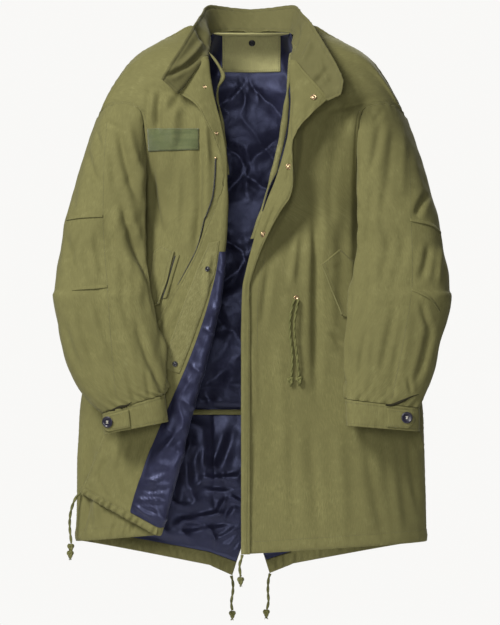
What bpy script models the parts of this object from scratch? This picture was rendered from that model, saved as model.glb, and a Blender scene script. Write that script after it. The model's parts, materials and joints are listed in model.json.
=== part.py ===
"""Padded fishtail parka, filled out with no wearer: fronts open and one front turned back.

Metres, +Z up, the front faces -Y. The origin is inside the neck, level with the back neck seam.
The left side is the viewer's left, at -X. Tables are in millimetres, a row for each section.
"""

import math

import bpy
import numpy as np

MM = 0.001
LEFT, RIGHT = -1, 1
SIDE_NAME = {LEFT: "left", RIGHT: "right"}

SHELL_WALL = 1.4 * MM
LINING_WALL = 1.0 * MM
TRIM_WALL = 1.2 * MM
SEAM_GAP = 0.3 * MM
MITRE = 0.7 * MM
CORD_RADIUS = 2.1 * MM

ROUNDNESS = 2.3
PANEL_COLUMNS = 10
ARMHOLE_STEPS = 12
SIDE_ROWS = 11
SHOULDER_ROW_DROP = 0.22
RING_STEPS = 2 * ARMHOLE_STEPS
UNDERARM_Z = -348 * MM

# The body's outline from the front and its depth before and behind the origin, down the garment.
BODY_COLUMNS = ("z", "half_width", "front", "back")
BODY = np.array([
    (20, 92, 12, 62),
    (4, 133, 28, 78),
    (-11, 167, 42, 88),
    (-26, 201, 58, 95),
    (-45, 226, 75, 101),
    (-85, 253, 96, 107),
    (-122, 272, 110, 111),
    (-155, 282, 117, 114),
    (-200, 264, 121, 117),
    (-260, 240, 124, 119),
    (-348, 227, 126, 119),
    (-450, 246, 125, 117),
    (-560, 288, 121, 112),
    (-640, 311, 118, 108),
    (-700, 320, 116, 106),
    (-860, 325, 113, 103),
    (-950, 327, 111, 101),
    (-1030, 327, 110, 100),
]) * MM

# The shoulder ridge from the neck out to the head of the sleeve.
RIDGE_COLUMNS = ("x", "y", "z")
RIDGE = np.array([
    (80, 8, -6),
    (105, 8, 12),
    (130, 6, 4),
    (164, 4, -11),
    (199, 2, -26),
    (221, 0, -41),
    (232, 0, -54),
    (253, 0, -85),
    (273, 0, -122),
    (288, 0, -155),
]) * MM

# Half of the armhole seam, from the shoulder ridge (step 0) to the underarm (step 12).
ARMHOLE_COLUMNS = ("step", "x", "depth", "z")
ARMHOLE = np.array([
    (0, 288, 0, -155),
    (1.5, 277, 32, -140),
    (3, 259, 58, -131),
    (5, 235, 78, -130),
    (7.5, 205, 88, -144),
    (9, 197, 84, -194),
    (10, 196, 68, -250),
    (11, 206, 42, -312),
    (12, 226, 0, -348),
])

# Heights at which the panel rows that start on the armhole end on the front edge.
FRONT_EDGE_Z = (-80, -112, -144, -178, -212, -246, -280, -314, -348)
BACK_EDGE_Z = (0, -26, -54, -83, -112, -142, -172, -202, -232, -262, -292, -320, -348)

# The collar: its neck seam and its free edge, from the left end round the back to the right end.
# Columns: the seam's x, y and z, then the free edge's x, y and z.
COLLAR = np.array([
    (-137, -121, -112, -165, -132, -86),
    (-121, -111, -92, -158, -127, -74),
    (-103, -96, -70, -146, -113, -54),
    (-85, -72, -50, -131, -92, -32),
    (-80, -45, -34, -116, -62, -8),
    (-78, -18, -20, -104, -32, 11),
    (-80, 8, -6, -93, 10, 29),
    (-72, 42, -2, -81, 52, 47),
    (-52, 64, 0, -57, 79, 46),
    (-26, 74, 1, -28, 90, 43),
    (0, 76, 0, 0, 93, 41),
    (26, 74, 1, 28, 90, 43),
    (52, 64, 0, 57, 79, 46),
    (72, 42, -2, 81, 52, 47),
    (80, 8, -6, 94, 10, 31),
    (78, -18, -20, 108, -32, 15),
    (78, -45, -36, 124, -60, -8),
    (76, -74, -56, 142, -92, -36),
    (100, -102, -86, 157, -114, -62),
    (122, -115, -110, 168, -130, -90),
    (139, -123, -127, 163, -136, -116),
]) * MM
COLLAR_CENTRE = 10
COLLAR_SHOULDER = {LEFT: 6, RIGHT: 14}
COLLAR_LAPEL = {LEFT: 3, RIGHT: 17}

# Each front: the line where the cloth turns back on itself, and the free edge of what is turned.
FOLD_COLUMNS = ("z", "x")
FOLD = {
    LEFT: np.array([
        (-50, -85), (-111, -73), (-178, -56), (-242, -47), (-307, -47), (-400, -53),
        (-492, -64), (-566, -79), (-677, -112), (-723, -119), (-825, -147), (-925, -172),
    ]) * MM,
    RIGHT: np.array([
        (-56, 76), (-122, 75), (-174, 72), (-244, 57), (-289, 40), (-335, 22), (-400, 2),
        (-474, -14), (-510, -16), (-700, -16), (-960, -16),
    ]) * MM,
}
TURNED_COLUMNS = ("step", "z", "x", "lift")
TURNED = {
    LEFT: np.array([
        (0, -112, -137, 16), (1, -131, -104, 16), (2, -159, -87, 14), (3, -196, -69, 10),
        (4, -233, -56, 6), (5, -270, -52, 6), (6, -303, -59, 7), (7, -363, -86, 9),
        (8, -422, -110, 10), (9, -496, -154, 11), (10, -603, -206, 11), (11, -729, -267, 10),
        (12, -816, -302, 8), (13, -848, -318, 8),
    ]) * np.array([1, MM, MM, MM]),
    RIGHT: np.array([
        (0, -127, 139, 15), (1, -144, 121, 17), (2, -174, 92, 17), (3, -196, 85, 17),
        (4, -252, 84, 15), (5, -298, 75, 12), (6, -335, 53, 9), (7, -400, 19, 6),
        (8, -474, -4, 4), (9, -510, -3, 4), (10, -620, -3, 4), (11, -735, -3, 4),
        (12, -848, -3, 4), (13, -960, -3, 4),
    ]) * np.array([1, MM, MM, MM]),
}
TURN_TOP_Z = {LEFT: -50 * MM, RIGHT: -56 * MM}
FRONT_HEM_Z = {LEFT: -925 * MM, RIGHT: -960 * MM}
SIDE_HEM_Z = -940 * MM
TURN_STEPS = 13

# The turn at the fold, as sideways and forward shares of its full size.
TURN_SHAPE = ((0.07, 0.1), (0.45, 0.4), (0.38, 0.9), (-0.5, 1.15))
TURN_SIZE = 9 * MM

# The split tail at the centre back.
SPLIT_TOP_Z = -895 * MM
TAIL_TIP = {LEFT: (-36 * MM, -1010 * MM), RIGHT: (34 * MM, -1006 * MM)}

# Sleeve sections below the armhole, to the cuff seam.
SLEEVE_COLUMNS = ("z", "middle", "half_width", "forward", "half_depth", "slope")
SLEEVE = {
    LEFT: np.array([
        (-400, -270, 82, 62, 68, 0), (-440, -271, 88, 74, 68, 0), (-474, -270, 92.5, 85, 67, 0),
        (-510, -265, 96, 93, 66, 0), (-548, -258, 96, 102, 63, 0), (-603, -248, 91, 114, 56, 0.04),
        (-645, -235, 80, 126, 46, 0.12), (-668, -225, 68, 134, 38, 0.2),
        (-682, -216, 57, 141, 29, 0.3),
    ]),
    RIGHT: np.array([
        (-400, 271, 83, 62, 68, 0), (-440, 271, 91, 72, 68, 0), (-474, 271, 93, 80, 67, 0),
        (-510, 270, 94, 86, 66, 0), (-548, 262, 90, 94, 62, 0), (-603, 254, 86, 102, 55, -0.04),
        (-645, 248, 77, 114, 45, -0.1), (-668, 243, 70, 122, 37, -0.12),
        (-682, 240, 68, 130, 29, -0.12),
    ]),
}
SLEEVE_ROUNDNESS = 2.7

# The two pieces of each sleeve, sewn together down its front and back: the ring steps where each
# starts and ends, and whether it faces away from the body or toward it.
SLEEVE_PARTS = {"outer": (18, 30, 1), "inner": (6, 18, -1)}
SLEEVE_HEAD_RINGS = 5
SLEEVE_CLEARANCE = {LEFT: 20 * MM, RIGHT: 9 * MM}
SIDE_CLEARANCE = 7 * MM

# How the sleeve stands away from the body below the armhole, round its inner side.
HEAD_EASE_COLUMNS = ("step", "outward", "forward")
HEAD_EASE = np.array([
    (0, 7, 0), (3, 5, 2), (6, 0, 3), (8, 0, 3), (9, 0, 6), (10, 0, 12), (11, 7, 14), (12, 14, 8),
    (13, 22, 0), (14, 22, -4), (15, 17, -4), (16, 11, -2), (18, 3, 0), (23, 6, 0),
])

# Elbow tucks: the height of each, how far it stands out and how far it reaches along the sleeve.
TUCKS = np.array([(-346, 4, 26), (-484, 5, 30)])
TUCK_LEAD = 8 * MM

CUFF_COLUMNS = ("z", "middle", "half_width", "forward", "half_depth", "slope")
CUFF = {
    LEFT: np.array([
        (-682.7, -216, 56.6, 141, 28.7, 0.3), (-700, -214, 57, 142, 28, 0.26),
        (-727, -211, 58, 142, 28, 0.2),
    ]),
    RIGHT: np.array([
        (-682.7, 240, 67.6, 130, 28.7, -0.12), (-700, 241, 67, 131, 28, -0.1),
        (-728, 241, 66, 131, 28, -0.08),
    ]),
}

# The largest soft folds in the body. Columns: x at the top, how far it leans to its bottom, the
# heights of its top and bottom, its width, and its depth, which is negative for a hollow.
FRONT_FOLDS = np.array([
    (122, 12, -280, -720, 20, -7),
    (150, 6, -160, -460, 26, 5),
    (60, 0, -560, -930, 30, -4),
    (200, 20, -560, -930, 34, 5),
    (270, 12, -640, -930, 22, -5),
    (-128, 10, -110, -420, 18, -6),
    (-100, 6, -150, -400, 20, 4),
    (-165, 6, -130, -400, 20, 4),
    (-290, -10, -640, -930, 24, -4),
])
BACK_FOLDS = np.array([
    (-150, -20, -120, -620, 26, -7),
    (150, 20, -120, -620, 26, -7),
    (-70, -30, -420, -960, 36, 7),
    (85, 34, -400, -960, 34, 7),
    (0, 0, -360, -880, 30, -6),
    (-220, -26, -520, -930, 30, -6),
    (225, 24, -540, -930, 30, -6),
])

LINER_INSET = 13.4 * MM
LINER_HEM_Z = -700 * MM
LINER_TOP_Z = -6 * MM
LINER_COLUMNS = ("z", "half_width")
LINER_HALF = np.array([
    (-700, 258), (-560, 232), (-430, 170), (-335, 146), (-200, 142), (-90, 116), (-40, 86), (-6, 72),
]) * MM
LINER_NECK_SLOPE = 1.3
QUILT_CELL = 92 * MM
QUILT_RAISE = 5.5 * MM
YOKE_HALF_WIDTH = 55 * MM
YOKE_BOTTOM_Z = -67 * MM
BINDING_WIDTH = 8 * MM
CASING_WIDTH = 22 * MM

TURN_ROWS = 21
TURN_FLAT = 4
TURNED_NAME = {LEFT: "front_turned_left", RIGHT: "storm_flap_right"}
SLEEVE_MITRE = 2.4 * MM
SLEEVE_RING_Z = (-400, -440, -474, -486, -525, -570, -618, -655, -682)
LINER_GRID = (23, 18)
GATHER_DEPTH = 3 * MM
LINING_TOP_ROW = 5
TAIL_FIRST_COLUMN = 3
LAID_GAP = 0.9 * MM
CUFF_WALL = 2.4 * MM
COLLAR_WALL = 2.0 * MM
COLLAR_ROWS = 3
COLLAR_SEAM_GAP = 3.4 * MM
COLLAR_FORWARD = 5.0 * MM
TURNED_SEAM_GAP = 2.6 * MM
SLEEVE_SEAM_GAP = 2.0 * MM
CORD_POINT_SPACING = 9 * MM

# Outlines of the pieces laid on the fronts, as (x, z) points along their top and bottom edges.
NAME_PATCH = (((-191, -176), (-97, -177)), ((-189, -218), (-97, -216)))
POCKET_FLAP_RIGHT = (
    ((129, -426), (162, -398), (188, -422)), ((164, -520), (172, -524), (184, -525)),
)
POCKET_FLAP_LEFT = (
    ((-180, -404), (-166, -392), (-142, -403)), ((-192, -500), (-180, -505), (-168, -500)),
)
POCKET_WELT_LEFT = (((-139, -411), (-132, -410)), ((-163, -490), (-156, -489)))

# What lies on the turned left front: the columns of the turned cloth that each piece spans.
TURNED_LINING_COLUMNS = ("step", "column")
TURNED_LINING = np.array([(7.6, 3.1), (9, 3.5), (10, 3.85), (11, 4.4), (12, 4.5), (13, 4.3)])
LINER_STRIP_COLUMNS = ("step", "right", "left")
LINER_STRIP = np.array([(7.5, 3.3, 5.2), (8.2, 3.4, 5.7), (9, 3.75, 5.6), (10, 4.1, 5.4)])

# The liner's bound front edges, hanging inside the neckline.
LINER_EDGE_COLUMNS = ("z", "outer", "inner", "y")
LINER_EDGE = {
    LEFT: np.array([
        (-41, -81, -75, -54.8), (-81, -56, -49, -64.5), (-109, -67, -61, -82.5),
        (-150, -60, -54, -98.5), (-220, -50, -44, -112.5), (-262, -46, -41, -114.5),
    ]) * MM,
    RIGHT: np.array([
        (-42, 78, 71, -51), (-62, 77, 67, -60.2), (-90, 72, 65, -78.2), (-174, 66, 53, -98.2),
        (-244, 50, 39, -108.2), (-310, 32, 21, -112.2), (-380, 8, -2, -112.2),
    ]) * MM,
}
LINER_EDGE_ROWS = 12
LINER_EDGE_CROWN = 2 * MM
BRASS_SNAPS = {RIGHT: ((114, -124), (68, -248), (22, -372)), LEFT: ((-86, -100), (-64, -186))}
BRASS_SNAP_RADIUS = {RIGHT: 5.5 * MM, LEFT: 3.2 * MM}
STRIP_SNAPS = ((8.2, 4.3), (9.9, 4.6))
WAIST_EYELET = (82, -488)
CUFF_TAB = {LEFT: (1.1, 5.9), RIGHT: (2.7, 6.1)}
BUTTON_COLUMN = {LEFT: 2, RIGHT: 2}
BUTTON_RADIUS = 10.5 * MM

# Each cord's route, by points chosen along it, and its knots: centre and half sizes.
WAIST_CORDS = {
    "waist_cord_a": (
        (79, 0, -491), (76, -2, -500), (71, -1, -525), (71, 0, -555), (75, -1, -598), (73, 0, -633),
    ),
    "waist_cord_b": (
        (86, 0, -491), (84, -3, -502), (79, -6, -530), (79, -5, -558), (84, -5, -600),
        (87, -2, -632),
    ),
}
WAIST_KNOTS = {"waist_knot_a": (72, 0, -640), "waist_knot_b": (88, -1, -639)}
HEM_CORDS = {
    "hem_cord_front_left": (
        (-318.5, -34.8, -849.6), (-327, -40, -861), (-335, -43, -885), (-337, -43, -910), (-334, -42, -943),
    ),
    "hem_cord_front_right": (
        (-17, -113, -961.1), (-19, -114, -970), (-22, -114, -980), (-20, -113, -1001),
    ),
    "hem_cord_tail_left": (
        (-38, 99, -1010.9), (-35, 99, -1024), (-35, 99, -1040), (-38, 99, -1062), (-36, 99, -1076),
    ),
    "hem_cord_tail_right": (
        (35, 99, -1006.9), (32, 99, -1018), (31, 99, -1040), (32, 99, -1060), (29, 99, -1074),
    ),
}
HEM_KNOTS = {
    "hem_knot_front_left_a": (-335, -42, -950),
    "hem_knot_front_left_b": (-336, -42, -963),
    "hem_knot_front_right": (-20, -113, -1008),
    "hem_knot_tail_left": (-36, 99, -1083),
    "hem_knot_tail_right": (28, 99, -1080.6),
}
KNOT_SIZE = (5.2, 4.6, 6.2)
CORD_CLEARANCE = 1.2 * MM
CUFF_TAB_WALL = 2.0 * MM
CUFF_TAB_ROLL = 6
TURNED_CASING_ROWS = 0.62
TURNED_CASING_GAP = 0.06
TURNED_CASING_SPAN = (6.9, 2.9)
CASING_HEM_GAP = 0.03
YOKE_TOP_Z = -9 * MM
YOKE_SNAP_Z = -20 * MM
BINDING_WALL = 2.0 * MM

# Turned profiles, from the back of the piece to its front, as (radius, height).
SNAP_SHAPE = ((1.0, 0.0), (1.0, 0.18), (0.8, 0.4), (0.45, 0.42), (0.3, 0.3))
SNAP_PROFILE = tuple((r * 5 * MM, h * 5 * MM) for r, h in SNAP_SHAPE)
BUTTON_PROFILE = (
    (0.9 * BUTTON_RADIUS, 0.0), (BUTTON_RADIUS, 0.9 * MM), (BUTTON_RADIUS, 2.4 * MM),
    (0.84 * BUTTON_RADIUS, 3.2 * MM), (0.7 * BUTTON_RADIUS, 2.4 * MM),
)
EYELET_PROFILE = (
    (2.6 * MM, 0.0), (5.4 * MM, 0.0), (5.4 * MM, 0.8 * MM), (4.0 * MM, 1.4 * MM),
    (2.6 * MM, 0.8 * MM), (2.6 * MM, 0.0),
)


def smooth(xs, ys, where):
    """A curve through the points (xs, ys) that never overshoots them."""
    where = min(max(where, xs[0]), xs[-1])
    k = min(int(np.searchsorted(xs, where, side="right")) - 1, len(xs) - 2)
    steps = np.diff(xs)
    slopes = np.diff(ys) / steps
    tangents = np.empty(len(xs))
    tangents[0] = slopes[0]
    tangents[-1] = slopes[-1]
    for i in range(1, len(xs) - 1):
        a, b = slopes[i - 1], slopes[i]
        tangents[i] = 0.0 if a * b <= 0 else 2 * a * b / (a + b)
    t = (where - xs[k]) / steps[k]
    start = (1 + 2 * t) * (1 - t) ** 2 * ys[k] + t * (1 - t) ** 2 * steps[k] * tangents[k]
    end = t * t * (3 - 2 * t) * ys[k + 1] + t * t * (t - 1) * steps[k] * tangents[k + 1]
    return float(start + end)


def read(table, columns, key, want, where):
    """One column of a table, at a place along another."""
    rows = table[np.argsort(table[:, columns.index(key)])]
    return smooth(rows[:, columns.index(key)], rows[:, columns.index(want)], where)


def body_size(z, want):
    return read(BODY, BODY_COLUMNS, "z", want, z)


def fold_relief(folds, x, z):
    """How far the soft folds lift the cloth at a place on the front or back."""
    lift = 0.0
    for row in folds:
        middle, lean, top, bottom, width, depth = row * MM
        along = (top - z) / (top - bottom)
        if 0 < along < 1:
            across = (x - middle - lean * along) / width
            lift += depth * math.sin(math.pi * along) * math.exp(-across * across)
    return lift


def body_y(x, z, back=False, inset=0.0):
    """The cloth's y at a place seen from the front, on the front or back of the body."""
    half = body_size(z, "half_width") - inset
    depth = body_size(z, "back" if back else "front") - inset
    across = min(abs(x) / half, 1.0)
    shape = (1 - across**ROUNDNESS) ** (1 / ROUNDNESS)
    folds = BACK_FOLDS if back else FRONT_FOLDS
    out = depth * shape + fold_relief(folds, x, z) * min(1.0, 3 * shape)
    return out if back else -out


def ridge_point(side, x):
    return np.array([
        side * x,
        read(RIDGE, RIDGE_COLUMNS, "x", "y", x),
        read(RIDGE, RIDGE_COLUMNS, "x", "z", x),
    ])


def armhole_point(side, step, back=False):
    x, depth, z = (
        read(ARMHOLE, ARMHOLE_COLUMNS, "step", want, step) * MM for want in ("x", "depth", "z")
    )
    return np.array([side * x, depth if back else -depth, z])


def fold_x(side, z):
    return read(FOLD[side], FOLD_COLUMNS, "z", "x", z)


def collar_seam(index):
    return COLLAR[index, :3].copy()


def spread(u):
    """Columns lie closer together at the side of the body, where it curves most."""
    return 1 - math.cos(u * math.pi / 2)


def normals_of(grid, around=False):
    """Unit normals of a grid of points, rows by columns."""
    rows, columns = grid.shape[:2]
    result = np.zeros_like(grid)
    for i in range(rows):
        for j in range(columns):
            up, down = grid[max(i - 1, 0), j], grid[min(i + 1, rows - 1), j]
            if around:
                before, after = grid[i, (j - 1) % columns], grid[i, (j + 1) % columns]
            else:
                before, after = grid[i, max(j - 1, 0)], grid[i, min(j + 1, columns - 1)]
            normal = np.cross(after - before, down - up)
            size = np.linalg.norm(normal)
            result[i, j] = normal / size if size > 1e-12 else result[i, j - 1]
    return result


def drawn_in(grid, amount, sides):
    """The grid with the named edges drawn in along the cloth."""
    result = grid.copy()

    def draw(edge, inner):
        step = inner - edge
        size = np.linalg.norm(step, axis=-1, keepdims=True)
        return edge + step / np.maximum(size, 1e-9) * np.minimum(amount, size * 0.4)

    if "top" in sides:
        result[0] = draw(result[0], result[1])
    if "bottom" in sides:
        result[-1] = draw(result[-1], result[-2])
    if "start" in sides:
        result[:, 0] = draw(result[:, 0], result[:, 1])
    if "end" in sides:
        result[:, -1] = draw(result[:, -1], result[:, -2])
    return result


def material(name, colour, roughness=0.8, metallic=0.0):
    made = bpy.data.materials.get(name)
    if made is None:
        made = bpy.data.materials.new(name)
        made.use_nodes = True
        shader = made.node_tree.nodes["Principled BSDF"]
        shader.inputs["Base Color"].default_value = (*colour, 1.0)
        shader.inputs["Roughness"].default_value = roughness
        shader.inputs["Metallic"].default_value = metallic
    return made


def olive():
    return material("olive_cotton", (0.215, 0.205, 0.085))


def navy():
    return material("navy_satin", (0.022, 0.022, 0.05), 0.35)


def green_tape():
    return material("green_loop_tape", (0.16, 0.19, 0.08), 0.95)


def black_metal():
    return material("black_enamel", (0.01, 0.01, 0.012), 0.3, 0.6)


def brass():
    return material("brass", (0.55, 0.42, 0.2), 0.3, 1.0)


def button_plastic():
    return material("navy_button", (0.02, 0.018, 0.035), 0.4)


def cord_cotton():
    return material("olive_cord", (0.09, 0.095, 0.03), 0.9)


def add_mesh(name, points, faces, finish):
    mesh = bpy.data.meshes.new(name)
    mesh.from_pydata([tuple(p) for p in points], [], faces)
    mesh.update()
    mesh.shade_smooth()
    mesh.materials.append(finish)
    made = bpy.data.objects.new(name, mesh)
    bpy.context.scene.collection.objects.link(made)
    return made


def wall(name, face, thickness, finish, outward, around=False, raised=None, mitre=MITRE):
    """Cloth as a closed wall behind a grid of face points; outward is the face's rough direction."""
    normals = normals_of(face, around)
    middle = normals[face.shape[0] // 2, face.shape[1] // 3]
    if np.dot(middle, outward) < 0:
        normals = -normals
        order = -1
    else:
        order = 1
    edges = ("top", "bottom") if around else ("top", "bottom", "start", "end")
    hidden = drawn_in(face - normals * thickness, mitre, edges)
    shown = face if raised is None else face + normals * raised[..., None]
    rows, columns = face.shape[:2]
    points = np.concatenate([shown.reshape(-1, 3), hidden.reshape(-1, 3)])
    count = rows * columns
    last = columns if around else columns - 1
    quads = []

    def at(i, j, layer):
        return layer * count + i * columns + j % columns

    for i in range(rows - 1):
        for j in range(last):
            quads.append((at(i, j, 0), at(i + 1, j, 0), at(i + 1, j + 1, 0), at(i, j + 1, 0)))
            quads.append((at(i, j, 1), at(i, j + 1, 1), at(i + 1, j + 1, 1), at(i + 1, j, 1)))
    for j in range(last):
        quads.append((at(0, j, 0), at(0, j + 1, 0), at(0, j + 1, 1), at(0, j, 1)))
        low = rows - 1
        quads.append((at(low, j, 1), at(low, j + 1, 1), at(low, j + 1, 0), at(low, j, 0)))
    if not around:
        for i in range(rows - 1):
            quads.append((at(i, 0, 0), at(i, 0, 1), at(i + 1, 0, 1), at(i + 1, 0, 0)))
            end = columns - 1
            quads.append((at(i, end, 0), at(i + 1, end, 0), at(i + 1, end, 1), at(i, end, 1)))
    if order > 0:
        quads = [tuple(reversed(q)) for q in quads]
    return add_mesh(name, points, quads, finish)


def side_share(row):
    """How far down the side seam a row lies; the last one but one is the top of the hem casing."""
    above_casing = 1 - CASING_WIDTH / (UNDERARM_Z - SIDE_HEM_Z)
    return 1.0 if row == SIDE_ROWS else above_casing * row / (SIDE_ROWS - 1)


def front_grid(side):
    """A front from the armhole and side seam (first column) to the neck and the fold (last)."""
    starts = [armhole_point(side, step) for step in range(ARMHOLE_STEPS + 1)]
    ends = [collar_seam(i) for i in front_neck(side)]
    for z in FRONT_EDGE_Z:
        x = fold_x(side, z * MM)
        ends.append(np.array([x, body_y(x, z * MM), z * MM]))
    for row in range(1, SIDE_ROWS + 1):
        share = side_share(row)
        z = UNDERARM_Z + (SIDE_HEM_Z - UNDERARM_Z) * share
        starts.append(np.array([side * body_size(z, "half_width"), 0.0, z]))
        z = UNDERARM_Z + (FRONT_HEM_Z[side] - UNDERARM_Z) * share
        x = fold_x(side, z)
        ends.append(np.array([x, body_y(x, z), z]))
    grid = np.zeros((len(starts), PANEL_COLUMNS + 1, 3))
    for i, (start, end) in enumerate(zip(starts, ends)):
        crown = max(0.0, 1 - i / ARMHOLE_STEPS) ** 1.5
        for j in range(PANEL_COLUMNS + 1):
            u = spread(j / PANEL_COLUMNS)
            grid[i, j] = panel_point(start, end, u, crown, False)
    for j in range(PANEL_COLUMNS + 1):
        x = abs(starts[0][0]) + (abs(ends[0][0]) - abs(starts[0][0])) * spread(j / PANEL_COLUMNS)
        grid[0, j] = ridge_point(side, x)
    return grid


def front_neck(side):
    return range(COLLAR_SHOULDER[side], COLLAR_LAPEL[side] + side, side)


def with_shoulder_row(grid, side, back=False):
    """The grid with one more row close below the shoulder, which keeps its top round."""
    share = np.full((grid.shape[1], 3), 0.5)
    share[:-3, 2] = SHOULDER_ROW_DROP
    if back:
        share[:, 2] = SHOULDER_ROW_DROP
    added = grid[0] + (grid[1] - grid[0]) * share
    added[0] = armhole_point(side, 0.5, back)
    return np.insert(grid, 1, added, axis=0)


def ridge_arch(x):
    """How far the shoulder ridge rises above a straight line from the neck to its end."""
    reach = min(max(abs(x), RIDGE[0, 0]), RIDGE[-1, 0])
    share = (RIDGE[-1, 0] - reach) / (RIDGE[-1, 0] - RIDGE[0, 0])
    straight = RIDGE[-1, 2] + (RIDGE[0, 2] - RIDGE[-1, 2]) * share
    return read(RIDGE, RIDGE_COLUMNS, "x", "z", reach) - straight


def panel_point(start, end, u, crown, back):
    """A place between two edges of a panel, on the body's form and meeting both edges."""
    x, _, z = start + (end - start) * u
    arch = ridge_arch(x) - ridge_arch(start[0]) * (1 - u) ** 2 - ridge_arch(end[0]) * u**2
    z += arch * crown
    y = body_y(x, z, back)
    y += (start[1] - body_y(start[0], start[2], back)) * (1 - u) ** 2
    y += (end[1] - body_y(end[0], end[2], back)) * u**3
    return np.array([x, y, z])


def split_x(side, z):
    """The centre back seam, and below it the edge of the split tail."""
    if z > SPLIT_TOP_Z:
        return 0.0
    tip_x, tip_z = TAIL_TIP[side]
    return tip_x * ((z - SPLIT_TOP_Z) / (tip_z - SPLIT_TOP_Z))


def back_grid(side):
    """A back from the armhole and side seam to the centre, with the neck seam in its first row."""
    toward_centre = -side
    neck = [collar_seam(COLLAR_SHOULDER[side] + toward_centre * k) for k in range(1, 5)]
    shoulder = abs(collar_seam(COLLAR_SHOULDER[side])[0])
    starts = [armhole_point(side, step, back=True) for step in range(ARMHOLE_STEPS + 1)]
    centres = [(0.0, z * MM) for z in BACK_EDGE_Z]
    for row in range(1, SIDE_ROWS + 1):
        share = side_share(row)
        z = UNDERARM_Z + (SIDE_HEM_Z - UNDERARM_Z) * share
        starts.append(np.array([side * body_size(z, "half_width"), 0.0, z]))
        z = UNDERARM_Z + (TAIL_TIP[side][1] - UNDERARM_Z) * share
        centres.append((split_x(side, z), z))
    columns = PANEL_COLUMNS + len(neck)
    grid = np.zeros((len(starts), columns + 1, 3))
    for i, (start, (centre_x, centre_z)) in enumerate(zip(starts, centres)):
        crown = max(0.0, 1 - i / ARMHOLE_STEPS) ** 1.5
        shoulder_z = centre_z + (start[2] - centre_z) * (0.04 + 0.24 * (1 - crown))
        knee = np.array([side * shoulder, body_y(shoulder, shoulder_z, True), shoulder_z])
        for j in range(PANEL_COLUMNS + 1):
            grid[i, j] = panel_point(start, knee, spread(j / PANEL_COLUMNS), crown, True)
        for k, point in enumerate(neck):
            share = abs(point[0]) / shoulder
            x = centre_x + (side * shoulder - centre_x) * share
            z = centre_z + (shoulder_z - centre_z) * share
            grid[i, PANEL_COLUMNS + 1 + k] = (x, body_y(x, z, True), z)
    for j in range(PANEL_COLUMNS + 1):
        x = RIDGE[-1, 0] + (shoulder - RIDGE[-1, 0]) * spread(j / PANEL_COLUMNS)
        grid[0, j] = ridge_point(side, x)
    for k, point in enumerate(neck):
        grid[0, PANEL_COLUMNS + 1 + k] = point
    return grid


def turned_grid(side):
    """The cloth beyond the fold, turned out over the front, from the fold to the free edge."""
    table = TURNED[side]
    first, last = table[0, 1], table[-1, 1]
    grid = np.zeros((TURN_ROWS, len(TURN_SHAPE) + TURN_FLAT, 3))
    for i in range(TURN_ROWS):
        step = TURN_STEPS * i / (TURN_ROWS - 1)
        free_z, free_x, free_lift = (
            read(table, TURNED_COLUMNS, "step", want, step) for want in ("z", "x", "lift")
        )
        share = (free_z - first) / (last - first)
        fold_z = TURN_TOP_Z[side] + (FRONT_HEM_Z[side] - TURN_TOP_Z[side]) * share
        edge_x = fold_x(side, fold_z)
        edge_y = body_y(edge_x, fold_z)
        size = TURN_SIZE * min(1.0, max(0.3, abs(edge_x - free_x) / (30 * MM)))
        for j, (outward, forward) in enumerate(TURN_SHAPE):
            grid[i, j] = (edge_x - side * outward * size, edge_y - forward * size, fold_z)
        turn_x = grid[i, len(TURN_SHAPE) - 1, 0]
        turn_lift = TURN_SHAPE[-1][1] * size
        for j in range(1, TURN_FLAT + 1):
            u = j / TURN_FLAT
            x = turn_x + (free_x - turn_x) * u
            z = fold_z + (free_z - fold_z) * u
            lift = turn_lift + (free_lift - turn_lift) * u
            grid[i, len(TURN_SHAPE) - 1 + j] = (x, body_y(x, z) - lift, z)
    return grid


def superellipse(angle, across, along, roundness):
    c, s = math.cos(angle), math.sin(angle)
    x = math.copysign(abs(c) ** (2 / roundness), c) * across
    y = math.copysign(abs(s) ** (2 / roundness), s) * along
    return x, y


def tube_ring(side, table, columns, z, roundness, clearance):
    """A closed ring of a sleeve or cuff: step 0 is its outer side, a quarter round its front."""
    middle, half, forward, depth = (
        read(table, columns, "z", want, z) * MM
        for want in ("middle", "half_width", "forward", "half_depth")
    )
    slope = read(table, columns, "z", "slope", z)
    ring = np.zeros((RING_STEPS, 3))
    for step in range(RING_STEPS):
        angle = 2 * math.pi * step / RING_STEPS
        across, along = superellipse(angle, half, depth, roundness)
        x = middle + side * across
        y = -forward - along
        height = z * MM + slope * (x - middle)
        if clearance is not None:
            x, y = kept_clear(x, y, height, middle, -forward, clearance)
        ring[step] = (x, y, height)
    return ring


def kept_clear(x, y, z, middle_x, middle_y, clearance):
    """A ring point drawn towards the ring's middle until it clears the front of the body."""

    def touches(at_x, at_y):
        beside = abs(at_x) >= body_size(z, "half_width") + SIDE_CLEARANCE
        return not beside and at_y > body_y(at_x, z) - clearance

    if not touches(x, y):
        return x, y
    clear, blocked = 0.0, 1.0
    for _ in range(14):
        share = (clear + blocked) / 2
        if touches(middle_x + (x - middle_x) * share, middle_y + (y - middle_y) * share):
            blocked = share
        else:
            clear = share
    return middle_x + (x - middle_x) * clear, middle_y + (y - middle_y) * clear


def tuck_relief(step, z):
    """The step in the cloth at an elbow tuck, on the front and outer side of the sleeve."""
    lift = 0.0
    facing = max(0.0, math.cos(2 * math.pi * (step - 3) / RING_STEPS))
    for height, depth, reach in TUCKS * MM:
        below = height - z
        if 0 <= below < reach:
            lift += depth * (1 - below / reach) * facing
        elif -TUCK_LEAD < below < 0:
            lift -= 0.5 * depth * (1 + below / TUCK_LEAD) * facing
    return lift


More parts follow.
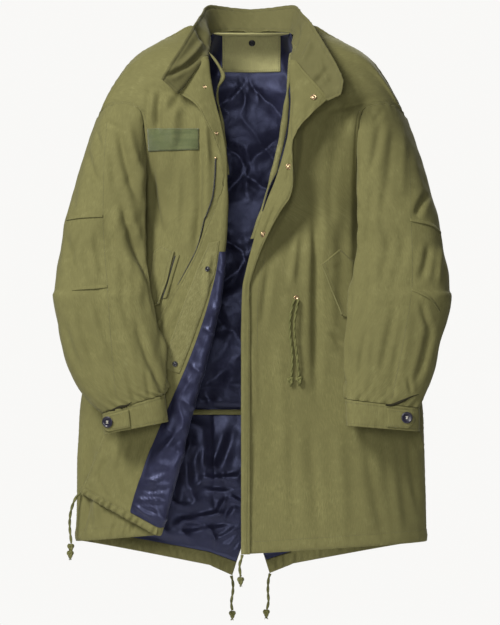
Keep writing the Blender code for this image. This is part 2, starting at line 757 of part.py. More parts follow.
def sleeve_grid(side):
    head = np.zeros((RING_STEPS, 3))
    for step in range(RING_STEPS):
        if step <= ARMHOLE_STEPS:
            head[step] = armhole_point(side, step)
        else:
            head[step] = armhole_point(side, RING_STEPS - step, back=True)
    table = SLEEVE[side]
    clearance = SLEEVE_CLEARANCE[side]
    first = tube_ring(side, table, SLEEVE_COLUMNS, table[0, 0], SLEEVE_ROUNDNESS, clearance)
    rings = []
    for k in range(SLEEVE_HEAD_RINGS):
        share = k / SLEEVE_HEAD_RINGS
        ring = head + (first - head) * share
        ease = math.sin(math.pi * share)
        for step in range(RING_STEPS):
            outward = read(HEAD_EASE, HEAD_EASE_COLUMNS, "step", "outward", step)
            forward = read(HEAD_EASE, HEAD_EASE_COLUMNS, "step", "forward", step)
            ring[step, 0] += side * outward * ease * MM
            ring[step, 1] -= forward * ease * MM
        rings.append(ring)
    for z in SLEEVE_RING_Z:
        rings.append(tube_ring(side, table, SLEEVE_COLUMNS, z, SLEEVE_ROUNDNESS, clearance))
    grid = np.array(rings)
    middles = grid.mean(axis=1, keepdims=True)
    outward = grid - middles
    outward[..., 2] = 0
    outward /= np.maximum(np.linalg.norm(outward, axis=2, keepdims=True), 1e-6)
    for k in range(1, len(rings)):
        for step in range(RING_STEPS):
            grid[k, step] += outward[k, step] * tuck_relief(step, grid[k, step, 2])
    return grid


def sample(grid, rows, columns, count):
    """Points of a grid at evenly spread places between two rows and two columns."""
    result = np.zeros((count[0], count[1], 3))
    for a in range(count[0]):
        i = rows[0] + (rows[1] - rows[0]) * a / (count[0] - 1)
        for b in range(count[1]):
            j = columns[0] + (columns[1] - columns[0]) * b / (count[1] - 1)
            low_i = min(int(i), grid.shape[0] - 2)
            low_j = min(int(j), grid.shape[1] - 2)
            s, t = i - low_i, j - low_j
            result[a, b] = (
                grid[low_i, low_j] * (1 - s) * (1 - t)
                + grid[low_i + 1, low_j] * s * (1 - t)
                + grid[low_i, low_j + 1] * (1 - s) * t
                + grid[low_i + 1, low_j + 1] * s * t
            )
    return result


def laid(grid, distance, toward):
    """The grid moved off the cloth that it lies on."""
    normals = normals_of(grid)
    facing = (normals * np.array(toward)).sum()
    return grid + normals * (distance if facing > 0 else -distance)


def on_cloth(grid, x, z, distance, toward=(0, -1, 0)):
    """The point that lies off a cloth at a place seen from the front, and the cloth's normal there."""
    lifted = laid(grid, distance, toward)
    for i in range(grid.shape[0] - 1):
        for j in range(grid.shape[1] - 1):
            corners = (lifted[i, j], lifted[i + 1, j], lifted[i + 1, j + 1], lifted[i, j + 1])
            for a, b, c in ((0, 1, 2), (0, 2, 3)):
                triangle = np.array([corners[a], corners[b], corners[c]])
                frame = np.array([triangle[:, 0], triangle[:, 2], np.ones(3)])
                if abs(np.linalg.det(frame)) < 1e-12:
                    continue
                shares = np.linalg.solve(frame, np.array([x, z, 1.0]))
                if shares.min() >= -1e-6:
                    normal = np.cross(triangle[1] - triangle[0], triangle[2] - triangle[0])
                    normal /= np.linalg.norm(normal)
                    if np.dot(normal, toward) < 0:
                        normal = -normal
                    return shares @ triangle, normal
    raise ValueError(f"no cloth at x {x:.3f}, z {z:.3f}")


def laid_piece(name, grid, top, bottom, count, finish, under=0.0):
    """A small piece on a panel, between two outlines given as (x, z) points."""
    face = np.zeros((count[0], count[1], 3))
    over = under + LAID_GAP + TRIM_WALL
    for j in range(count[1]):
        share = j / (count[1] - 1)
        upper, lower = along(top, share), along(bottom, share)
        for i in range(count[0]):
            x, z = upper + (lower - upper) * i / (count[0] - 1)
            face[i, j] = on_cloth(grid, x, z, over)[0]
    return wall(name, face, TRIM_WALL, finish, (0, -1, 0))


def along(points, share):
    """A place along a short outline, by its share of the points' count."""
    points = np.array(points) * MM
    place = share * (len(points) - 1)
    k = min(int(place), len(points) - 2)
    return points[k] + (points[k + 1] - points[k]) * (place - k)


def turned_disc(name, point, normal, profile, finish, sides=12):
    """A snap, button or eyelet: a profile of (radius, height) turned about the normal, closed."""
    normal = normal / np.linalg.norm(normal)
    across = np.cross(normal, (0.0, 0.0, 1.0))
    across /= np.linalg.norm(across)
    upward = np.cross(normal, across)
    points, faces = [], []
    for radius, height in profile:
        for k in range(sides):
            angle = 2 * math.pi * k / sides
            ring = (across * math.cos(angle) + upward * math.sin(angle)) * radius
            points.append(point + ring + normal * height)
    rings = len(profile)
    open_ring = profile[0] == profile[-1]
    last = rings - 1
    for i in range(last):
        for k in range(sides):
            n = (k + 1) % sides
            after = 0 if open_ring and i == last - 1 else (i + 1) * sides
            faces.append((i * sides + k, i * sides + n, after + n, after + k))
    if open_ring:
        points = points[: last * sides]
    else:
        faces.append(tuple(range(sides))[::-1])
        faces.append(tuple(last * sides + k for k in range(sides)))
    centre = np.mean(points, axis=0)
    a, b, c = (points[faces[0][k]] for k in range(3))
    middle = (a + c) / 2
    rim = middle - centre
    rim -= normal * np.dot(rim, normal)
    inner = rim / np.linalg.norm(rim)
    if np.dot(np.cross(b - a, c - a), inner if not open_ring else -inner) < 0:
        faces = [face[::-1] for face in faces]
    return add_mesh(name, points, faces, finish)


def route_curve(points):
    """Evenly spaced points on one smooth curve through a cord's chosen points."""
    route = np.array(points) * MM
    spans = np.linalg.norm(np.diff(route, axis=0), axis=1)
    place = np.concatenate([[0.0], np.cumsum(spans)])
    count = max(4, int(place[-1] / CORD_POINT_SPACING) + 1)
    return [
        [spline_at(place, route[:, axis], place[-1] * k / count) for axis in range(3)]
        for k in range(count + 1)
    ]


def spline_at(xs, ys, where):
    """A Catmull-Rom curve through the points (xs, ys)."""
    k = min(max(int(np.searchsorted(xs, where, side="right")) - 1, 0), len(xs) - 2)
    low, high = max(k - 1, 0), min(k + 2, len(xs) - 1)
    step = xs[k + 1] - xs[k]
    before = (ys[k + 1] - ys[low]) / (xs[k + 1] - xs[low]) * step
    after = (ys[high] - ys[k]) / (xs[high] - xs[k]) * step
    t = (where - xs[k]) / step
    return float(
        (2 * t**3 - 3 * t**2 + 1) * ys[k]
        + (t**3 - 2 * t**2 + t) * before
        + (3 * t**2 - 2 * t**3) * ys[k + 1]
        + (t**3 - t**2) * after
    )


def add_cord(name, points):
    data = bpy.data.curves.new(name, "CURVE")
    data.dimensions = "3D"
    data.bevel_depth = CORD_RADIUS
    data.bevel_resolution = 2
    data.use_fill_caps = True
    spline = data.splines.new("POLY")
    route = route_curve(points)
    spline.points.add(len(route) - 1)
    for target, point in zip(spline.points, route):
        target.co = (*point, 1.0)
    data.materials.append(cord_cotton())
    made = bpy.data.objects.new(name, data)
    bpy.context.scene.collection.objects.link(made)
    return made


def add_knot(name, centre, size):
    """An overhand knot drawn tight, as a squat ball."""
    rings, sides = 6, 8
    width, depth, height = np.array(size) * MM
    points = [np.array(centre) * MM + (0, 0, height)]
    for i in range(1, rings):
        lift = math.cos(math.pi * i / rings) * height
        reach = math.sin(math.pi * i / rings)
        for k in range(sides):
            angle = 2 * math.pi * k / sides
            ripple = 1 + 0.1 * math.cos(3 * angle + i)
            across = width * reach * ripple * math.cos(angle)
            forward = depth * reach * ripple * math.sin(angle)
            points.append(np.array(centre) * MM + (across, forward, lift))
    points.append(np.array(centre) * MM - (0, 0, height))
    faces = []
    for k in range(sides):
        n = (k + 1) % sides
        faces.append((0, 1 + k, 1 + n))
        base = 1 + (rings - 2) * sides
        faces.append((len(points) - 1, base + n, base + k))
        for i in range(rings - 2):
            upper, lower = 1 + i * sides, 1 + (i + 1) * sides
            faces.append((upper + k, lower + k, lower + n, upper + n))
    return add_mesh(name, points, faces, cord_cotton())


def liner_half(z):
    return read(LINER_HALF, LINER_COLUMNS, "z", "half_width", z)


def liner_point(x, z, inset):
    """The hanging liner's inner face, toward the wearer, that far in from the back."""
    neck = COLLAR[COLLAR_SHOULDER[LEFT] : COLLAR_CENTRE + 1]
    neck_y = smooth(neck[:, 0], neck[:, 1], -abs(x))
    below_neck = neck_y - inset + LINER_NECK_SLOPE * (LINER_TOP_Z - z)
    return np.array([x, min(body_y(x, z, back=True, inset=inset), below_neck), z])


def quilt(x, z):
    """Onion quilting: rows of wavy channels, each crown raised between its stitch lines."""
    wave = 0.42 * QUILT_CELL * abs(math.sin(math.pi * x / QUILT_CELL))
    row = ((z + wave) / QUILT_CELL) % 1.0
    column = abs(math.sin(math.pi * x / QUILT_CELL))
    crown = math.sin(math.pi * row) ** 0.6 * (0.35 + 0.65 * column)
    fade = min(1.0, max(0.0, (YOKE_BOTTOM_Z - z) / (40 * MM)))
    return QUILT_RAISE * crown * fade


def add_liner():
    rows, columns = LINER_GRID
    face = np.zeros((rows + 1, columns + 1, 3))
    raised = np.zeros((rows + 1, columns + 1))
    for i in range(rows + 1):
        z = LINER_TOP_Z + (LINER_HEM_Z - LINER_TOP_Z) * i / rows
        for j in range(columns + 1):
            x = liner_half(z) * math.sin(math.pi * (j / columns - 0.5))
            face[i, j] = liner_point(x, z, LINER_INSET)
            raised[i, j] = quilt(x, z) if 0 < i < rows and 0 < j < columns else 0.0
    wall("liner_back", face, LINING_WALL * 2, navy(), (0, -1, 0), raised=raised)
    return face


def add_liner_trim(liner):
    """The olive yoke with its snap, and the binding along the liner's hem."""
    corners = [(-YOKE_HALF_WIDTH / MM, YOKE_TOP_Z / MM), (YOKE_HALF_WIDTH / MM, YOKE_TOP_Z / MM)]
    lower = [(x, YOKE_BOTTOM_Z / MM) for x, _ in corners]
    laid_piece("liner_yoke", liner, corners, lower, (6, 9), olive(), SEAM_GAP)
    over = 2 * LAID_GAP + TRIM_WALL + SEAM_GAP
    point, normal = on_cloth(liner, 1 * MM, YOKE_SNAP_Z, over)
    turned_disc("yoke_snap", point, normal, SNAP_PROFILE, black_metal())
    bottom = liner[-1].copy()
    binding = np.array([bottom, bottom])
    binding[..., 1] -= BINDING_WALL / 2
    binding[0, :, 2] -= SEAM_GAP
    binding[1, :, 2] -= BINDING_WIDTH
    wall("liner_hem_binding", binding, BINDING_WALL, olive(), (0, -1, 0))


def add_fronts():
    made = {}
    for side in (LEFT, RIGHT):
        name = SIDE_NAME[side]
        grid = front_grid(side)
        rounded = with_shoulder_row(grid, side)
        face = drawn_in(rounded, SEAM_GAP * 0.7, ("top", "bottom", "start", "end"))
        wall(f"front_{name}", face, SHELL_WALL, olive(), (0, -1, 0))
        turned = turned_grid(side)
        face = drawn_in(turned, TURNED_SEAM_GAP, ("top",))
        wall(TURNED_NAME[side], face, SHELL_WALL, olive(), (0, 1, 0))
        made[side] = (grid, turned)
    return made


def add_backs():
    made = {}
    for side in (LEFT, RIGHT):
        grid = back_grid(side)
        rounded = with_shoulder_row(grid, side, back=True)
        face = drawn_in(rounded, SEAM_GAP * 0.7, ("top", "bottom", "start", "end"))
        name = f"back_{SIDE_NAME[side]}"
        wall(name, face, SHELL_WALL, olive(), (0, 1, 0), mitre=SLEEVE_MITRE)
        made[side] = grid
    return made


def add_tail_inside(side, grid):
    """The satin lining low inside the back, and the drawcord casing along the tail's hem."""
    name = SIDE_NAME[side]
    first = TAIL_FIRST_COLUMN
    hem = laid(grid, SHELL_WALL + LAID_GAP + TRIM_WALL, (0, -1, 0))[-2:, first:]
    columns = hem.shape[1] - 1
    casing_rows = (CASING_HEM_GAP, 1 - CASING_HEM_GAP)
    casing = sample(hem, casing_rows, (0, columns - 0.05), (3, columns + 1))
    gather = np.zeros(casing.shape[:2])
    gather[1] = [GATHER_DEPTH * (k % 2) * (k / columns) ** 2 for k in range(columns + 1)]
    wall(f"hem_casing_back_{name}", casing, TRIM_WALL, olive(), (0, -1, 0), raised=gather)
    inside = laid(grid, SHELL_WALL + LAID_GAP + LINING_WALL, (0, -1, 0))
    lining = inside[ARMHOLE_STEPS + LINING_TOP_ROW : -1, first:]
    face = drawn_in(lining, LAID_GAP, ("bottom", "end"))
    wall(f"lining_back_{name}", face, LINING_WALL, navy(), (0, -1, 0))


def add_sleeves():
    """The sleeves and their cuffs, each cuff with its tab and button."""
    for side in (LEFT, RIGHT):
        name = SIDE_NAME[side]
        grid = sleeve_grid(side)
        face = drawn_in(drawn_in(grid, SLEEVE_SEAM_GAP, ("top",)), SEAM_GAP, ("bottom",))
        for part, (first, last, toward) in SLEEVE_PARTS.items():
            half = face[:, np.arange(first, last + 1) % RING_STEPS]
            half = drawn_in(half, SEAM_GAP * 0.7, ("start", "end"))
            outward = (side * toward, 0, 0)
            wall(f"sleeve_{part}_{name}", half, SHELL_WALL, olive(), outward, mitre=SLEEVE_MITRE)
        table = CUFF[side]
        rings = [
            tube_ring(side, table, CUFF_COLUMNS, z, SLEEVE_ROUNDNESS, None) for z in table[:, 0]
        ]
        cuff = np.array(rings)
        wall(f"cuff_{name}", cuff, CUFF_WALL, olive(), outer_side(cuff), around=True)
        forward = np.roll(cuff, CUFF_TAB_ROLL, axis=1)
        start, end = CUFF_TAB[side]
        facing = (side * 0.4, -0.9, 0)
        lifted = laid(forward[:, : 2 * CUFF_TAB_ROLL], 1.6 * LAID_GAP + CUFF_TAB_WALL, facing)
        span = (start + CUFF_TAB_ROLL, end + CUFF_TAB_ROLL)
        tab = sample(lifted, (0.5, 1.75), span, (3, 7))
        wall(f"cuff_tab_{name}", tab, CUFF_TAB_WALL, olive(), facing)
        place = BUTTON_COLUMN[side]
        normal = laid(tab, 1.0, facing)[1, place] - tab[1, place]
        point = laid(tab, SEAM_GAP, facing)[1, place]
        turned_disc(f"cuff_button_{name}", point, normal, BUTTON_PROFILE, button_plastic())


def outer_side(grid):
    """The direction in which a tube's checked point faces."""
    ring = grid[grid.shape[0] // 2]
    return ring[grid.shape[1] // 3] - ring.mean(axis=0)


def add_collar():
    face = np.zeros((COLLAR_ROWS + 1, COLLAR.shape[0], 3))
    for j, row in enumerate(COLLAR):
        seam, edge = row[:3], row[3:]
        for i in range(COLLAR_ROWS + 1):
            share = i / COLLAR_ROWS
            face[i, j] = seam + (edge - seam) * share
    forward = np.clip(-face[..., 1] / (40 * MM), 0, 1)
    face[..., 1] -= COLLAR_FORWARD * forward
    face = drawn_in(face, COLLAR_SEAM_GAP, ("top",))
    wall("collar", face, COLLAR_WALL, olive(), (0, -1, 0))


def add_turned_inside(turned):
    """The lining, the liner's bound edge and the hem casing that show on the turned left front."""
    rows = turned.shape[0] - 1
    per_step = rows / TURN_STEPS
    lifted = laid(turned, SHELL_WALL + LAID_GAP + LINING_WALL, (0, -1, 0))
    last_row = rows - TURNED_CASING_ROWS - TURNED_CASING_GAP
    lining_rows = [*range(int(TURNED_LINING[0, 0] * per_step) + 1, rows), last_row]
    lining = np.zeros((len(lining_rows), 5, 3))
    for a, row in enumerate(lining_rows):
        edge = read(TURNED_LINING, TURNED_LINING_COLUMNS, "step", "column", row / per_step)
        for b, column in enumerate((edge, (edge + 3) / 2, 3, 2, 1)):
            lining[a, b] = sample(lifted, (row, row), (column, column), (2, 2))[0, 0]
    wall("lining_turned_left", lining, LINING_WALL, navy(), (0, -1, 0))
    lifted = laid(turned, SHELL_WALL + LAID_GAP + TRIM_WALL, (0, -1, 0))
    strip = np.zeros((8, 4, 3))
    first, last = LINER_STRIP[0, 0], LINER_STRIP[-1, 0]
    for a in range(strip.shape[0]):
        step = first + (last - first) * a / (strip.shape[0] - 1)
        right, left = (
            read(LINER_STRIP, LINER_STRIP_COLUMNS, "step", want, step) for want in ("right", "left")
        )
        strip[a] = sample(lifted, (step * per_step,) * 2, (left, right), (2, 4))[0]
    wall("liner_strip_left", strip, TRIM_WALL, olive(), (0, -1, 0))
    for k, (step, column) in enumerate(STRIP_SNAPS):
        above = laid(turned, SHELL_WALL + LAID_GAP + TRIM_WALL + SEAM_GAP, (0, -1, 0))
        place = (step * per_step,) * 2
        point = sample(above, place, (column, column), (2, 2))[0, 0]
        normal = on_cloth(turned, point[0], point[2], 0)[1]
        turned_disc(f"liner_snap_{k + 1}", point, normal, SNAP_PROFILE, black_metal())
    casing_rows = (rows - TURNED_CASING_ROWS, rows - CASING_HEM_GAP)
    casing = sample(lifted, casing_rows, TURNED_CASING_SPAN, (3, 13))
    gather = np.zeros(casing.shape[:2])
    gather[1] = [GATHER_DEPTH * (k % 2) for k in range(casing.shape[1])]
    wall("hem_casing_front_left", casing, TRIM_WALL, olive(), (0, -1, 0), raised=gather)


def add_front_trim(fronts):
    """Patch, pocket flaps, pocket welt, snaps and the waist eyelet, each on its front."""
    left, turned_left = fronts[LEFT]
    right, turned_right = fronts[RIGHT]
    laid_piece("name_patch", left, *NAME_PATCH, (4, 9), green_tape(), 1.5 * SEAM_GAP)
    laid_piece("pocket_flap_left", left, *POCKET_FLAP_LEFT, (6, 6), olive(), SEAM_GAP)
    laid_piece("pocket_welt_left", left, *POCKET_WELT_LEFT, (5, 2), olive())
    laid_piece("pocket_flap_right", right, *POCKET_FLAP_RIGHT, (7, 7), olive(), LAID_GAP)
    for side, turned in ((LEFT, turned_left), (RIGHT, turned_right)):
        radius = BRASS_SNAP_RADIUS[side]
        profile = tuple((r * radius, h * radius) for r, h in SNAP_SHAPE)
        for k, (x, z) in enumerate(BRASS_SNAPS[side]):
            point, normal = on_cloth(turned, x * MM, z * MM, SHELL_WALL + LAID_GAP)
            turned_disc(f"front_snap_{SIDE_NAME[side]}_{k + 1}", point, normal, profile, brass())
    x, z = np.array(WAIST_EYELET) * MM
    point, normal = on_cloth(right, x, z, SEAM_GAP)
    turned_disc("waist_eyelet", point, normal, EYELET_PROFILE, brass())


def add_liner_edges():
    for side in (LEFT, RIGHT):
        table = LINER_EDGE[side]
        face = np.zeros((LINER_EDGE_ROWS, 3, 3))
        for i in range(LINER_EDGE_ROWS):
            z = table[0, 0] + (table[-1, 0] - table[0, 0]) * i / (LINER_EDGE_ROWS - 1)
            outer, inner, y = (
                read(table, LINER_EDGE_COLUMNS, "z", want, z) for want in ("outer", "inner", "y")
            )
            for j in range(3):
                crown = LINER_EDGE_CROWN if j == 1 else 0.0
                face[i, j] = (outer + (inner - outer) * j / 2, y - crown, z)
        wall(f"liner_edge_{SIDE_NAME[side]}", face, TRIM_WALL, olive(), (0, -1, 0))


def add_cords(front):
    """The waist cord's two ends and the hem cords' ends, each with its knot, hanging plumb."""
    lift = SEAM_GAP + CORD_RADIUS + CORD_CLEARANCE
    for name, points in WAIST_CORDS.items():
        route = []
        for x, y, z in points:
            on_front = on_cloth(front, x * MM, z * MM, lift)[0]
            route.append((x, on_front[1] / MM + y, z))
        add_cord(name, route)
    for name, (x, y, z) in WAIST_KNOTS.items():
        on_front = on_cloth(front, x * MM, z * MM, KNOT_SIZE[1] * MM + SEAM_GAP)[0]
        add_knot(name, (x, on_front[1] / MM + y, z), KNOT_SIZE)
    for name, points in HEM_CORDS.items():
        add_cord(name, points)
    for name, centre in HEM_KNOTS.items():
        add_knot(name, centre, KNOT_SIZE)


def build():
    for obj in list(bpy.data.objects):
        bpy.data.objects.remove(obj, do_unlink=True)
    fronts = add_fronts()
    backs = add_backs()
    for side in (LEFT, RIGHT):
        add_tail_inside(side, backs[side])
    add_sleeves()
    add_collar()
    add_liner_trim(add_liner())
    add_turned_inside(fronts[LEFT][1])
    add_front_trim(fronts)
    add_liner_edges()
    add_cords(fronts[RIGHT][0])


build()
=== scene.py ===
"""A padded fishtail parka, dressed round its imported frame: shells with soft creases, a quilted satin
liner, trim, cords and stitching, on a pale studio stage.

Metres, +Z up, the front faces -Y, and the left side is the viewer's left. It is laid out as an
add-on with one operator for each piece or group of like pieces, and runs as a plain script.
"""

import json
import math

import bpy
import numpy as np
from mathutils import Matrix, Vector, noise
from mathutils.bvhtree import BVHTree

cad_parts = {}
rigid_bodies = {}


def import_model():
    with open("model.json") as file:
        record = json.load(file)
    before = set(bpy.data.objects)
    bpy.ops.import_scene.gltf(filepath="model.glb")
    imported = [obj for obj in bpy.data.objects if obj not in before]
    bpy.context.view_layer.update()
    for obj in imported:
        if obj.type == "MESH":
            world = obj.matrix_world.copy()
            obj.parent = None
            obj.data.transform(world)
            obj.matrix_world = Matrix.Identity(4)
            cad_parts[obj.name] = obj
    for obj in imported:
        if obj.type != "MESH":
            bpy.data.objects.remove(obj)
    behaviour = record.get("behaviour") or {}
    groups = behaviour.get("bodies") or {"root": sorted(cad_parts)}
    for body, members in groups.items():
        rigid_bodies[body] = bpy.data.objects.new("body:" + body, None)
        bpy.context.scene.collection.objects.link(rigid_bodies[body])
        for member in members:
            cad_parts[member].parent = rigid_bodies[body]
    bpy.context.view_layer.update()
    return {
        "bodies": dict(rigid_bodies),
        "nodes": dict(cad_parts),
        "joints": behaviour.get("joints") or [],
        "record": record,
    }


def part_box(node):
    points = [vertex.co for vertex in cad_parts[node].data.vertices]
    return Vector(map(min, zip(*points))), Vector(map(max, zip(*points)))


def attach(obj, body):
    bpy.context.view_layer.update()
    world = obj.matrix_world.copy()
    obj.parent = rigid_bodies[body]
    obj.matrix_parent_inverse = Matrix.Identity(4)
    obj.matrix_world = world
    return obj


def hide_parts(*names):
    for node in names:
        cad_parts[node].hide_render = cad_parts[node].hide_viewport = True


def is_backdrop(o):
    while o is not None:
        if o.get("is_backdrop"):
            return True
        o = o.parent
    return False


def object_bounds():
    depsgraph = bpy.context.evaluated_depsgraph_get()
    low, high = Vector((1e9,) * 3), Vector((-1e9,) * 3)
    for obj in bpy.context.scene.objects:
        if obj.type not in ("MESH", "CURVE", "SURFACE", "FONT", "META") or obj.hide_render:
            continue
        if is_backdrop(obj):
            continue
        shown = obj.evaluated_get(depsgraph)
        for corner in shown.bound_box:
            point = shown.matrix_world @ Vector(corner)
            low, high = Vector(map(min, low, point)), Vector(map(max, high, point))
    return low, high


bl_info = {
    "name": "Fishtail parka",
    "version": (1, 0, 0),
    "blender": (4, 5, 0),
    "location": "View3D > Sidebar > Parka",
    "description": "Makes the padded fishtail parka, its trim and its stage round the packed frame",
    "category": "Object",
}

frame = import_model()
NODES = frame["nodes"]
BODY_NAME = "root"

MM = 0.001
LEFT, RIGHT = -1, 1
SIDE_NAME = {LEFT: "left", RIGHT: "right"}

SHELL_WALL = 1.4 * MM
LINING_WALL = 1.0 * MM
TRIM_WALL = 1.2 * MM
SEAM_GAP = 0.3 * MM
MITRE = 0.7 * MM
CORD_RADIUS = 2.1 * MM

ROUNDNESS = 2.3
PANEL_COLUMNS = 10
ARMHOLE_STEPS = 12
SIDE_ROWS = 11
SHOULDER_ROW_DROP = 0.22
RING_STEPS = 2 * ARMHOLE_STEPS
UNDERARM_Z = -348 * MM

# The body's outline from the front and its depth before and behind the origin, down the garment.
BODY_COLUMNS = ("z", "half_width", "front", "back")
BODY = np.array([
    (20, 92, 12, 62),
    (4, 133, 28, 78),
    (-11, 167, 42, 88),
    (-26, 201, 58, 95),
    (-45, 226, 75, 101),
    (-85, 253, 96, 107),
    (-122, 272, 110, 111),
    (-155, 282, 117, 114),
    (-200, 264, 121, 117),
    (-260, 240, 124, 119),
    (-348, 227, 126, 119),
    (-450, 246, 125, 117),
    (-560, 288, 121, 112),
    (-640, 311, 118, 108),
    (-700, 320, 116, 106),
    (-860, 325, 113, 103),
    (-950, 327, 111, 101),
    (-1030, 327, 110, 100),
]) * MM

# The shoulder ridge from the neck out to the head of the sleeve.
RIDGE_COLUMNS = ("x", "y", "z")
RIDGE = np.array([
    (80, 8, -6),
    (105, 8, 12),
    (130, 6, 4),
    (164, 4, -11),
    (199, 2, -26),
    (221, 0, -41),
    (232, 0, -54),
    (253, 0, -85),
    (273, 0, -122),
    (288, 0, -155),
]) * MM

# Half of the armhole seam, from the shoulder ridge (step 0) to the underarm (step 12).
ARMHOLE_COLUMNS = ("step", "x", "depth", "z")
ARMHOLE = np.array([
    (0, 288, 0, -155),
    (1.5, 277, 32, -140),
    (3, 259, 58, -131),
    (5, 235, 78, -130),
    (7.5, 205, 88, -144),
    (9, 197, 84, -194),
    (10, 196, 68, -250),
    (11, 206, 42, -312),
    (12, 226, 0, -348),
])

# Heights at which the panel rows that start on the armhole end on the front edge.
FRONT_EDGE_Z = (-80, -112, -144, -178, -212, -246, -280, -314, -348)
BACK_EDGE_Z = (0, -26, -54, -83, -112, -142, -172, -202, -232, -262, -292, -320, -348)

# The collar: its neck seam and its free edge, from the left end round the back to the right end.
# Columns: the seam's x, y and z, then the free edge's x, y and z.
COLLAR = np.array([
    (-137, -121, -112, -165, -132, -86),
    (-121, -111, -92, -158, -127, -74),
    (-103, -96, -70, -146, -113, -54),
    (-85, -72, -50, -131, -92, -32),
    (-80, -45, -34, -116, -62, -8),
    (-78, -18, -20, -104, -32, 11),
    (-80, 8, -6, -93, 10, 29),
    (-72, 42, -2, -81, 52, 47),
    (-52, 64, 0, -57, 79, 46),
    (-26, 74, 1, -28, 90, 43),
    (0, 76, 0, 0, 93, 41),
    (26, 74, 1, 28, 90, 43),
    (52, 64, 0, 57, 79, 46),
    (72, 42, -2, 81, 52, 47),
    (80, 8, -6, 94, 10, 31),
    (78, -18, -20, 108, -32, 15),
    (78, -45, -36, 124, -60, -8),
    (76, -74, -56, 142, -92, -36),
    (100, -102, -86, 157, -114, -62),
    (122, -115, -110, 168, -130, -90),
    (139, -123, -127, 163, -136, -116),
]) * MM
COLLAR_CENTRE = 10
COLLAR_SHOULDER = {LEFT: 6, RIGHT: 14}
COLLAR_LAPEL = {LEFT: 3, RIGHT: 17}

# Each front: the line where the cloth turns back on itself, and the free edge of what is turned.
FOLD_COLUMNS = ("z", "x")
FOLD = {
    LEFT: np.array([
        (-50, -85), (-111, -73), (-178, -56), (-242, -47), (-307, -47), (-400, -53),
        (-492, -64), (-566, -79), (-677, -112), (-723, -119), (-825, -147), (-925, -172),
    ]) * MM,
    RIGHT: np.array([
        (-56, 76), (-122, 75), (-174, 72), (-244, 57), (-289, 40), (-335, 22), (-400, 2),
        (-474, -14), (-510, -16), (-700, -16), (-960, -16),
    ]) * MM,
}
TURNED_COLUMNS = ("step", "z", "x", "lift")
TURNED = {
    LEFT: np.array([
        (0, -112, -137, 16), (1, -131, -104, 16), (2, -159, -87, 14), (3, -196, -69, 10),
        (4, -233, -56, 6), (5, -270, -52, 6), (6, -303, -59, 7), (7, -363, -86, 9),
        (8, -422, -110, 10), (9, -496, -154, 11), (10, -603, -206, 11), (11, -729, -267, 10),
        (12, -816, -302, 8), (13, -848, -318, 8),
    ]) * np.array([1, MM, MM, MM]),
    RIGHT: np.array([
        (0, -127, 139, 15), (1, -144, 121, 17), (2, -174, 92, 17), (3, -196, 85, 17),
        (4, -252, 84, 15), (5, -298, 75, 12), (6, -335, 53, 9), (7, -400, 19, 6),
        (8, -474, -4, 4), (9, -510, -3, 4), (10, -620, -3, 4), (11, -735, -3, 4),
        (12, -848, -3, 4), (13, -960, -3, 4),
    ]) * np.array([1, MM, MM, MM]),
}
TURN_TOP_Z = {LEFT: -50 * MM, RIGHT: -56 * MM}
FRONT_HEM_Z = {LEFT: -925 * MM, RIGHT: -960 * MM}
SIDE_HEM_Z = -940 * MM
TURN_STEPS = 13

# The turn at the fold, as sideways and forward shares of its full size.
TURN_SHAPE = ((0.07, 0.1), (0.45, 0.4), (0.38, 0.9), (-0.5, 1.15))
TURN_SIZE = 9 * MM

# The split tail at the centre back.
SPLIT_TOP_Z = -895 * MM
TAIL_TIP = {LEFT: (-36 * MM, -1010 * MM), RIGHT: (34 * MM, -1006 * MM)}

# Sleeve sections below the armhole, to the cuff seam.
SLEEVE_COLUMNS = ("z", "middle", "half_width", "forward", "half_depth", "slope")
SLEEVE = {
    LEFT: np.array([
        (-400, -270, 82, 62, 68, 0), (-440, -271, 88, 74, 68, 0), (-474, -270, 92.5, 85, 67, 0),
        (-510, -265, 96, 93, 66, 0), (-548, -258, 96, 102, 63, 0), (-603, -248, 91, 114, 56, 0.04),
        (-645, -235, 80, 126, 46, 0.12), (-668, -225, 68, 134, 38, 0.2),
        (-682, -216, 57, 141, 29, 0.3),
    ]),
    RIGHT: np.array([
        (-400, 271, 83, 62, 68, 0), (-440, 271, 91, 72, 68, 0), (-474, 271, 93, 80, 67, 0),
        (-510, 270, 94, 86, 66, 0), (-548, 262, 90, 94, 62, 0), (-603, 254, 86, 102, 55, -0.04),
        (-645, 248, 77, 114, 45, -0.1), (-668, 243, 70, 122, 37, -0.12),
        (-682, 240, 68, 130, 29, -0.12),
    ]),
}
SLEEVE_ROUNDNESS = 2.7

# The two pieces of each sleeve, sewn together down its front and back: the ring steps where each
# starts and ends, and whether it faces away from the body or toward it.
SLEEVE_PARTS = {"outer": (18, 30, 1), "inner": (6, 18, -1)}
SLEEVE_HEAD_RINGS = 5
SLEEVE_CLEARANCE = {LEFT: 20 * MM, RIGHT: 9 * MM}
SIDE_CLEARANCE = 7 * MM

# How the sleeve stands away from the body below the armhole, round its inner side.
HEAD_EASE_COLUMNS = ("step", "outward", "forward")
HEAD_EASE = np.array([
    (0, 7, 0), (3, 5, 2), (6, 0, 3), (8, 0, 3), (9, 0, 6), (10, 0, 12), (11, 7, 14), (12, 14, 8),
    (13, 22, 0), (14, 22, -4), (15, 17, -4), (16, 11, -2), (18, 3, 0), (23, 6, 0),
])

# Elbow tucks: the height of each, how far it stands out and how far it reaches along the sleeve.
TUCKS = np.array([(-346, 4, 26), (-484, 5, 30)])
TUCK_LEAD = 8 * MM

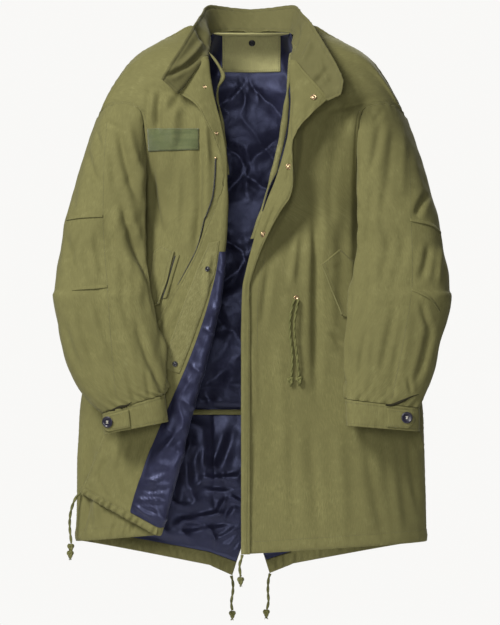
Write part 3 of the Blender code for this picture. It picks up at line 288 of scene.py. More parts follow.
CUFF_COLUMNS = ("z", "middle", "half_width", "forward", "half_depth", "slope")
CUFF = {
    LEFT: np.array([
        (-682.7, -216, 56.6, 141, 28.7, 0.3), (-700, -214, 57, 142, 28, 0.26),
        (-727, -211, 58, 142, 28, 0.2),
    ]),
    RIGHT: np.array([
        (-682.7, 240, 67.6, 130, 28.7, -0.12), (-700, 241, 67, 131, 28, -0.1),
        (-728, 241, 66, 131, 28, -0.08),
    ]),
}

# The largest soft folds in the body. Columns: x at the top, how far it leans to its bottom, the
# heights of its top and bottom, its width, and its depth, which is negative for a hollow.
FRONT_FOLDS = np.array([
    (122, 12, -280, -720, 20, -7),
    (150, 6, -160, -460, 26, 5),
    (60, 0, -560, -930, 30, -4),
    (200, 20, -560, -930, 34, 5),
    (270, 12, -640, -930, 22, -5),
    (-128, 10, -110, -420, 18, -6),
    (-100, 6, -150, -400, 20, 4),
    (-165, 6, -130, -400, 20, 4),
    (-290, -10, -640, -930, 24, -4),
])
BACK_FOLDS = np.array([
    (-150, -20, -120, -620, 26, -7),
    (150, 20, -120, -620, 26, -7),
    (-70, -30, -420, -960, 36, 7),
    (85, 34, -400, -960, 34, 7),
    (0, 0, -360, -880, 30, -6),
    (-220, -26, -520, -930, 30, -6),
    (225, 24, -540, -930, 30, -6),
])

LINER_INSET = 13.4 * MM
LINER_HEM_Z = -700 * MM
LINER_TOP_Z = -6 * MM
LINER_COLUMNS = ("z", "half_width")
LINER_HALF = np.array([
    (-700, 258), (-560, 232), (-430, 170), (-335, 146), (-200, 142), (-90, 116), (-40, 86), (-6, 72),
]) * MM
LINER_NECK_SLOPE = 1.3
QUILT_CELL = 92 * MM
QUILT_RAISE = 5.5 * MM
YOKE_HALF_WIDTH = 55 * MM
YOKE_BOTTOM_Z = -67 * MM
BINDING_WIDTH = 8 * MM
CASING_WIDTH = 22 * MM

TURN_ROWS = 21
TURN_FLAT = 4
TURNED_NAME = {LEFT: "front_turned_left", RIGHT: "storm_flap_right"}
SLEEVE_MITRE = 2.4 * MM
SLEEVE_RING_Z = (-400, -440, -474, -486, -525, -570, -618, -655, -682)
LINER_GRID = (23, 18)
GATHER_DEPTH = 3 * MM
LINING_TOP_ROW = 5
TAIL_FIRST_COLUMN = 3
LAID_GAP = 0.9 * MM
CUFF_WALL = 2.4 * MM
COLLAR_WALL = 2.0 * MM
COLLAR_ROWS = 3
COLLAR_SEAM_GAP = 3.4 * MM
COLLAR_FORWARD = 5.0 * MM
TURNED_SEAM_GAP = 2.6 * MM
SLEEVE_SEAM_GAP = 2.0 * MM
CORD_POINT_SPACING = 9 * MM

# Outlines of the pieces laid on the fronts, as (x, z) points along their top and bottom edges.
NAME_PATCH = (((-191, -176), (-97, -177)), ((-189, -218), (-97, -216)))
POCKET_FLAP_RIGHT = (
    ((129, -426), (162, -398), (188, -422)), ((164, -520), (172, -524), (184, -525)),
)
POCKET_FLAP_LEFT = (
    ((-180, -404), (-166, -392), (-142, -403)), ((-192, -500), (-180, -505), (-168, -500)),
)
POCKET_WELT_LEFT = (((-139, -411), (-132, -410)), ((-163, -490), (-156, -489)))

# What lies on the turned left front: the columns of the turned cloth that each piece spans.
TURNED_LINING_COLUMNS = ("step", "column")
TURNED_LINING = np.array([(7.6, 3.1), (9, 3.5), (10, 3.85), (11, 4.4), (12, 4.5), (13, 4.3)])
LINER_STRIP_COLUMNS = ("step", "right", "left")
LINER_STRIP = np.array([(7.5, 3.3, 5.2), (8.2, 3.4, 5.7), (9, 3.75, 5.6), (10, 4.1, 5.4)])

# The liner's bound front edges, hanging inside the neckline.
LINER_EDGE_COLUMNS = ("z", "outer", "inner", "y")
LINER_EDGE = {
    LEFT: np.array([
        (-41, -81, -75, -54.8), (-81, -56, -49, -64.5), (-109, -67, -61, -82.5),
        (-150, -60, -54, -98.5), (-220, -50, -44, -112.5), (-262, -46, -41, -114.5),
    ]) * MM,
    RIGHT: np.array([
        (-42, 78, 71, -51), (-62, 77, 67, -60.2), (-90, 72, 65, -78.2), (-174, 66, 53, -98.2),
        (-244, 50, 39, -108.2), (-310, 32, 21, -112.2), (-380, 8, -2, -112.2),
    ]) * MM,
}
LINER_EDGE_ROWS = 12
LINER_EDGE_CROWN = 2 * MM
BRASS_SNAPS = {RIGHT: ((114, -124), (68, -248), (22, -372)), LEFT: ((-86, -100), (-64, -186))}
BRASS_SNAP_RADIUS = {RIGHT: 5.5 * MM, LEFT: 3.2 * MM}
STRIP_SNAPS = ((8.2, 4.3), (9.9, 4.6))
WAIST_EYELET = (82, -488)
CUFF_TAB = {LEFT: (1.1, 5.9), RIGHT: (2.7, 6.1)}
BUTTON_COLUMN = {LEFT: 2, RIGHT: 2}
BUTTON_RADIUS = 10.5 * MM

# Each cord's route, by points chosen along it, and its knots: centre and half sizes.
WAIST_CORDS = {
    "waist_cord_a": (
        (79, 0, -491), (76, -2, -500), (71, -1, -525), (71, 0, -555), (75, -1, -598), (73, 0, -633),
    ),
    "waist_cord_b": (
        (86, 0, -491), (84, -3, -502), (79, -6, -530), (79, -5, -558), (84, -5, -600),
        (87, -2, -632),
    ),
}
WAIST_KNOTS = {"waist_knot_a": (72, 0, -640), "waist_knot_b": (88, -1, -639)}
HEM_CORDS = {
    "hem_cord_front_left": (
        (-318.5, -34.8, -849.6), (-327, -40, -861), (-335, -43, -885), (-337, -43, -910), (-334, -42, -943),
    ),
    "hem_cord_front_right": (
        (-17, -113, -961.1), (-19, -114, -970), (-22, -114, -980), (-20, -113, -1001),
    ),
    "hem_cord_tail_left": (
        (-38, 99, -1010.9), (-35, 99, -1024), (-35, 99, -1040), (-38, 99, -1062), (-36, 99, -1076),
    ),
    "hem_cord_tail_right": (
        (35, 99, -1006.9), (32, 99, -1018), (31, 99, -1040), (32, 99, -1060), (29, 99, -1074),
    ),
}
HEM_KNOTS = {
    "hem_knot_front_left_a": (-335, -42, -950),
    "hem_knot_front_left_b": (-336, -42, -963),
    "hem_knot_front_right": (-20, -113, -1008),
    "hem_knot_tail_left": (-36, 99, -1083),
    "hem_knot_tail_right": (28, 99, -1080.6),
}
KNOT_SIZE = (5.2, 4.6, 6.2)
CORD_CLEARANCE = 1.2 * MM
CUFF_TAB_WALL = 2.0 * MM
CUFF_TAB_ROLL = 6
TURNED_CASING_ROWS = 0.62
TURNED_CASING_GAP = 0.06
TURNED_CASING_SPAN = (6.9, 2.9)
CASING_HEM_GAP = 0.03
YOKE_TOP_Z = -9 * MM
YOKE_SNAP_Z = -20 * MM
BINDING_WALL = 2.0 * MM

# Turned profiles, from the back of the piece to its front, as (radius, height).
SNAP_SHAPE = ((1.0, 0.0), (1.0, 0.18), (0.8, 0.4), (0.45, 0.42), (0.3, 0.3))
SNAP_PROFILE = tuple((r * 5 * MM, h * 5 * MM) for r, h in SNAP_SHAPE)
BUTTON_PROFILE = (
    (0.9 * BUTTON_RADIUS, 0.0), (BUTTON_RADIUS, 0.9 * MM), (BUTTON_RADIUS, 2.4 * MM),
    (0.84 * BUTTON_RADIUS, 3.2 * MM), (0.7 * BUTTON_RADIUS, 2.4 * MM),
)
EYELET_PROFILE = (
    (2.6 * MM, 0.0), (5.4 * MM, 0.0), (5.4 * MM, 0.8 * MM), (4.0 * MM, 1.4 * MM),
    (2.6 * MM, 0.8 * MM), (2.6 * MM, 0.0),
)

VIEW_STEP = 1.85 * MM
VIEW_ORIGIN = (251.5, 34)
EDGE_MARGINS = tuple(d * MM for d in (1.2, 3.0, 4.8, 6.4, 8.0))
RIPPLE_COUNT = 6
UV_NAME = "cut"

OLIVE_DARK = (0.121, 0.114, 0.042, 1)
OLIVE_MIDDLE = (0.184, 0.175, 0.067, 1)
OLIVE_WORN = (0.228, 0.218, 0.099, 1)
OLIVE_BINDING = (0.25, 0.24, 0.105, 1)
# The yoke's olive is raised far above the shell's: painted light, so that the recessed yoke reads as lit.
OLIVE_YOKE_PAINTED_LIGHT_DARK = (0.3, 0.285, 0.13, 1)
OLIVE_YOKE_PAINTED_LIGHT = (0.46, 0.44, 0.2, 1)
# The collar's olive is darker than the shell's: painted shade for the less lit inside of the collar.
OLIVE_COLLAR_PAINTED_SHADE_DARK = (0.1, 0.094, 0.036, 1)
OLIVE_COLLAR_PAINTED_SHADE = (0.124, 0.117, 0.045, 1)
# Near-black olive: painted shadow for the cuffs' placket openings.
OLIVE_PAINTED_SHADE = (0.016, 0.014, 0.005, 1)
NAVY_DARK = (0.0095, 0.0095, 0.019, 1)
NAVY_MIDDLE = (0.018, 0.0185, 0.042, 1)
NAVY_LIGHT = (0.026, 0.028, 0.062, 1)
TAPE_DARK = (0.07, 0.088, 0.03, 1)
TAPE_MIDDLE = (0.132, 0.15, 0.058, 1)
TAPE_LIGHT = (0.17, 0.18, 0.075, 1)
BRASS = (0.62, 0.46, 0.28, 1)
BRASS_DULL = (0.4, 0.28, 0.15, 1)
BLACK = (0.008, 0.008, 0.012, 1)
BLACK_DULL = (0.02, 0.02, 0.026, 1)
BUTTON_NAVY = (0.016, 0.014, 0.034, 1)
BUTTON_DARK = (0.008, 0.007, 0.016, 1)
# Thread darker than the cloth: partly its own tone, partly painted shade along the seam lines.
OLIVE_THREAD_WITH_PAINTED_SHADE = (0.085, 0.08, 0.026, 1)
PALE_THREAD = (0.5, 0.48, 0.4, 1)
# Near-black navy: painted shadow in openings such as the pocket mouth and the button holes.
NAVY_PAINTED_SHADE = (0.01, 0.011, 0.02, 1)
CORD_DARK = (0.07, 0.072, 0.018, 1)
CORD_MIDDLE = (0.17, 0.168, 0.055, 1)
CORD_LIGHT = (0.26, 0.25, 0.11, 1)
PAPER = (0.93, 0.925, 0.91, 1)
PAPER_WARM = (0.95, 0.945, 0.93, 1)

# Creases seen on the front view. Each runs from one place to another, in steps of that view from
# its top left, and has a bow, a width and a depth in millimetres; a hollow's depth is negative.
CREASE_COLUMNS = ("from_x", "from_y", "to_x", "to_y", "bow", "width", "depth")
LEFT_FRONT_CREASES = (
    (161, 88, 157, 138, 2, 9, -3.4),
    (198, 128, 196, 264, -3, 10, -3.8),
    (178, 100, 174, 150, 3, 12, 2.2),
    (183, 152, 178, 250, 4, 11, 1.8),
    (152, 160, 163, 240, 5, 8, -2.4),
    (206, 112, 209, 170, 2, 7, 2.0),
    (186, 76, 168, 116, -3, 8, -2.2),
    (150, 84, 146, 128, 0, 6, -1.6),
    (164, 262, 174, 330, 6, 10, 1.6),
    (92, 430, 84, 532, 2, 12, -2.6),
    (101, 440, 96, 536, 0, 8, 2.0),
    (88, 500, 80, 541, 1, 6, -1.6),
    (118, 515, 112, 541, 1, 4, -1.6),
    (126, 514, 122, 538, 0, 4, 1.4),
    (134, 514, 131, 535, 0, 4, -1.6),
)
RIGHT_FRONT_CREASES = (
    (317, 178, 316, 408, 2, 9, -3.0),
    (330, 196, 331, 372, -2, 12, 1.2),
    (344, 112, 330, 250, 4, 13, -1.2),
    (356, 120, 349, 300, 3, 10, 1.2),
    (336, 96, 312, 170, 6, 10, -1.0),
    (352, 82, 345, 138, 1, 8, -1.6),
    (300, 226, 291, 290, 2, 8, 1.8),
    (270, 262, 262, 330, 2, 7, -1.6),
    (276, 330, 283, 470, -4, 12, 0.8),
    (310, 410, 322, 548, 4, 13, -1.0),
    (292, 420, 296, 540, 3, 11, -0.7),
    (336, 420, 344, 544, -3, 14, 1.0),
    (358, 332, 372, 470, 6, 12, -1.2),
    (366, 440, 386, 542, 4, 12, -1.3),
    (390, 430, 402, 540, 2, 11, 1.2),
    (407, 418, 420, 520, 2, 8, -1.4),
    (412, 408, 424, 455, 1, 5, 2.2),
    (253, 330, 256, 420, 1, 6, 0.9),
    (256, 400, 251, 500, -1, 7, -0.9),
    (330, 330, 344, 345, 3, 7, -1.6),
)
LEFT_SLEEVE_CREASES = (
    (118, 121, 141, 208, 6, 9, -2.5),
    (128, 116, 148, 190, 5, 9, 1.6),
    (87, 146, 101, 190, 4, 8, -1.9),
    (104, 130, 112, 196, 2, 9, 1.4),
    (121, 195, 156, 292, 7, 8, -3.1),
    (112, 205, 138, 282, 5, 10, 1.6),
    (74, 172, 72, 216, -2, 9, -1.4),
    (68, 230, 82, 285, 5, 9, -1.6),
    (90, 224, 100, 286, 2, 8, 1.4),
    (84, 228, 66, 268, -3, 6, -1.2),
    (135, 308, 166, 396, 6, 8, -2.4),
    (120, 300, 140, 372, 5, 9, 1.3),
    (80, 296, 100, 372, 6, 9, -1.6),
    (92, 297, 112, 366, 4, 8, 1.2),
    (64, 312, 84, 372, 5, 8, -1.2),
    (146, 230, 160, 330, 3, 7, -1.5),
    (108, 372, 122, 408, 2, 5, -1.2),
    (128, 366, 138, 404, 1, 5, -1.1),
    (146, 366, 152, 398, 1, 5, -1.1),
    (96, 376, 110, 408, 1, 5, 0.9),
    (104, 119, 122, 130, 2, 5, -1.1),
    (96, 130, 104, 150, 1, 5, -1.1),
)
RIGHT_SLEEVE_CREASES = (
    (429, 192, 414, 219, 3, 7, -2.4),
    (393, 121, 379, 222, -4, 10, -1.0),
    (404, 122, 399, 205, -3, 9, 0.7),
    (381, 118, 366, 182, -3, 8, -1.0),
    (372, 176, 362, 262, -4, 8, -0.9),
    (420, 150, 431, 196, 3, 8, -1.5),
    (412, 226, 402, 286, -3, 8, 0.7),
    (428, 242, 418, 284, -2, 8, -2.0),
    (440, 244, 437, 286, 1, 6, 1.4),
    (390, 228, 378, 288, -4, 9, -0.8),
    (372, 262, 358, 330, -4, 8, -1.0),
    (394, 300, 374, 382, -5, 8, -1.0),
    (408, 300, 396, 384, -4, 9, 0.7),
    (430, 318, 412, 386, -4, 8, -2.0),
    (366, 320, 352, 392, -3, 7, -0.9),
    (420, 300, 429, 330, 3, 6, -1.5),
    (362, 372, 356, 392, 1, 4, -0.5),
    (377, 376, 373, 398, 1, 4, -0.5),
    (392, 376, 392, 400, 1, 4, -0.5),
    (406, 374, 410, 394, 1, 4, -1.2),
    (386, 108, 372, 126, 2, 5, -0.5),
)
TURNED_LEFT_CREASES = (
    (176, 292, 150, 350, 3, 8, -2.2),
    (160, 320, 138, 372, 4, 9, 2.0),
    (132, 432, 118, 476, 2, 9, -2.4),
    (150, 436, 138, 486, 3, 9, 2.2),
    (112, 452, 96, 488, 2, 7, -1.8),
    (120, 470, 128, 500, 1, 5, -1.8),
    (100, 478, 108, 500, 1, 4, -1.6),
    (212, 250, 206, 300, 2, 6, 1.4),
)
STORM_FLAP_CREASES = (
    (316, 108, 304, 140, 2, 6, 1.6),
    (294, 150, 287, 190, 1, 6, -1.4),
    (280, 200, 262, 244, 2, 5, -1.2),
    (300, 116, 296, 142, 1, 5, -1.4),
)
BACK_CREASES = (
    (150, 70, 118, 150, -6, 12, -3.4),
    (176, 60, 150, 190, -5, 13, 2.6),
    (128, 150, 150, 300, 8, 13, -3.6),
    (196, 70, 186, 220, -3, 14, -2.4),
    (214, 120, 206, 330, 4, 15, 2.8),
    (236, 160, 230, 400, 2, 14, -2.6),
    (182, 240, 170, 430, -4, 15, 3.0),
    (152, 300, 132, 470, -5, 14, -3.2),
    (110, 360, 98, 520, -4, 14, 2.4),
    (206, 350, 194, 540, -4, 15, -3.0),
    (170, 440, 160, 560, 3, 13, 2.2),
    (228, 420, 214, 560, 4, 12, 2.4),
    (92, 400, 88, 520, 2, 10, -2.2),
    (134, 480, 126, 548, 2, 10, -2.2),
)
SLEEVE_BACK_CREASES = (
    (112, 108, 96, 190, -5, 9, -3.6),
    (128, 120, 116, 210, -4, 10, 2.6),
    (142, 128, 134, 226, -5, 9, -3.4),
    (84, 160, 74, 218, -2, 8, -2.4),
    (72, 232, 96, 262, 5, 8, -3.2),
    (68, 252, 100, 300, 6, 8, 2.4),
    (112, 240, 126, 300, 4, 9, -2.8),
    (140, 250, 150, 320, 3, 8, -3.0),
    (72, 300, 92, 350, 5, 8, -3.0),
    (88, 310, 108, 384, 4, 9, 2.6),
    (116, 306, 128, 380, 3, 8, -3.2),
    (142, 320, 152, 392, 3, 8, -2.8),
    (98, 372, 110, 408, 1, 5, -2.2),
    (122, 370, 128, 404, 1, 5, -2.2),
    (146, 368, 150, 398, 1, 5, -2.0),
)

# The left wing's and the right wing's creases, seen from the front.
COLLAR_CREASES = (
    (165, 80, 204, 56, 3, 5, -2.2),
    (176, 74, 206, 42, 3, 6, 1.6),
    (196, 30, 208, 54, 1, 5, -1.6),
    (204, 22, 209, 48, 1, 5, 1.4),
    (300, 28, 293, 56, -1, 5, -1.6),
    (312, 44, 300, 66, -2, 6, 1.6),
    (328, 70, 312, 86, -2, 6, -1.8),
    (318, 56, 330, 92, 2, 6, 1.2),
    (228, 22, 231, 31, 0, 4, -0.9),
    (268, 22, 266, 31, 0, 4, -0.9),
)

LINING_CREASES = (
    (237, 425, 222, 484, 4, 12, 3.0),
    (229, 424, 209, 482, 3, 11, -2.4),
    (198, 481, 243, 478, 3, 6, 5.0),
    (200, 489, 242, 489, 2, 6, -4.5),
    (217, 520, 229, 499, -3, 5, 5.5),
    (229, 499, 242, 505, 1, 5, 5.0),
    (222, 524, 233, 506, -2, 6, -4.5),
    (168, 529, 234, 517, -5, 6, 5.5),
    (166, 537, 238, 526, -4, 6, -4.0),
    (190, 428, 186, 500, 4, 11, 3.4),
    (178, 440, 172, 520, 4, 9, -4.0),
    (206, 430, 200, 476, 2, 9, 1.6),
    (214, 544, 238, 530, 2, 5, 3.5),
    (224, 562, 240, 540, 2, 5, -3.0),
    (196, 548, 224, 556, 3, 6, 3.0),
)
TURNED_LINING_CREASES = (
    (180, 430, 158, 462, 3, 6, 3.4),
    (184, 442, 162, 478, 3, 6, -2.8),
    (170, 470, 146, 482, -3, 5, 3.2),
    (172, 486, 142, 490, -2, 5, -2.6),
    (166, 500, 136, 500, 2, 4, 2.6),
    (160, 512, 140, 508, 1, 4, -2.0),
)

# Lines seen on the front view: the front zip's teeth on both edges.
ZIP_LEFT = ((216, 159), (213, 195), (205.5, 220), (201, 240), (197, 250), (189, 266), (179, 285))
ZIP_RIGHT = (
    (305, 96), (297, 104), (290, 118), (286.5, 135), (281, 165), (270, 187), (262.5, 212),
)
ZIP_TOOTH_PITCH = 2.2 * MM

# The front and back seams of a sleeve: their share of the way round it, and their width.
SLEEVE_SEAM_STEPS = ((0.25, 1.8 * MM), (0.75, 1.8 * MM))

# The free edges of the storm flap and of the left front's facing, on the front view. The front's
# cloth stands back behind each: how far, and over what width, in millimetres.
FLAP_EDGE = (
    (330, 96), (328, 103), (311, 113), (300, 130), (298, 160), (293, 189), (283, 215), (256, 262), (245, 290),
)
FACING_EDGE = ((160, 84), (178, 94), (196, 105), (205, 120), (215, 140), (220, 156))
FLAP_HOLLOW = (23, 110)
FACING_HOLLOW = (9, 62)
FLAP_RISE = 12 * MM
BACK_DIP = 1.6 * MM

# The cuff's buttoned end, in rows of the cuff, and the linings' share of the creases' measure.
TAB_ROWS = (0.42, 1.86)
LINING_CREASE_SHARE = 0.42

# The seam down each sleeve's front in which its elbow tucks end, on the front view.
SLEEVE_SEAM = {
    LEFT: ((107, 122), (105, 160), (104, 218), (106, 255), (109, 290), (113, 345), (118, 398)),
    RIGHT: ((404, 128), (409, 170), (410, 222), (411, 255), (410, 291), (401, 345), (390, 399)),
}

# The painted shadow in the opening over each cuff's buttoned end, on the front view: its line and its half heights.
CUFF_SLIT = {
    LEFT: ((106, 411.5), (114, 408.5), (121, 405.5), (127, 405), (133, 401)),
    RIGHT: ((384, 404), (390, 404), (396, 402), (402, 399.5), (409, 396), (417, 393.5)),
}
CUFF_SLIT_HEIGHT = {LEFT: (0.3, 0.9, 1.8, 2.6, 0.4), RIGHT: (1.2, 2.6, 3.0, 2.2, 1.0, 0.3)}

# Onion quilting: the spacing of its stitch lines, the height of a cell, how far a line swings as
# a share of the spacing, and a place where one cell is widest.
QUILT_WIDTH = 82 * MM
QUILT_HEIGHT = 168 * MM
QUILT_SWING = 0.46
QUILT_X = 31 * MM
QUILT_Z = -162 * MM
QUILT_LINES = 6

# The elbow tucks' folded edges on the front of each sleeve, and like ones on its back.
TUCK_LINES = {
    LEFT: (((67, 221), (83, 219), (104, 218)), ((74, 291), (92, 290), (109, 288))),
    RIGHT: (((409, 222), (430, 227), (442, 235)), ((410, 291), (428, 300), (438, 312))),
}
BACK_TUCK_LINES = {
    LEFT: (((68, 222), (84, 221), (101, 224)), ((70, 292), (88, 292), (108, 296))),
    RIGHT: (((437, 224), (422, 222), (402, 226)), ((440, 294), (420, 295), (398, 298))),
}

STRAND_RADIUS = 1.75 * MM
STRAND_OFFSET = 1.1 * MM
CORD_LAY = 30 * MM

# How far the neck is raised, from which height up to which, and how far aside it fades.
NECK_RISE = 14.8 * MM
NECK_RISE_FROM = (-120 * MM, 30 * MM)
NECK_RISE_ASIDE = (40 * MM, 240 * MM)

# Which knots close each cord, from the cord's exit to its frayed end.
CORD_KNOTS = {
    "waist_cord_a": ("waist_knot_a",),
    "waist_cord_b": ("waist_knot_b",),
    "hem_cord_front_left": ("hem_knot_front_left_a", "hem_knot_front_left_b"),
    "hem_cord_front_right": ("hem_knot_front_right",),
    "hem_cord_tail_left": ("hem_knot_tail_left",),
    "hem_cord_tail_right": ("hem_knot_tail_right",),
}
ZIP_RIGHT_DEPTH = 4 * MM

FLOOR_Z = -1.16
CAMERA_DISTANCE = 9.0
CAMERA_PLANE_Y = -0.06

WORLD_LIGHT = 0.16

# Each light's name, place, aim, size, power and colour.
STAGE_LIGHTS = (
    ("Key", (-2.3, -2.7, 2.2), (0, 0, -0.5), 1.4, 238, (1.0, 0.985, 0.955)),
    ("Front", (-0.35, -5.0, 0.1), (0, 0, -0.55), 1.5, 100, (1.0, 0.99, 0.97)),
    ("Rim", (0.6, 2.6, 1.6), (0, 0, -0.4), 1.8, 70, (1.0, 1.0, 1.0)),
)


def smooth(xs, ys, where):
    """A curve through the points (xs, ys) that never overshoots them."""
    where = min(max(where, xs[0]), xs[-1])
    k = min(int(np.searchsorted(xs, where, side="right")) - 1, len(xs) - 2)
    steps = np.diff(xs)
    slopes = np.diff(ys) / steps
    tangents = np.empty(len(xs))
    tangents[0] = slopes[0]
    tangents[-1] = slopes[-1]
    for i in range(1, len(xs) - 1):
        a, b = slopes[i - 1], slopes[i]
        tangents[i] = 0.0 if a * b <= 0 else 2 * a * b / (a + b)
    t = (where - xs[k]) / steps[k]
    start = (1 + 2 * t) * (1 - t) ** 2 * ys[k] + t * (1 - t) ** 2 * steps[k] * tangents[k]
    end = t * t * (3 - 2 * t) * ys[k + 1] + t * t * (t - 1) * steps[k] * tangents[k + 1]
    return float(start + end)


def read(table, columns, key, want, where):
    """One column of a table, at a place along another."""
    rows = table[np.argsort(table[:, columns.index(key)])]
    return smooth(rows[:, columns.index(key)], rows[:, columns.index(want)], where)


def body_size(z, want):
    return read(BODY, BODY_COLUMNS, "z", want, z)


def fold_relief(folds, x, z):
    """How far the soft folds lift the cloth at a place on the front or back."""
    lift = 0.0
    for row in folds:
        middle, lean, top, bottom, width, depth = row * MM
        along = (top - z) / (top - bottom)
        if 0 < along < 1:
            across = (x - middle - lean * along) / width
            lift += depth * math.sin(math.pi * along) * math.exp(-across * across)
    return lift


def body_y(x, z, back=False, inset=0.0):
    """The cloth's y at a place seen from the front, on the front or back of the body."""
    half = body_size(z, "half_width") - inset
    depth = body_size(z, "back" if back else "front") - inset
    across = min(abs(x) / half, 1.0)
    shape = (1 - across**ROUNDNESS) ** (1 / ROUNDNESS)
    folds = BACK_FOLDS if back else FRONT_FOLDS
    out = depth * shape + fold_relief(folds, x, z) * min(1.0, 3 * shape)
    return out if back else -out


def ridge_point(side, x):
    return np.array([
        side * x,
        read(RIDGE, RIDGE_COLUMNS, "x", "y", x),
        read(RIDGE, RIDGE_COLUMNS, "x", "z", x),
    ])


def armhole_point(side, step, back=False):
    x, depth, z = (
        read(ARMHOLE, ARMHOLE_COLUMNS, "step", want, step) * MM for want in ("x", "depth", "z")
    )
    return np.array([side * x, depth if back else -depth, z])


def fold_x(side, z):
    return read(FOLD[side], FOLD_COLUMNS, "z", "x", z)


def collar_seam(index):
    return COLLAR[index, :3].copy()


def spread(u):
    """Columns lie closer together at the side of the body, where it curves most."""
    return 1 - math.cos(u * math.pi / 2)


def normals_of(grid, around=False):
    """Unit normals of a grid of points, rows by columns."""
    down = np.gradient(grid, axis=0)
    if around:
        across = (np.roll(grid, -1, axis=1) - np.roll(grid, 1, axis=1)) / 2
    else:
        across = np.gradient(grid, axis=1)
    normal = np.cross(across, down)
    size = np.linalg.norm(normal, axis=-1, keepdims=True)
    return normal / np.maximum(size, 1e-12)


def drawn_in(grid, amount, sides):
    """The grid with the named edges drawn in along the cloth."""
    result = grid.copy()

    def draw(edge, inner):
        step = inner - edge
        size = np.linalg.norm(step, axis=-1, keepdims=True)
        return edge + step / np.maximum(size, 1e-9) * np.minimum(amount, size * 0.4)

    if "top" in sides:
        result[0] = draw(result[0], result[1])
    if "bottom" in sides:
        result[-1] = draw(result[-1], result[-2])
    if "start" in sides:
        result[:, 0] = draw(result[:, 0], result[:, 1])
    if "end" in sides:
        result[:, -1] = draw(result[:, -1], result[:, -2])
    return result


def side_share(row):
    """How far down the side seam a row lies; the last one but one is the top of the hem casing."""
    above_casing = 1 - CASING_WIDTH / (UNDERARM_Z - SIDE_HEM_Z)
    return 1.0 if row == SIDE_ROWS else above_casing * row / (SIDE_ROWS - 1)


def front_grid(side):
    """A front from the armhole and side seam (first column) to the neck and the fold (last)."""
    starts = [armhole_point(side, step) for step in range(ARMHOLE_STEPS + 1)]
    ends = [collar_seam(i) for i in front_neck(side)]
    for z in FRONT_EDGE_Z:
        x = fold_x(side, z * MM)
        ends.append(np.array([x, body_y(x, z * MM), z * MM]))
    for row in range(1, SIDE_ROWS + 1):
        share = side_share(row)
        z = UNDERARM_Z + (SIDE_HEM_Z - UNDERARM_Z) * share
        starts.append(np.array([side * body_size(z, "half_width"), 0.0, z]))
        z = UNDERARM_Z + (FRONT_HEM_Z[side] - UNDERARM_Z) * share
        x = fold_x(side, z)
        ends.append(np.array([x, body_y(x, z), z]))
    grid = np.zeros((len(starts), PANEL_COLUMNS + 1, 3))
    for i, (start, end) in enumerate(zip(starts, ends)):
        crown = max(0.0, 1 - i / ARMHOLE_STEPS) ** 1.5
        for j in range(PANEL_COLUMNS + 1):
            u = spread(j / PANEL_COLUMNS)
            grid[i, j] = panel_point(start, end, u, crown, False)
    for j in range(PANEL_COLUMNS + 1):
        x = abs(starts[0][0]) + (abs(ends[0][0]) - abs(starts[0][0])) * spread(j / PANEL_COLUMNS)
        grid[0, j] = ridge_point(side, x)
    return grid


def front_neck(side):
    return range(COLLAR_SHOULDER[side], COLLAR_LAPEL[side] + side, side)


def with_shoulder_row(grid, side, back=False):
    """The grid with one more row close below the shoulder, which keeps its top round."""
    share = np.full((grid.shape[1], 3), 0.5)
    share[:-3, 2] = SHOULDER_ROW_DROP
    if back:
        share[:, 2] = SHOULDER_ROW_DROP
    added = grid[0] + (grid[1] - grid[0]) * share
    added[0] = armhole_point(side, 0.5, back)
    return np.insert(grid, 1, added, axis=0)


def ridge_arch(x):
    """How far the shoulder ridge rises above a straight line from the neck to its end."""
    reach = min(max(abs(x), RIDGE[0, 0]), RIDGE[-1, 0])
    share = (RIDGE[-1, 0] - reach) / (RIDGE[-1, 0] - RIDGE[0, 0])
    straight = RIDGE[-1, 2] + (RIDGE[0, 2] - RIDGE[-1, 2]) * share
    return read(RIDGE, RIDGE_COLUMNS, "x", "z", reach) - straight


def panel_point(start, end, u, crown, back):
    """A place between two edges of a panel, on the body's form and meeting both edges."""
    x, _, z = start + (end - start) * u
    arch = ridge_arch(x) - ridge_arch(start[0]) * (1 - u) ** 2 - ridge_arch(end[0]) * u**2
    z += arch * crown
    y = body_y(x, z, back)
    y += (start[1] - body_y(start[0], start[2], back)) * (1 - u) ** 2
    y += (end[1] - body_y(end[0], end[2], back)) * u**3
    return np.array([x, y, z])


def split_x(side, z):
    """The centre back seam, and below it the edge of the split tail."""
    if z > SPLIT_TOP_Z:
        return 0.0
    tip_x, tip_z = TAIL_TIP[side]
    return tip_x * ((z - SPLIT_TOP_Z) / (tip_z - SPLIT_TOP_Z))


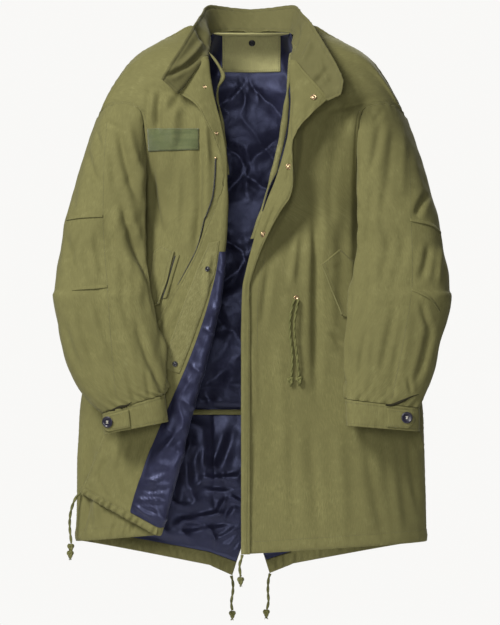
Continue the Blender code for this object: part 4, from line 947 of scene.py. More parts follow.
def back_grid(side):
    """A back from the armhole and side seam to the centre, with the neck seam in its first row."""
    toward_centre = -side
    neck = [collar_seam(COLLAR_SHOULDER[side] + toward_centre * k) for k in range(1, 5)]
    shoulder = abs(collar_seam(COLLAR_SHOULDER[side])[0])
    starts = [armhole_point(side, step, back=True) for step in range(ARMHOLE_STEPS + 1)]
    centres = [(0.0, z * MM) for z in BACK_EDGE_Z]
    for row in range(1, SIDE_ROWS + 1):
        share = side_share(row)
        z = UNDERARM_Z + (SIDE_HEM_Z - UNDERARM_Z) * share
        starts.append(np.array([side * body_size(z, "half_width"), 0.0, z]))
        z = UNDERARM_Z + (TAIL_TIP[side][1] - UNDERARM_Z) * share
        centres.append((split_x(side, z), z))
    columns = PANEL_COLUMNS + len(neck)
    grid = np.zeros((len(starts), columns + 1, 3))
    for i, (start, (centre_x, centre_z)) in enumerate(zip(starts, centres)):
        crown = max(0.0, 1 - i / ARMHOLE_STEPS) ** 1.5
        shoulder_z = centre_z + (start[2] - centre_z) * (0.04 + 0.24 * (1 - crown))
        knee = np.array([side * shoulder, body_y(shoulder, shoulder_z, True), shoulder_z])
        for j in range(PANEL_COLUMNS + 1):
            grid[i, j] = panel_point(start, knee, spread(j / PANEL_COLUMNS), crown, True)
        for k, point in enumerate(neck):
            share = abs(point[0]) / shoulder
            x = centre_x + (side * shoulder - centre_x) * share
            z = centre_z + (shoulder_z - centre_z) * share
            grid[i, PANEL_COLUMNS + 1 + k] = (x, body_y(x, z, True), z)
    for j in range(PANEL_COLUMNS + 1):
        x = RIDGE[-1, 0] + (shoulder - RIDGE[-1, 0]) * spread(j / PANEL_COLUMNS)
        grid[0, j] = ridge_point(side, x)
    for k, point in enumerate(neck):
        grid[0, PANEL_COLUMNS + 1 + k] = point
    return grid


def turned_grid(side):
    """The cloth beyond the fold, turned out over the front, from the fold to the free edge."""
    table = TURNED[side]
    first, last = table[0, 1], table[-1, 1]
    grid = np.zeros((TURN_ROWS, len(TURN_SHAPE) + TURN_FLAT, 3))
    for i in range(TURN_ROWS):
        step = TURN_STEPS * i / (TURN_ROWS - 1)
        free_z, free_x, free_lift = (
            read(table, TURNED_COLUMNS, "step", want, step) for want in ("z", "x", "lift")
        )
        share = (free_z - first) / (last - first)
        fold_z = TURN_TOP_Z[side] + (FRONT_HEM_Z[side] - TURN_TOP_Z[side]) * share
        edge_x = fold_x(side, fold_z)
        edge_y = body_y(edge_x, fold_z)
        size = TURN_SIZE * min(1.0, max(0.3, abs(edge_x - free_x) / (30 * MM)))
        for j, (outward, forward) in enumerate(TURN_SHAPE):
            grid[i, j] = (edge_x - side * outward * size, edge_y - forward * size, fold_z)
        turn_x = grid[i, len(TURN_SHAPE) - 1, 0]
        turn_lift = TURN_SHAPE[-1][1] * size
        for j in range(1, TURN_FLAT + 1):
            u = j / TURN_FLAT
            x = turn_x + (free_x - turn_x) * u
            z = fold_z + (free_z - fold_z) * u
            lift = turn_lift + (free_lift - turn_lift) * u
            grid[i, len(TURN_SHAPE) - 1 + j] = (x, body_y(x, z) - lift, z)
    return grid


def superellipse(angle, across, along, roundness):
    c, s = math.cos(angle), math.sin(angle)
    x = math.copysign(abs(c) ** (2 / roundness), c) * across
    y = math.copysign(abs(s) ** (2 / roundness), s) * along
    return x, y


def tube_ring(side, table, columns, z, roundness, clearance):
    """A closed ring of a sleeve or cuff: step 0 is its outer side, a quarter round its front."""
    middle, half, forward, depth = (
        read(table, columns, "z", want, z) * MM
        for want in ("middle", "half_width", "forward", "half_depth")
    )
    slope = read(table, columns, "z", "slope", z)
    ring = np.zeros((RING_STEPS, 3))
    for step in range(RING_STEPS):
        angle = 2 * math.pi * step / RING_STEPS
        across, along = superellipse(angle, half, depth, roundness)
        x = middle + side * across
        y = -forward - along
        height = z * MM + slope * (x - middle)
        if clearance is not None:
            x, y = kept_clear(x, y, height, middle, -forward, clearance)
        ring[step] = (x, y, height)
    return ring


def kept_clear(x, y, z, middle_x, middle_y, clearance):
    """A ring point drawn towards the ring's middle until it clears the front of the body."""

    def touches(at_x, at_y):
        beside = abs(at_x) >= body_size(z, "half_width") + SIDE_CLEARANCE
        return not beside and at_y > body_y(at_x, z) - clearance

    if not touches(x, y):
        return x, y
    clear, blocked = 0.0, 1.0
    for _ in range(14):
        share = (clear + blocked) / 2
        if touches(middle_x + (x - middle_x) * share, middle_y + (y - middle_y) * share):
            blocked = share
        else:
            clear = share
    return middle_x + (x - middle_x) * clear, middle_y + (y - middle_y) * clear


def tuck_relief(step, z):
    """The step in the cloth at an elbow tuck, on the front and outer side of the sleeve."""
    lift = 0.0
    facing = max(0.0, math.cos(2 * math.pi * (step - 3) / RING_STEPS))
    for height, depth, reach in TUCKS * MM:
        below = height - z
        if 0 <= below < reach:
            lift += depth * (1 - below / reach) * facing
        elif -TUCK_LEAD < below < 0:
            lift -= 0.5 * depth * (1 + below / TUCK_LEAD) * facing
    return lift


def sleeve_grid(side):
    head = np.zeros((RING_STEPS, 3))
    for step in range(RING_STEPS):
        if step <= ARMHOLE_STEPS:
            head[step] = armhole_point(side, step)
        else:
            head[step] = armhole_point(side, RING_STEPS - step, back=True)
    table = SLEEVE[side]
    clearance = SLEEVE_CLEARANCE[side]
    first = tube_ring(side, table, SLEEVE_COLUMNS, table[0, 0], SLEEVE_ROUNDNESS, clearance)
    rings = []
    for k in range(SLEEVE_HEAD_RINGS):
        share = k / SLEEVE_HEAD_RINGS
        ring = head + (first - head) * share
        ease = math.sin(math.pi * share)
        for step in range(RING_STEPS):
            outward = read(HEAD_EASE, HEAD_EASE_COLUMNS, "step", "outward", step)
            forward = read(HEAD_EASE, HEAD_EASE_COLUMNS, "step", "forward", step)
            ring[step, 0] += side * outward * ease * MM
            ring[step, 1] -= forward * ease * MM
        rings.append(ring)
    for z in SLEEVE_RING_Z:
        rings.append(tube_ring(side, table, SLEEVE_COLUMNS, z, SLEEVE_ROUNDNESS, clearance))
    grid = np.array(rings)
    middles = grid.mean(axis=1, keepdims=True)
    outward = grid - middles
    outward[..., 2] = 0
    outward /= np.maximum(np.linalg.norm(outward, axis=2, keepdims=True), 1e-6)
    for k in range(1, len(rings)):
        for step in range(RING_STEPS):
            grid[k, step] += outward[k, step] * tuck_relief(step, grid[k, step, 2])
    return grid


def sample(grid, rows, columns, count):
    """Points of a grid at evenly spread places between two rows and two columns."""
    result = np.zeros((count[0], count[1], 3))
    for a in range(count[0]):
        i = rows[0] + (rows[1] - rows[0]) * a / (count[0] - 1)
        for b in range(count[1]):
            j = columns[0] + (columns[1] - columns[0]) * b / (count[1] - 1)
            low_i = min(int(i), grid.shape[0] - 2)
            low_j = min(int(j), grid.shape[1] - 2)
            s, t = i - low_i, j - low_j
            result[a, b] = (
                grid[low_i, low_j] * (1 - s) * (1 - t)
                + grid[low_i + 1, low_j] * s * (1 - t)
                + grid[low_i, low_j + 1] * (1 - s) * t
                + grid[low_i + 1, low_j + 1] * s * t
            )
    return result


def laid(grid, distance, toward):
    """The grid moved off the cloth that it lies on."""
    normals = normals_of(grid)
    facing = (normals * np.array(toward)).sum()
    return grid + normals * (distance if facing > 0 else -distance)


def on_cloth(grid, x, z, distance, toward=(0, -1, 0)):
    """The point that lies off a cloth at a place seen from the front, and the cloth's normal there."""
    lifted = laid(grid, distance, toward)
    for i in range(grid.shape[0] - 1):
        for j in range(grid.shape[1] - 1):
            corners = (lifted[i, j], lifted[i + 1, j], lifted[i + 1, j + 1], lifted[i, j + 1])
            for a, b, c in ((0, 1, 2), (0, 2, 3)):
                triangle = np.array([corners[a], corners[b], corners[c]])
                frame = np.array([triangle[:, 0], triangle[:, 2], np.ones(3)])
                if abs(np.linalg.det(frame)) < 1e-12:
                    continue
                shares = np.linalg.solve(frame, np.array([x, z, 1.0]))
                if shares.min() >= -1e-6:
                    normal = np.cross(triangle[1] - triangle[0], triangle[2] - triangle[0])
                    normal /= np.linalg.norm(normal)
                    if np.dot(normal, toward) < 0:
                        normal = -normal
                    return shares @ triangle, normal
    raise ValueError(f"no cloth at x {x:.3f}, z {z:.3f}")


def along(points, share):
    """A place along a short outline, by its share of the points' count."""
    points = np.array(points) * MM
    place = share * (len(points) - 1)
    k = min(int(place), len(points) - 2)
    return points[k] + (points[k + 1] - points[k]) * (place - k)


def route_curve(points):
    """Evenly spaced points on one smooth curve through a cord's chosen points."""
    route = np.array(points) * MM
    spans = np.linalg.norm(np.diff(route, axis=0), axis=1)
    place = np.concatenate([[0.0], np.cumsum(spans)])
    count = max(4, int(place[-1] / CORD_POINT_SPACING) + 1)
    return [
        [spline_at(place, route[:, axis], place[-1] * k / count) for axis in range(3)]
        for k in range(count + 1)
    ]


def spline_at(xs, ys, where):
    """A Catmull-Rom curve through the points (xs, ys)."""
    k = min(max(int(np.searchsorted(xs, where, side="right")) - 1, 0), len(xs) - 2)
    low, high = max(k - 1, 0), min(k + 2, len(xs) - 1)
    step = xs[k + 1] - xs[k]
    before = (ys[k + 1] - ys[low]) / (xs[k + 1] - xs[low]) * step
    after = (ys[high] - ys[k]) / (xs[high] - xs[k]) * step
    t = (where - xs[k]) / step
    return float(
        (2 * t**3 - 3 * t**2 + 1) * ys[k]
        + (t**3 - 2 * t**2 + t) * before
        + (3 * t**2 - 2 * t**3) * ys[k + 1]
        + (t**3 - t**2) * after
    )


def liner_half(z):
    return read(LINER_HALF, LINER_COLUMNS, "z", "half_width", z)


def liner_point(x, z, inset):
    """The hanging liner's inner face, toward the wearer, that far in from the back."""
    neck = COLLAR[COLLAR_SHOULDER[LEFT] : COLLAR_CENTRE + 1]
    neck_y = smooth(neck[:, 0], neck[:, 1], -abs(x))
    below_neck = neck_y - inset + LINER_NECK_SLOPE * (LINER_TOP_Z - z)
    return np.array([x, min(body_y(x, z, back=True, inset=inset), below_neck), z])


def spline_weights(count, places, around=False):
    """What each of the rows gives to a Catmull-Rom curve at places counted in rows."""
    places = np.asarray(places, dtype=float)
    low = np.floor(places + 1e-9).astype(int)
    if not around:
        low = np.clip(low, 0, count - 2)
    t = places - low
    shares = (
        (-t + 2 * t**2 - t**3) / 2,
        (2 - 5 * t**2 + 3 * t**3) / 2,
        (t + 4 * t**2 - 3 * t**3) / 2,
        (t**3 - t**2) / 2,
    )
    weights = np.zeros((len(places), count))
    which = np.arange(len(places))
    for offset, share in zip((-1, 0, 1, 2), shares):
        index = low + offset
        if around:
            np.add.at(weights, (which, index % count), share)
            continue
        before, after = index < 0, index > count - 1
        inside = ~(before | after)
        np.add.at(weights, (which[inside], index[inside]), share[inside])
        for outside, edge, inner in ((before, 0, 1), (after, count - 1, count - 2)):
            np.add.at(weights, (which[outside], np.full(outside.sum(), edge)), 2 * share[outside])
            np.add.at(weights, (which[outside], np.full(outside.sum(), inner)), -share[outside])
    return weights


def even_places(grid, axis, spacing, around, margins):
    """Places along one axis of a grid, evenly apart on the cloth and closer along its edges."""
    moved = np.roll(grid, -1, axis=axis) if around else None
    steps = (moved - grid) if around else np.diff(grid, axis=axis)
    lengths = np.linalg.norm(steps, axis=2).mean(axis=1 - axis)
    along_run = np.concatenate([[0.0], np.cumsum(lengths)])
    total = along_run[-1]
    count = max(2, int(math.ceil(total / spacing)))
    wanted = np.linspace(0, total, count + 1)
    if around:
        wanted = wanted[:-1]
    elif margins:
        near = np.array(margins)
        reach = near.max() + 0.5 * spacing
        wanted = wanted[(wanted > reach) & (wanted < total - reach)]
        wanted = np.concatenate([[0.0], near, wanted, total - near[::-1], [total]])
    return np.interp(wanted, along_run, np.arange(len(along_run)))


def refined(grid, spacing, around=False, margins=EDGE_MARGINS):
    """A fine grid on a smooth surface through a coarse one."""
    down = even_places(grid, 0, spacing, False, margins)
    across = even_places(grid, 1, spacing, around, margins)
    row_shares = spline_weights(grid.shape[0], down)
    column_shares = spline_weights(grid.shape[1], across, around)
    return np.einsum("ri,ijk,cj->rck", row_shares, grid, column_shares)


def facing(normals, toward):
    """The normals, turned round together where they face away from a direction."""
    return normals if (normals * np.array(toward)).sum() > 0 else -normals


def outward_normals(grid):
    """Normals of a closed tube, facing away from its middle."""
    normals = normals_of(grid, around=True)
    away = grid - grid.mean(axis=1, keepdims=True)
    return normals if (normals * away).sum() > 0 else -normals


def runs(points, axis, around=False):
    """How far along the cloth each point lies from its first edge."""
    if around:
        points = np.concatenate([points, points[:, :1]], axis=1)
    steps = np.linalg.norm(np.diff(points, axis=axis), axis=-1)
    start = np.zeros_like(np.take(steps, [0], axis=axis))
    return np.concatenate([start, np.cumsum(steps, axis=axis)], axis=axis)


def edge_distances(points, around=False):
    """Each point's distance to the top, bottom, start and end edges of its grid."""
    down = runs(points, 0)
    result = {"top": down, "bottom": down[-1:] - down}
    if not around:
        across = runs(points, 1)
        result["start"] = across
        result["end"] = across[:, -1:] - across
    return result


def bell(distance, width):
    return np.exp(-((distance / width) ** 2))


def ease(low, high, value):
    """0 below low, 1 above high and smooth between them."""
    share = np.clip((value - low) / (high - low), 0, 1)
    return share * share * (3 - 2 * share)


def strokes(table, x, z):
    """How far the listed creases lift the cloth. Each runs between two places and fades at both."""
    lift = np.zeros_like(x)
    for row in table:
        from_x, from_z, to_x, to_z, bow, width, depth = row
        run_x, run_z = to_x - from_x, to_z - from_z
        length = math.hypot(run_x, run_z)
        share = ((x - from_x) * run_x + (z - from_z) * run_z) / length**2
        across = ((x - from_x) * run_z - (z - from_z) * run_x) / length
        across = across - bow * 4 * share * (1 - share)
        fade = ease(-0.02, 0.3, share) * ease(-0.02, 0.3, 1 - share)
        crease = np.exp(-((across / width) ** 2))
        beside = np.exp(-(((np.abs(across) - 1.9 * width) / (1.3 * width)) ** 2))
        lift += depth * fade * (crease - 0.38 * beside)
    return lift


def on_view(rows):
    """Creases measured on the front view, with their places and sizes turned into metres."""
    result = []
    for from_x, from_y, to_x, to_y, bow, width, depth in rows:
        result.append((
            (from_x - VIEW_ORIGIN[0]) * VIEW_STEP, (VIEW_ORIGIN[1] - from_y) * VIEW_STEP,
            (to_x - VIEW_ORIGIN[0]) * VIEW_STEP, (VIEW_ORIGIN[1] - to_y) * VIEW_STEP,
            bow * MM, width * 0.82 * MM, depth * MM,
        ))
    return result


def mirrored(rows):
    """The same creases on the other half of the garment."""
    return [(-a, b, -c, d, -bow, width, depth) for a, b, c, d, bow, width, depth in rows]


def view_point(x, y):
    return (x - VIEW_ORIGIN[0]) * VIEW_STEP, (VIEW_ORIGIN[1] - y) * VIEW_STEP


def ripples(x, z, seed, height, length, stretch=4.0, lean=0.0):
    """Soft uneven waves, longer down the cloth than across it."""
    chance = np.random.default_rng(seed)
    lift = np.zeros_like(x)
    for _ in range(RIPPLE_COUNT):
        wave = length * chance.uniform(0.6, 1.7)
        angle = chance.normal(lean, 0.4)
        start = chance.uniform(0, 2 * math.pi)
        swing = wave * chance.uniform(0.2, 0.6)
        bend = swing * np.sin(2 * math.pi * z / (stretch * wave * 1.6) + chance.uniform(0, 6.3))
        across = x * math.cos(angle) + z * math.sin(angle) / stretch + bend
        lift += np.sin(2 * math.pi * across / wave + start)
    return height * lift / math.sqrt(RIPPLE_COUNT)


def crumple(points, size, seed, height):
    """Small irregular unevenness."""
    shift = Vector((seed * 1.7, seed * 0.9, seed * 2.3))
    flat = points.reshape(-1, 3) / size
    lift = [noise.noise(Vector(place) + shift) for place in flat.tolist()]
    return height * np.array(lift).reshape(points.shape[:2])


def crinkle(points, size, seed, height):
    """Sharp-edged crinkles of thin stiff satin: narrow ridges between flat hollows."""
    shift = Vector((seed * 2.1, seed * 1.3, seed * 0.7))
    flat = points.reshape(-1, 3) / size
    lift = []
    for place in flat.tolist():
        where = Vector(place) + shift
        bent = where + noise.noise_vector(where * 0.6) * 0.9
        lift.append((1 - abs(noise.noise(bent))) ** 6 + 0.4 * noise.noise(bent * 0.5))
    return height * np.array(lift).reshape(points.shape[:2])


def pucker(distance, along_edge, seed, height, length=11 * MM, reach=12 * MM):
    """The small gathers that a line of stitches draws into cloth."""
    chance = np.random.default_rng(seed)
    lift = np.zeros_like(distance)
    for _ in range(3):
        wave = length * chance.uniform(0.7, 1.5)
        lift += np.sin(2 * math.pi * along_edge / wave + chance.uniform(0, 6.3))
    return height * lift / 3**0.5 * np.exp(-distance / reach)


def sewn_edge(distance, along_edge, seed, strength=1.0, rows=(6.4,)):
    """A seam's rounded shoulder, the hollow of each stitch row beside it, and its pucker."""
    lift = -1.1 * MM * bell(distance, 2.2 * MM)
    for place in rows:
        lift -= 1.1 * MM * bell(distance - place * MM, 1.5 * MM)
    return strength * (lift + pucker(distance, along_edge, seed, 0.4 * MM))


def raised_neck(points):
    """The photo's neck stands a little higher than that of the solids."""
    raised = np.array(points, dtype=float).reshape(-1, 3)
    aside = np.abs(raised[:, 0])
    share = ease(*NECK_RISE_FROM, raised[:, 2]) * (1 - ease(*NECK_RISE_ASIDE, aside))
    raised[:, 2] += NECK_RISE * share
    return raised


def quad_mesh(name, points, quads, uvs, finish):
    """A smooth mesh of quads with metric UVs, one UV for each corner."""
    mesh = bpy.data.meshes.new(name)
    mesh.vertices.add(len(points))
    mesh.vertices.foreach_set("co", raised_neck(points).astype(np.float32).ravel())
    mesh.loops.add(quads.size)
    mesh.loops.foreach_set("vertex_index", quads.ravel().astype(np.int32))
    mesh.polygons.add(len(quads))
    mesh.polygons.foreach_set("loop_start", np.arange(0, quads.size, 4, dtype=np.int32))
    mesh.update(calc_edges=True)
    layer = mesh.uv_layers.new(name=UV_NAME)
    layer.data.foreach_set("uv", np.asarray(uvs, dtype=np.float32).ravel())
    mesh.validate()
    mesh.shade_smooth()
    mesh.materials.append(finish)
    made = bpy.data.objects.new(name, mesh)
    bpy.context.scene.collection.objects.link(made)
    return made


def shell(name, face, normals, thickness, finish, around=False, hidden=None):
    """Cloth as a closed wall: its shown face, a hidden face behind it and the rim between."""
    rows, columns = face.shape[:2]
    back = face - normals * thickness if hidden is None else hidden
    points = np.concatenate([face.reshape(-1, 3), back.reshape(-1, 3)])
    count = rows * columns
    last = columns if around else columns - 1
    i, j = np.meshgrid(np.arange(rows - 1), np.arange(last), indexing="ij")
    i, j = i.ravel(), j.ravel()
    down = runs(face, 0)
    across = runs(face, 1, around)
    if around:
        down = np.concatenate([down, down[:, :1]], axis=1)
    corners = ((0, 0), (1, 0), (1, 1), (0, 1))
    quads, uvs = [], []

    def add(parts):
        """parts: the row, column and layer of each of the four corners."""
        quads.append(np.stack([c * count + a * columns + b % columns for a, b, c in parts], axis=1))
        pairs = [np.stack([across[a, b], down[a, b] + 0.003 * c], axis=-1) for a, b, c in parts]
        uvs.append(np.stack(pairs, axis=1))

    add([(i + a, j + b, 0) for a, b in corners])
    add([(i + a, j + b, 1) for a, b in corners[::-1]])
    k = np.arange(last)
    zero = np.zeros_like(k)
    add([(zero, k, 1), (zero, k, 0), (zero, k + 1, 0), (zero, k + 1, 1)])
    low = zero + rows - 1
    add([(low, k, 0), (low, k, 1), (low, k + 1, 1), (low, k + 1, 0)])
    if not around:
        k = np.arange(rows - 1)
        zero = np.zeros_like(k)
        add([(k, zero, 0), (k, zero, 1), (k + 1, zero, 1), (k + 1, zero, 0)])
        end = zero + columns - 1
        add([(k, end, 1), (k, end, 0), (k + 1, end, 0), (k + 1, end, 1)])
    quads = np.concatenate(quads)
    uvs = np.concatenate(uvs)
    sample_quad = quads[len(i) // 2]
    a, b, c = points[sample_quad[0]], points[sample_quad[1]], points[sample_quad[2]]
    if np.dot(np.cross(b - a, c - a), normals.reshape(-1, 3)[sample_quad[0]]) < 0:
        quads = quads[:, ::-1]
        uvs = uvs[:, ::-1]
    return quad_mesh(name, points, quads, uvs, finish)


def tube(name, centres, radii, sides, finish, closed=False, flat=1.0):
    """A round tube along a line of points, with a radius at each, closed at both ends."""
    centres = np.asarray(centres, dtype=float)
    radii = np.broadcast_to(radii, len(centres))
    points = tube_points(centres, radii, sides, closed, flat)
    rings = len(centres)
    faces = []
    for i in range(rings if closed else rings - 1):
        for k in range(sides):
            n = (k + 1) % sides
            after = (i + 1) % rings
            faces.append((i * sides + k, i * sides + n, after * sides + n, after * sides + k))
    if not closed:
        faces.append(tuple(range(sides))[::-1])
        faces.append(tuple((rings - 1) * sides + k for k in range(sides)))
    return plain_mesh(name, points, faces, finish)


def tube_points(centres, radii, sides, closed=False, flat=1.0):
    """The ring points of a tube, carried along the line without twisting."""
    if closed:
        tangents = np.roll(centres, -1, axis=0) - np.roll(centres, 1, axis=0)
    else:
        tangents = np.gradient(centres, axis=0)
    tangents /= np.maximum(np.linalg.norm(tangents, axis=1, keepdims=True), 1e-12)
    side = np.cross(tangents[0], (0.0, -1.0, 0.1))
    side /= np.linalg.norm(side)
    angles = 2 * math.pi * np.arange(sides) / sides
    points = []
    for centre, tangent, radius in zip(centres, tangents, radii):
        side = side - tangent * np.dot(side, tangent)
        side /= np.linalg.norm(side)
        up = np.cross(tangent, side)
        ring = np.outer(np.cos(angles), side) + np.outer(np.sin(angles), up) * flat
        points.append(centre + ring * radius)
    return np.concatenate(points)


def plain_mesh(name, points, faces, finish, smooth_faces=True):
    mesh = bpy.data.meshes.new(name)
    mesh.from_pydata(raised_neck(points).tolist(), [], [tuple(int(k) for k in f) for f in faces])
    mesh.update()
    if smooth_faces:
        mesh.shade_smooth()
    mesh.materials.append(finish)
    made = bpy.data.objects.new(name, mesh)
    bpy.context.scene.collection.objects.link(made)
    return made


def joined(name, parts, finish):
    """One mesh from many (points, faces) pairs."""
    points, faces, base = [], [], 0
    for part_points, part_faces in parts:
        points.append(np.asarray(part_points))
        faces.extend(tuple(base + k for k in face) for face in part_faces)
        base += len(part_points)
    return plain_mesh(name, np.concatenate(points), faces, finish)


class Cloth:
    """The shown face of a finished piece, for laying other things on it."""

    def __init__(self, face, normals):
        self.face = face
        self.normals = normals
        rows, columns = face.shape[:2]
        i, j = np.meshgrid(np.arange(rows - 1), np.arange(columns - 1), indexing="ij")
        first = (i * columns + j).ravel()
        quads = np.stack([first, first + columns, first + columns + 1, first + 1], axis=1)
        self.tree = BVHTree.FromPolygons(face.reshape(-1, 3).tolist(), quads.tolist())
        self.columns = columns

    def at(self, x, z, lift=0.0, toward=(0, -1, 0)):
        """The point over the cloth at a place seen along a direction, and the cloth's normal."""
        start = Vector((x, 0, z)) + Vector(toward) * 1.0
        found, normal, _, _ = self.tree.ray_cast(start, -Vector(toward))
        if found is None:
            found, normal, _, _ = self.tree.find_nearest(Vector((x, 0.1 * toward[1], z)))
        if normal.dot(Vector(toward)) < 0:
            normal = -normal
        return np.array(found) + np.array(normal) * lift, np.array(normal)

    def near(self, point, lift=0.0):
        """The point over the cloth that is nearest to another, and the cloth's normal."""
        found, normal, index, _ = self.tree.find_nearest(Vector(point))
        row, column = divmod(index, self.columns - 1)
        out = self.normals[row, column]
        return np.array(found) + out * lift, out

    def line(self, edge, distance, lift=0.2 * MM, first=0.0, last=1.0):
        """A line over the cloth that keeps its distance from one edge, with its normals."""
        face, normals = self.face, self.normals
        if edge in ("top", "bottom"):
            face, normals = face.transpose(1, 0, 2), normals.transpose(1, 0, 2)
        if edge in ("end", "bottom"):
            face, normals = face[:, ::-1], normals[:, ::-1]
        across = runs(face, 1)
        count = face.shape[0]
        chosen = range(int(first * (count - 1)), int(last * (count - 1)) + 1)
        points, outs = [], []
        for row in chosen:
            if across[row, -1] < distance:
                continue
            k = int(np.searchsorted(across[row], distance)) - 1
            k = min(max(k, 0), face.shape[1] - 2)
            share = (distance - across[row, k]) / max(across[row, k + 1] - across[row, k], 1e-9)
            points.append(face[row, k] + (face[row, k + 1] - face[row, k]) * share)
            outs.append(normals[row, k])
        points, outs = np.array(points), np.array(outs)
        return points + outs * lift, outs


def stitch_parts(line, normals, length=2.6 * MM, gap=1.0 * MM, thick=0.42 * MM):
    """Stitches along a line as small closed lozenges, ready to be joined."""
    steps = np.linalg.norm(np.diff(line, axis=0), axis=1)
    place = np.concatenate([[0.0], np.cumsum(steps)])
    parts = []
    where = gap
    while where + length < place[-1]:
        ends = [np.array([np.interp(w, place, line[:, k]) for k in range(3)])
                for w in (where, where + length)]
        normal = np.array([np.interp(where, place, normals[:, k]) for k in range(3)])
        parts.append(lozenge(*ends, normal, thick))
        where += length + gap
    return parts


def lozenge(start, end, normal, thick):
    """One stitch: a round thread that dips into the cloth at both ends."""
    run = end - start
    run /= max(np.linalg.norm(run), 1e-9)
    side = np.cross(run, normal)
    side /= max(np.linalg.norm(side), 1e-9)
    up = np.cross(side, run)
    points = [start - up * thick * 0.4]
    for share, reach in ((0.2, 0.8), (0.5, 1.0), (0.8, 0.8)):
        middle = start + (end - start) * share
        for s, u in ((1, 0), (0, 1), (-1, 0), (0, -1)):
            points.append(middle + (side * s * 0.5 + up * u * 0.5) * thick * reach)
    points.append(end - up * thick * 0.4)
    faces = []
    for k in range(4):
        n = (k + 1) % 4
        faces.append((0, 1 + n, 1 + k))
        faces.append((1 + k, 1 + n, 5 + n, 5 + k))
        faces.append((5 + k, 5 + n, 9 + n, 9 + k))
        faces.append((9 + k, 9 + n, 13))
    return np.array(points), faces


def turned(profile, point, normal, sides=28):
    """Points and faces of a profile of (radius, height) turned about a normal."""
    normal = normal / np.linalg.norm(normal)
    across = np.cross(normal, (0.0, 0.0, 1.0))
    across /= np.linalg.norm(across)
    upward = np.cross(normal, across)
    angles = 2 * math.pi * np.arange(sides) / sides
    ring = np.outer(np.cos(angles), across) + np.outer(np.sin(angles), upward)
    points = [point + ring * radius + normal * height for radius, height in profile]
    faces = []
    for i in range(len(profile) - 1):
        for k in range(sides):
            n = (k + 1) % sides
            faces.append((i * sides + k, i * sides + n, (i + 1) * sides + n, (i + 1) * sides + k))
    faces.append(tuple(range(sides))[::-1])
    faces.append(tuple((len(profile) - 1) * sides + k for k in range(sides)))
    return np.concatenate(points), faces


def dressed(piece, slot, *nodes):
    """The piece rides on the garment and stands for CAD nodes; the slot is not used."""
    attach(piece, BODY_NAME)
    if nodes:
        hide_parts(*nodes)
    return piece


def group(name, inputs, outputs):
    """A shader node group with its sockets, and its own input and output nodes."""
    tree = bpy.data.node_groups.new(name, "ShaderNodeTree")
    for label, kind, default in inputs:
        socket = tree.interface.new_socket(label, in_out="INPUT", socket_type=kind)
        socket.default_value = default
    for label, kind in outputs:
        tree.interface.new_socket(label, in_out="OUTPUT", socket_type=kind)
    return tree, tree.nodes.new("NodeGroupInput"), tree.nodes.new("NodeGroupOutput")


def node(tree, kind, **values):
    """A node with its properties, and its inputs given by name with underscores for spaces."""
    made = tree.nodes.new(kind)
    for key, value in values.items():
        if hasattr(made, key):
            setattr(made, key, value)
        else:
            made.inputs[key.replace("_", " ")].default_value = value
    return made


def value_of(tree, operation, first, second):
    """A Math node of two sockets or numbers."""
    made = tree.nodes.new("ShaderNodeMath")
    made.operation = operation
    for k, given in enumerate((first, second)):
        if isinstance(given, (int, float)):
            made.inputs[k].default_value = given
        else:
            tree.links.new(given, made.inputs[k])
    return made.outputs[0]


def mixed(tree, share, first, second):
    """A colour between two sockets or colours."""
    made = tree.nodes.new("ShaderNodeMix")
    made.data_type = "RGBA"
    for key, given in ((0, share), (6, first), (7, second)):
        if isinstance(given, (int, float, tuple)):
            made.inputs[key].default_value = given
        else:
            tree.links.new(given, made.inputs[key])
    return made.outputs[2]


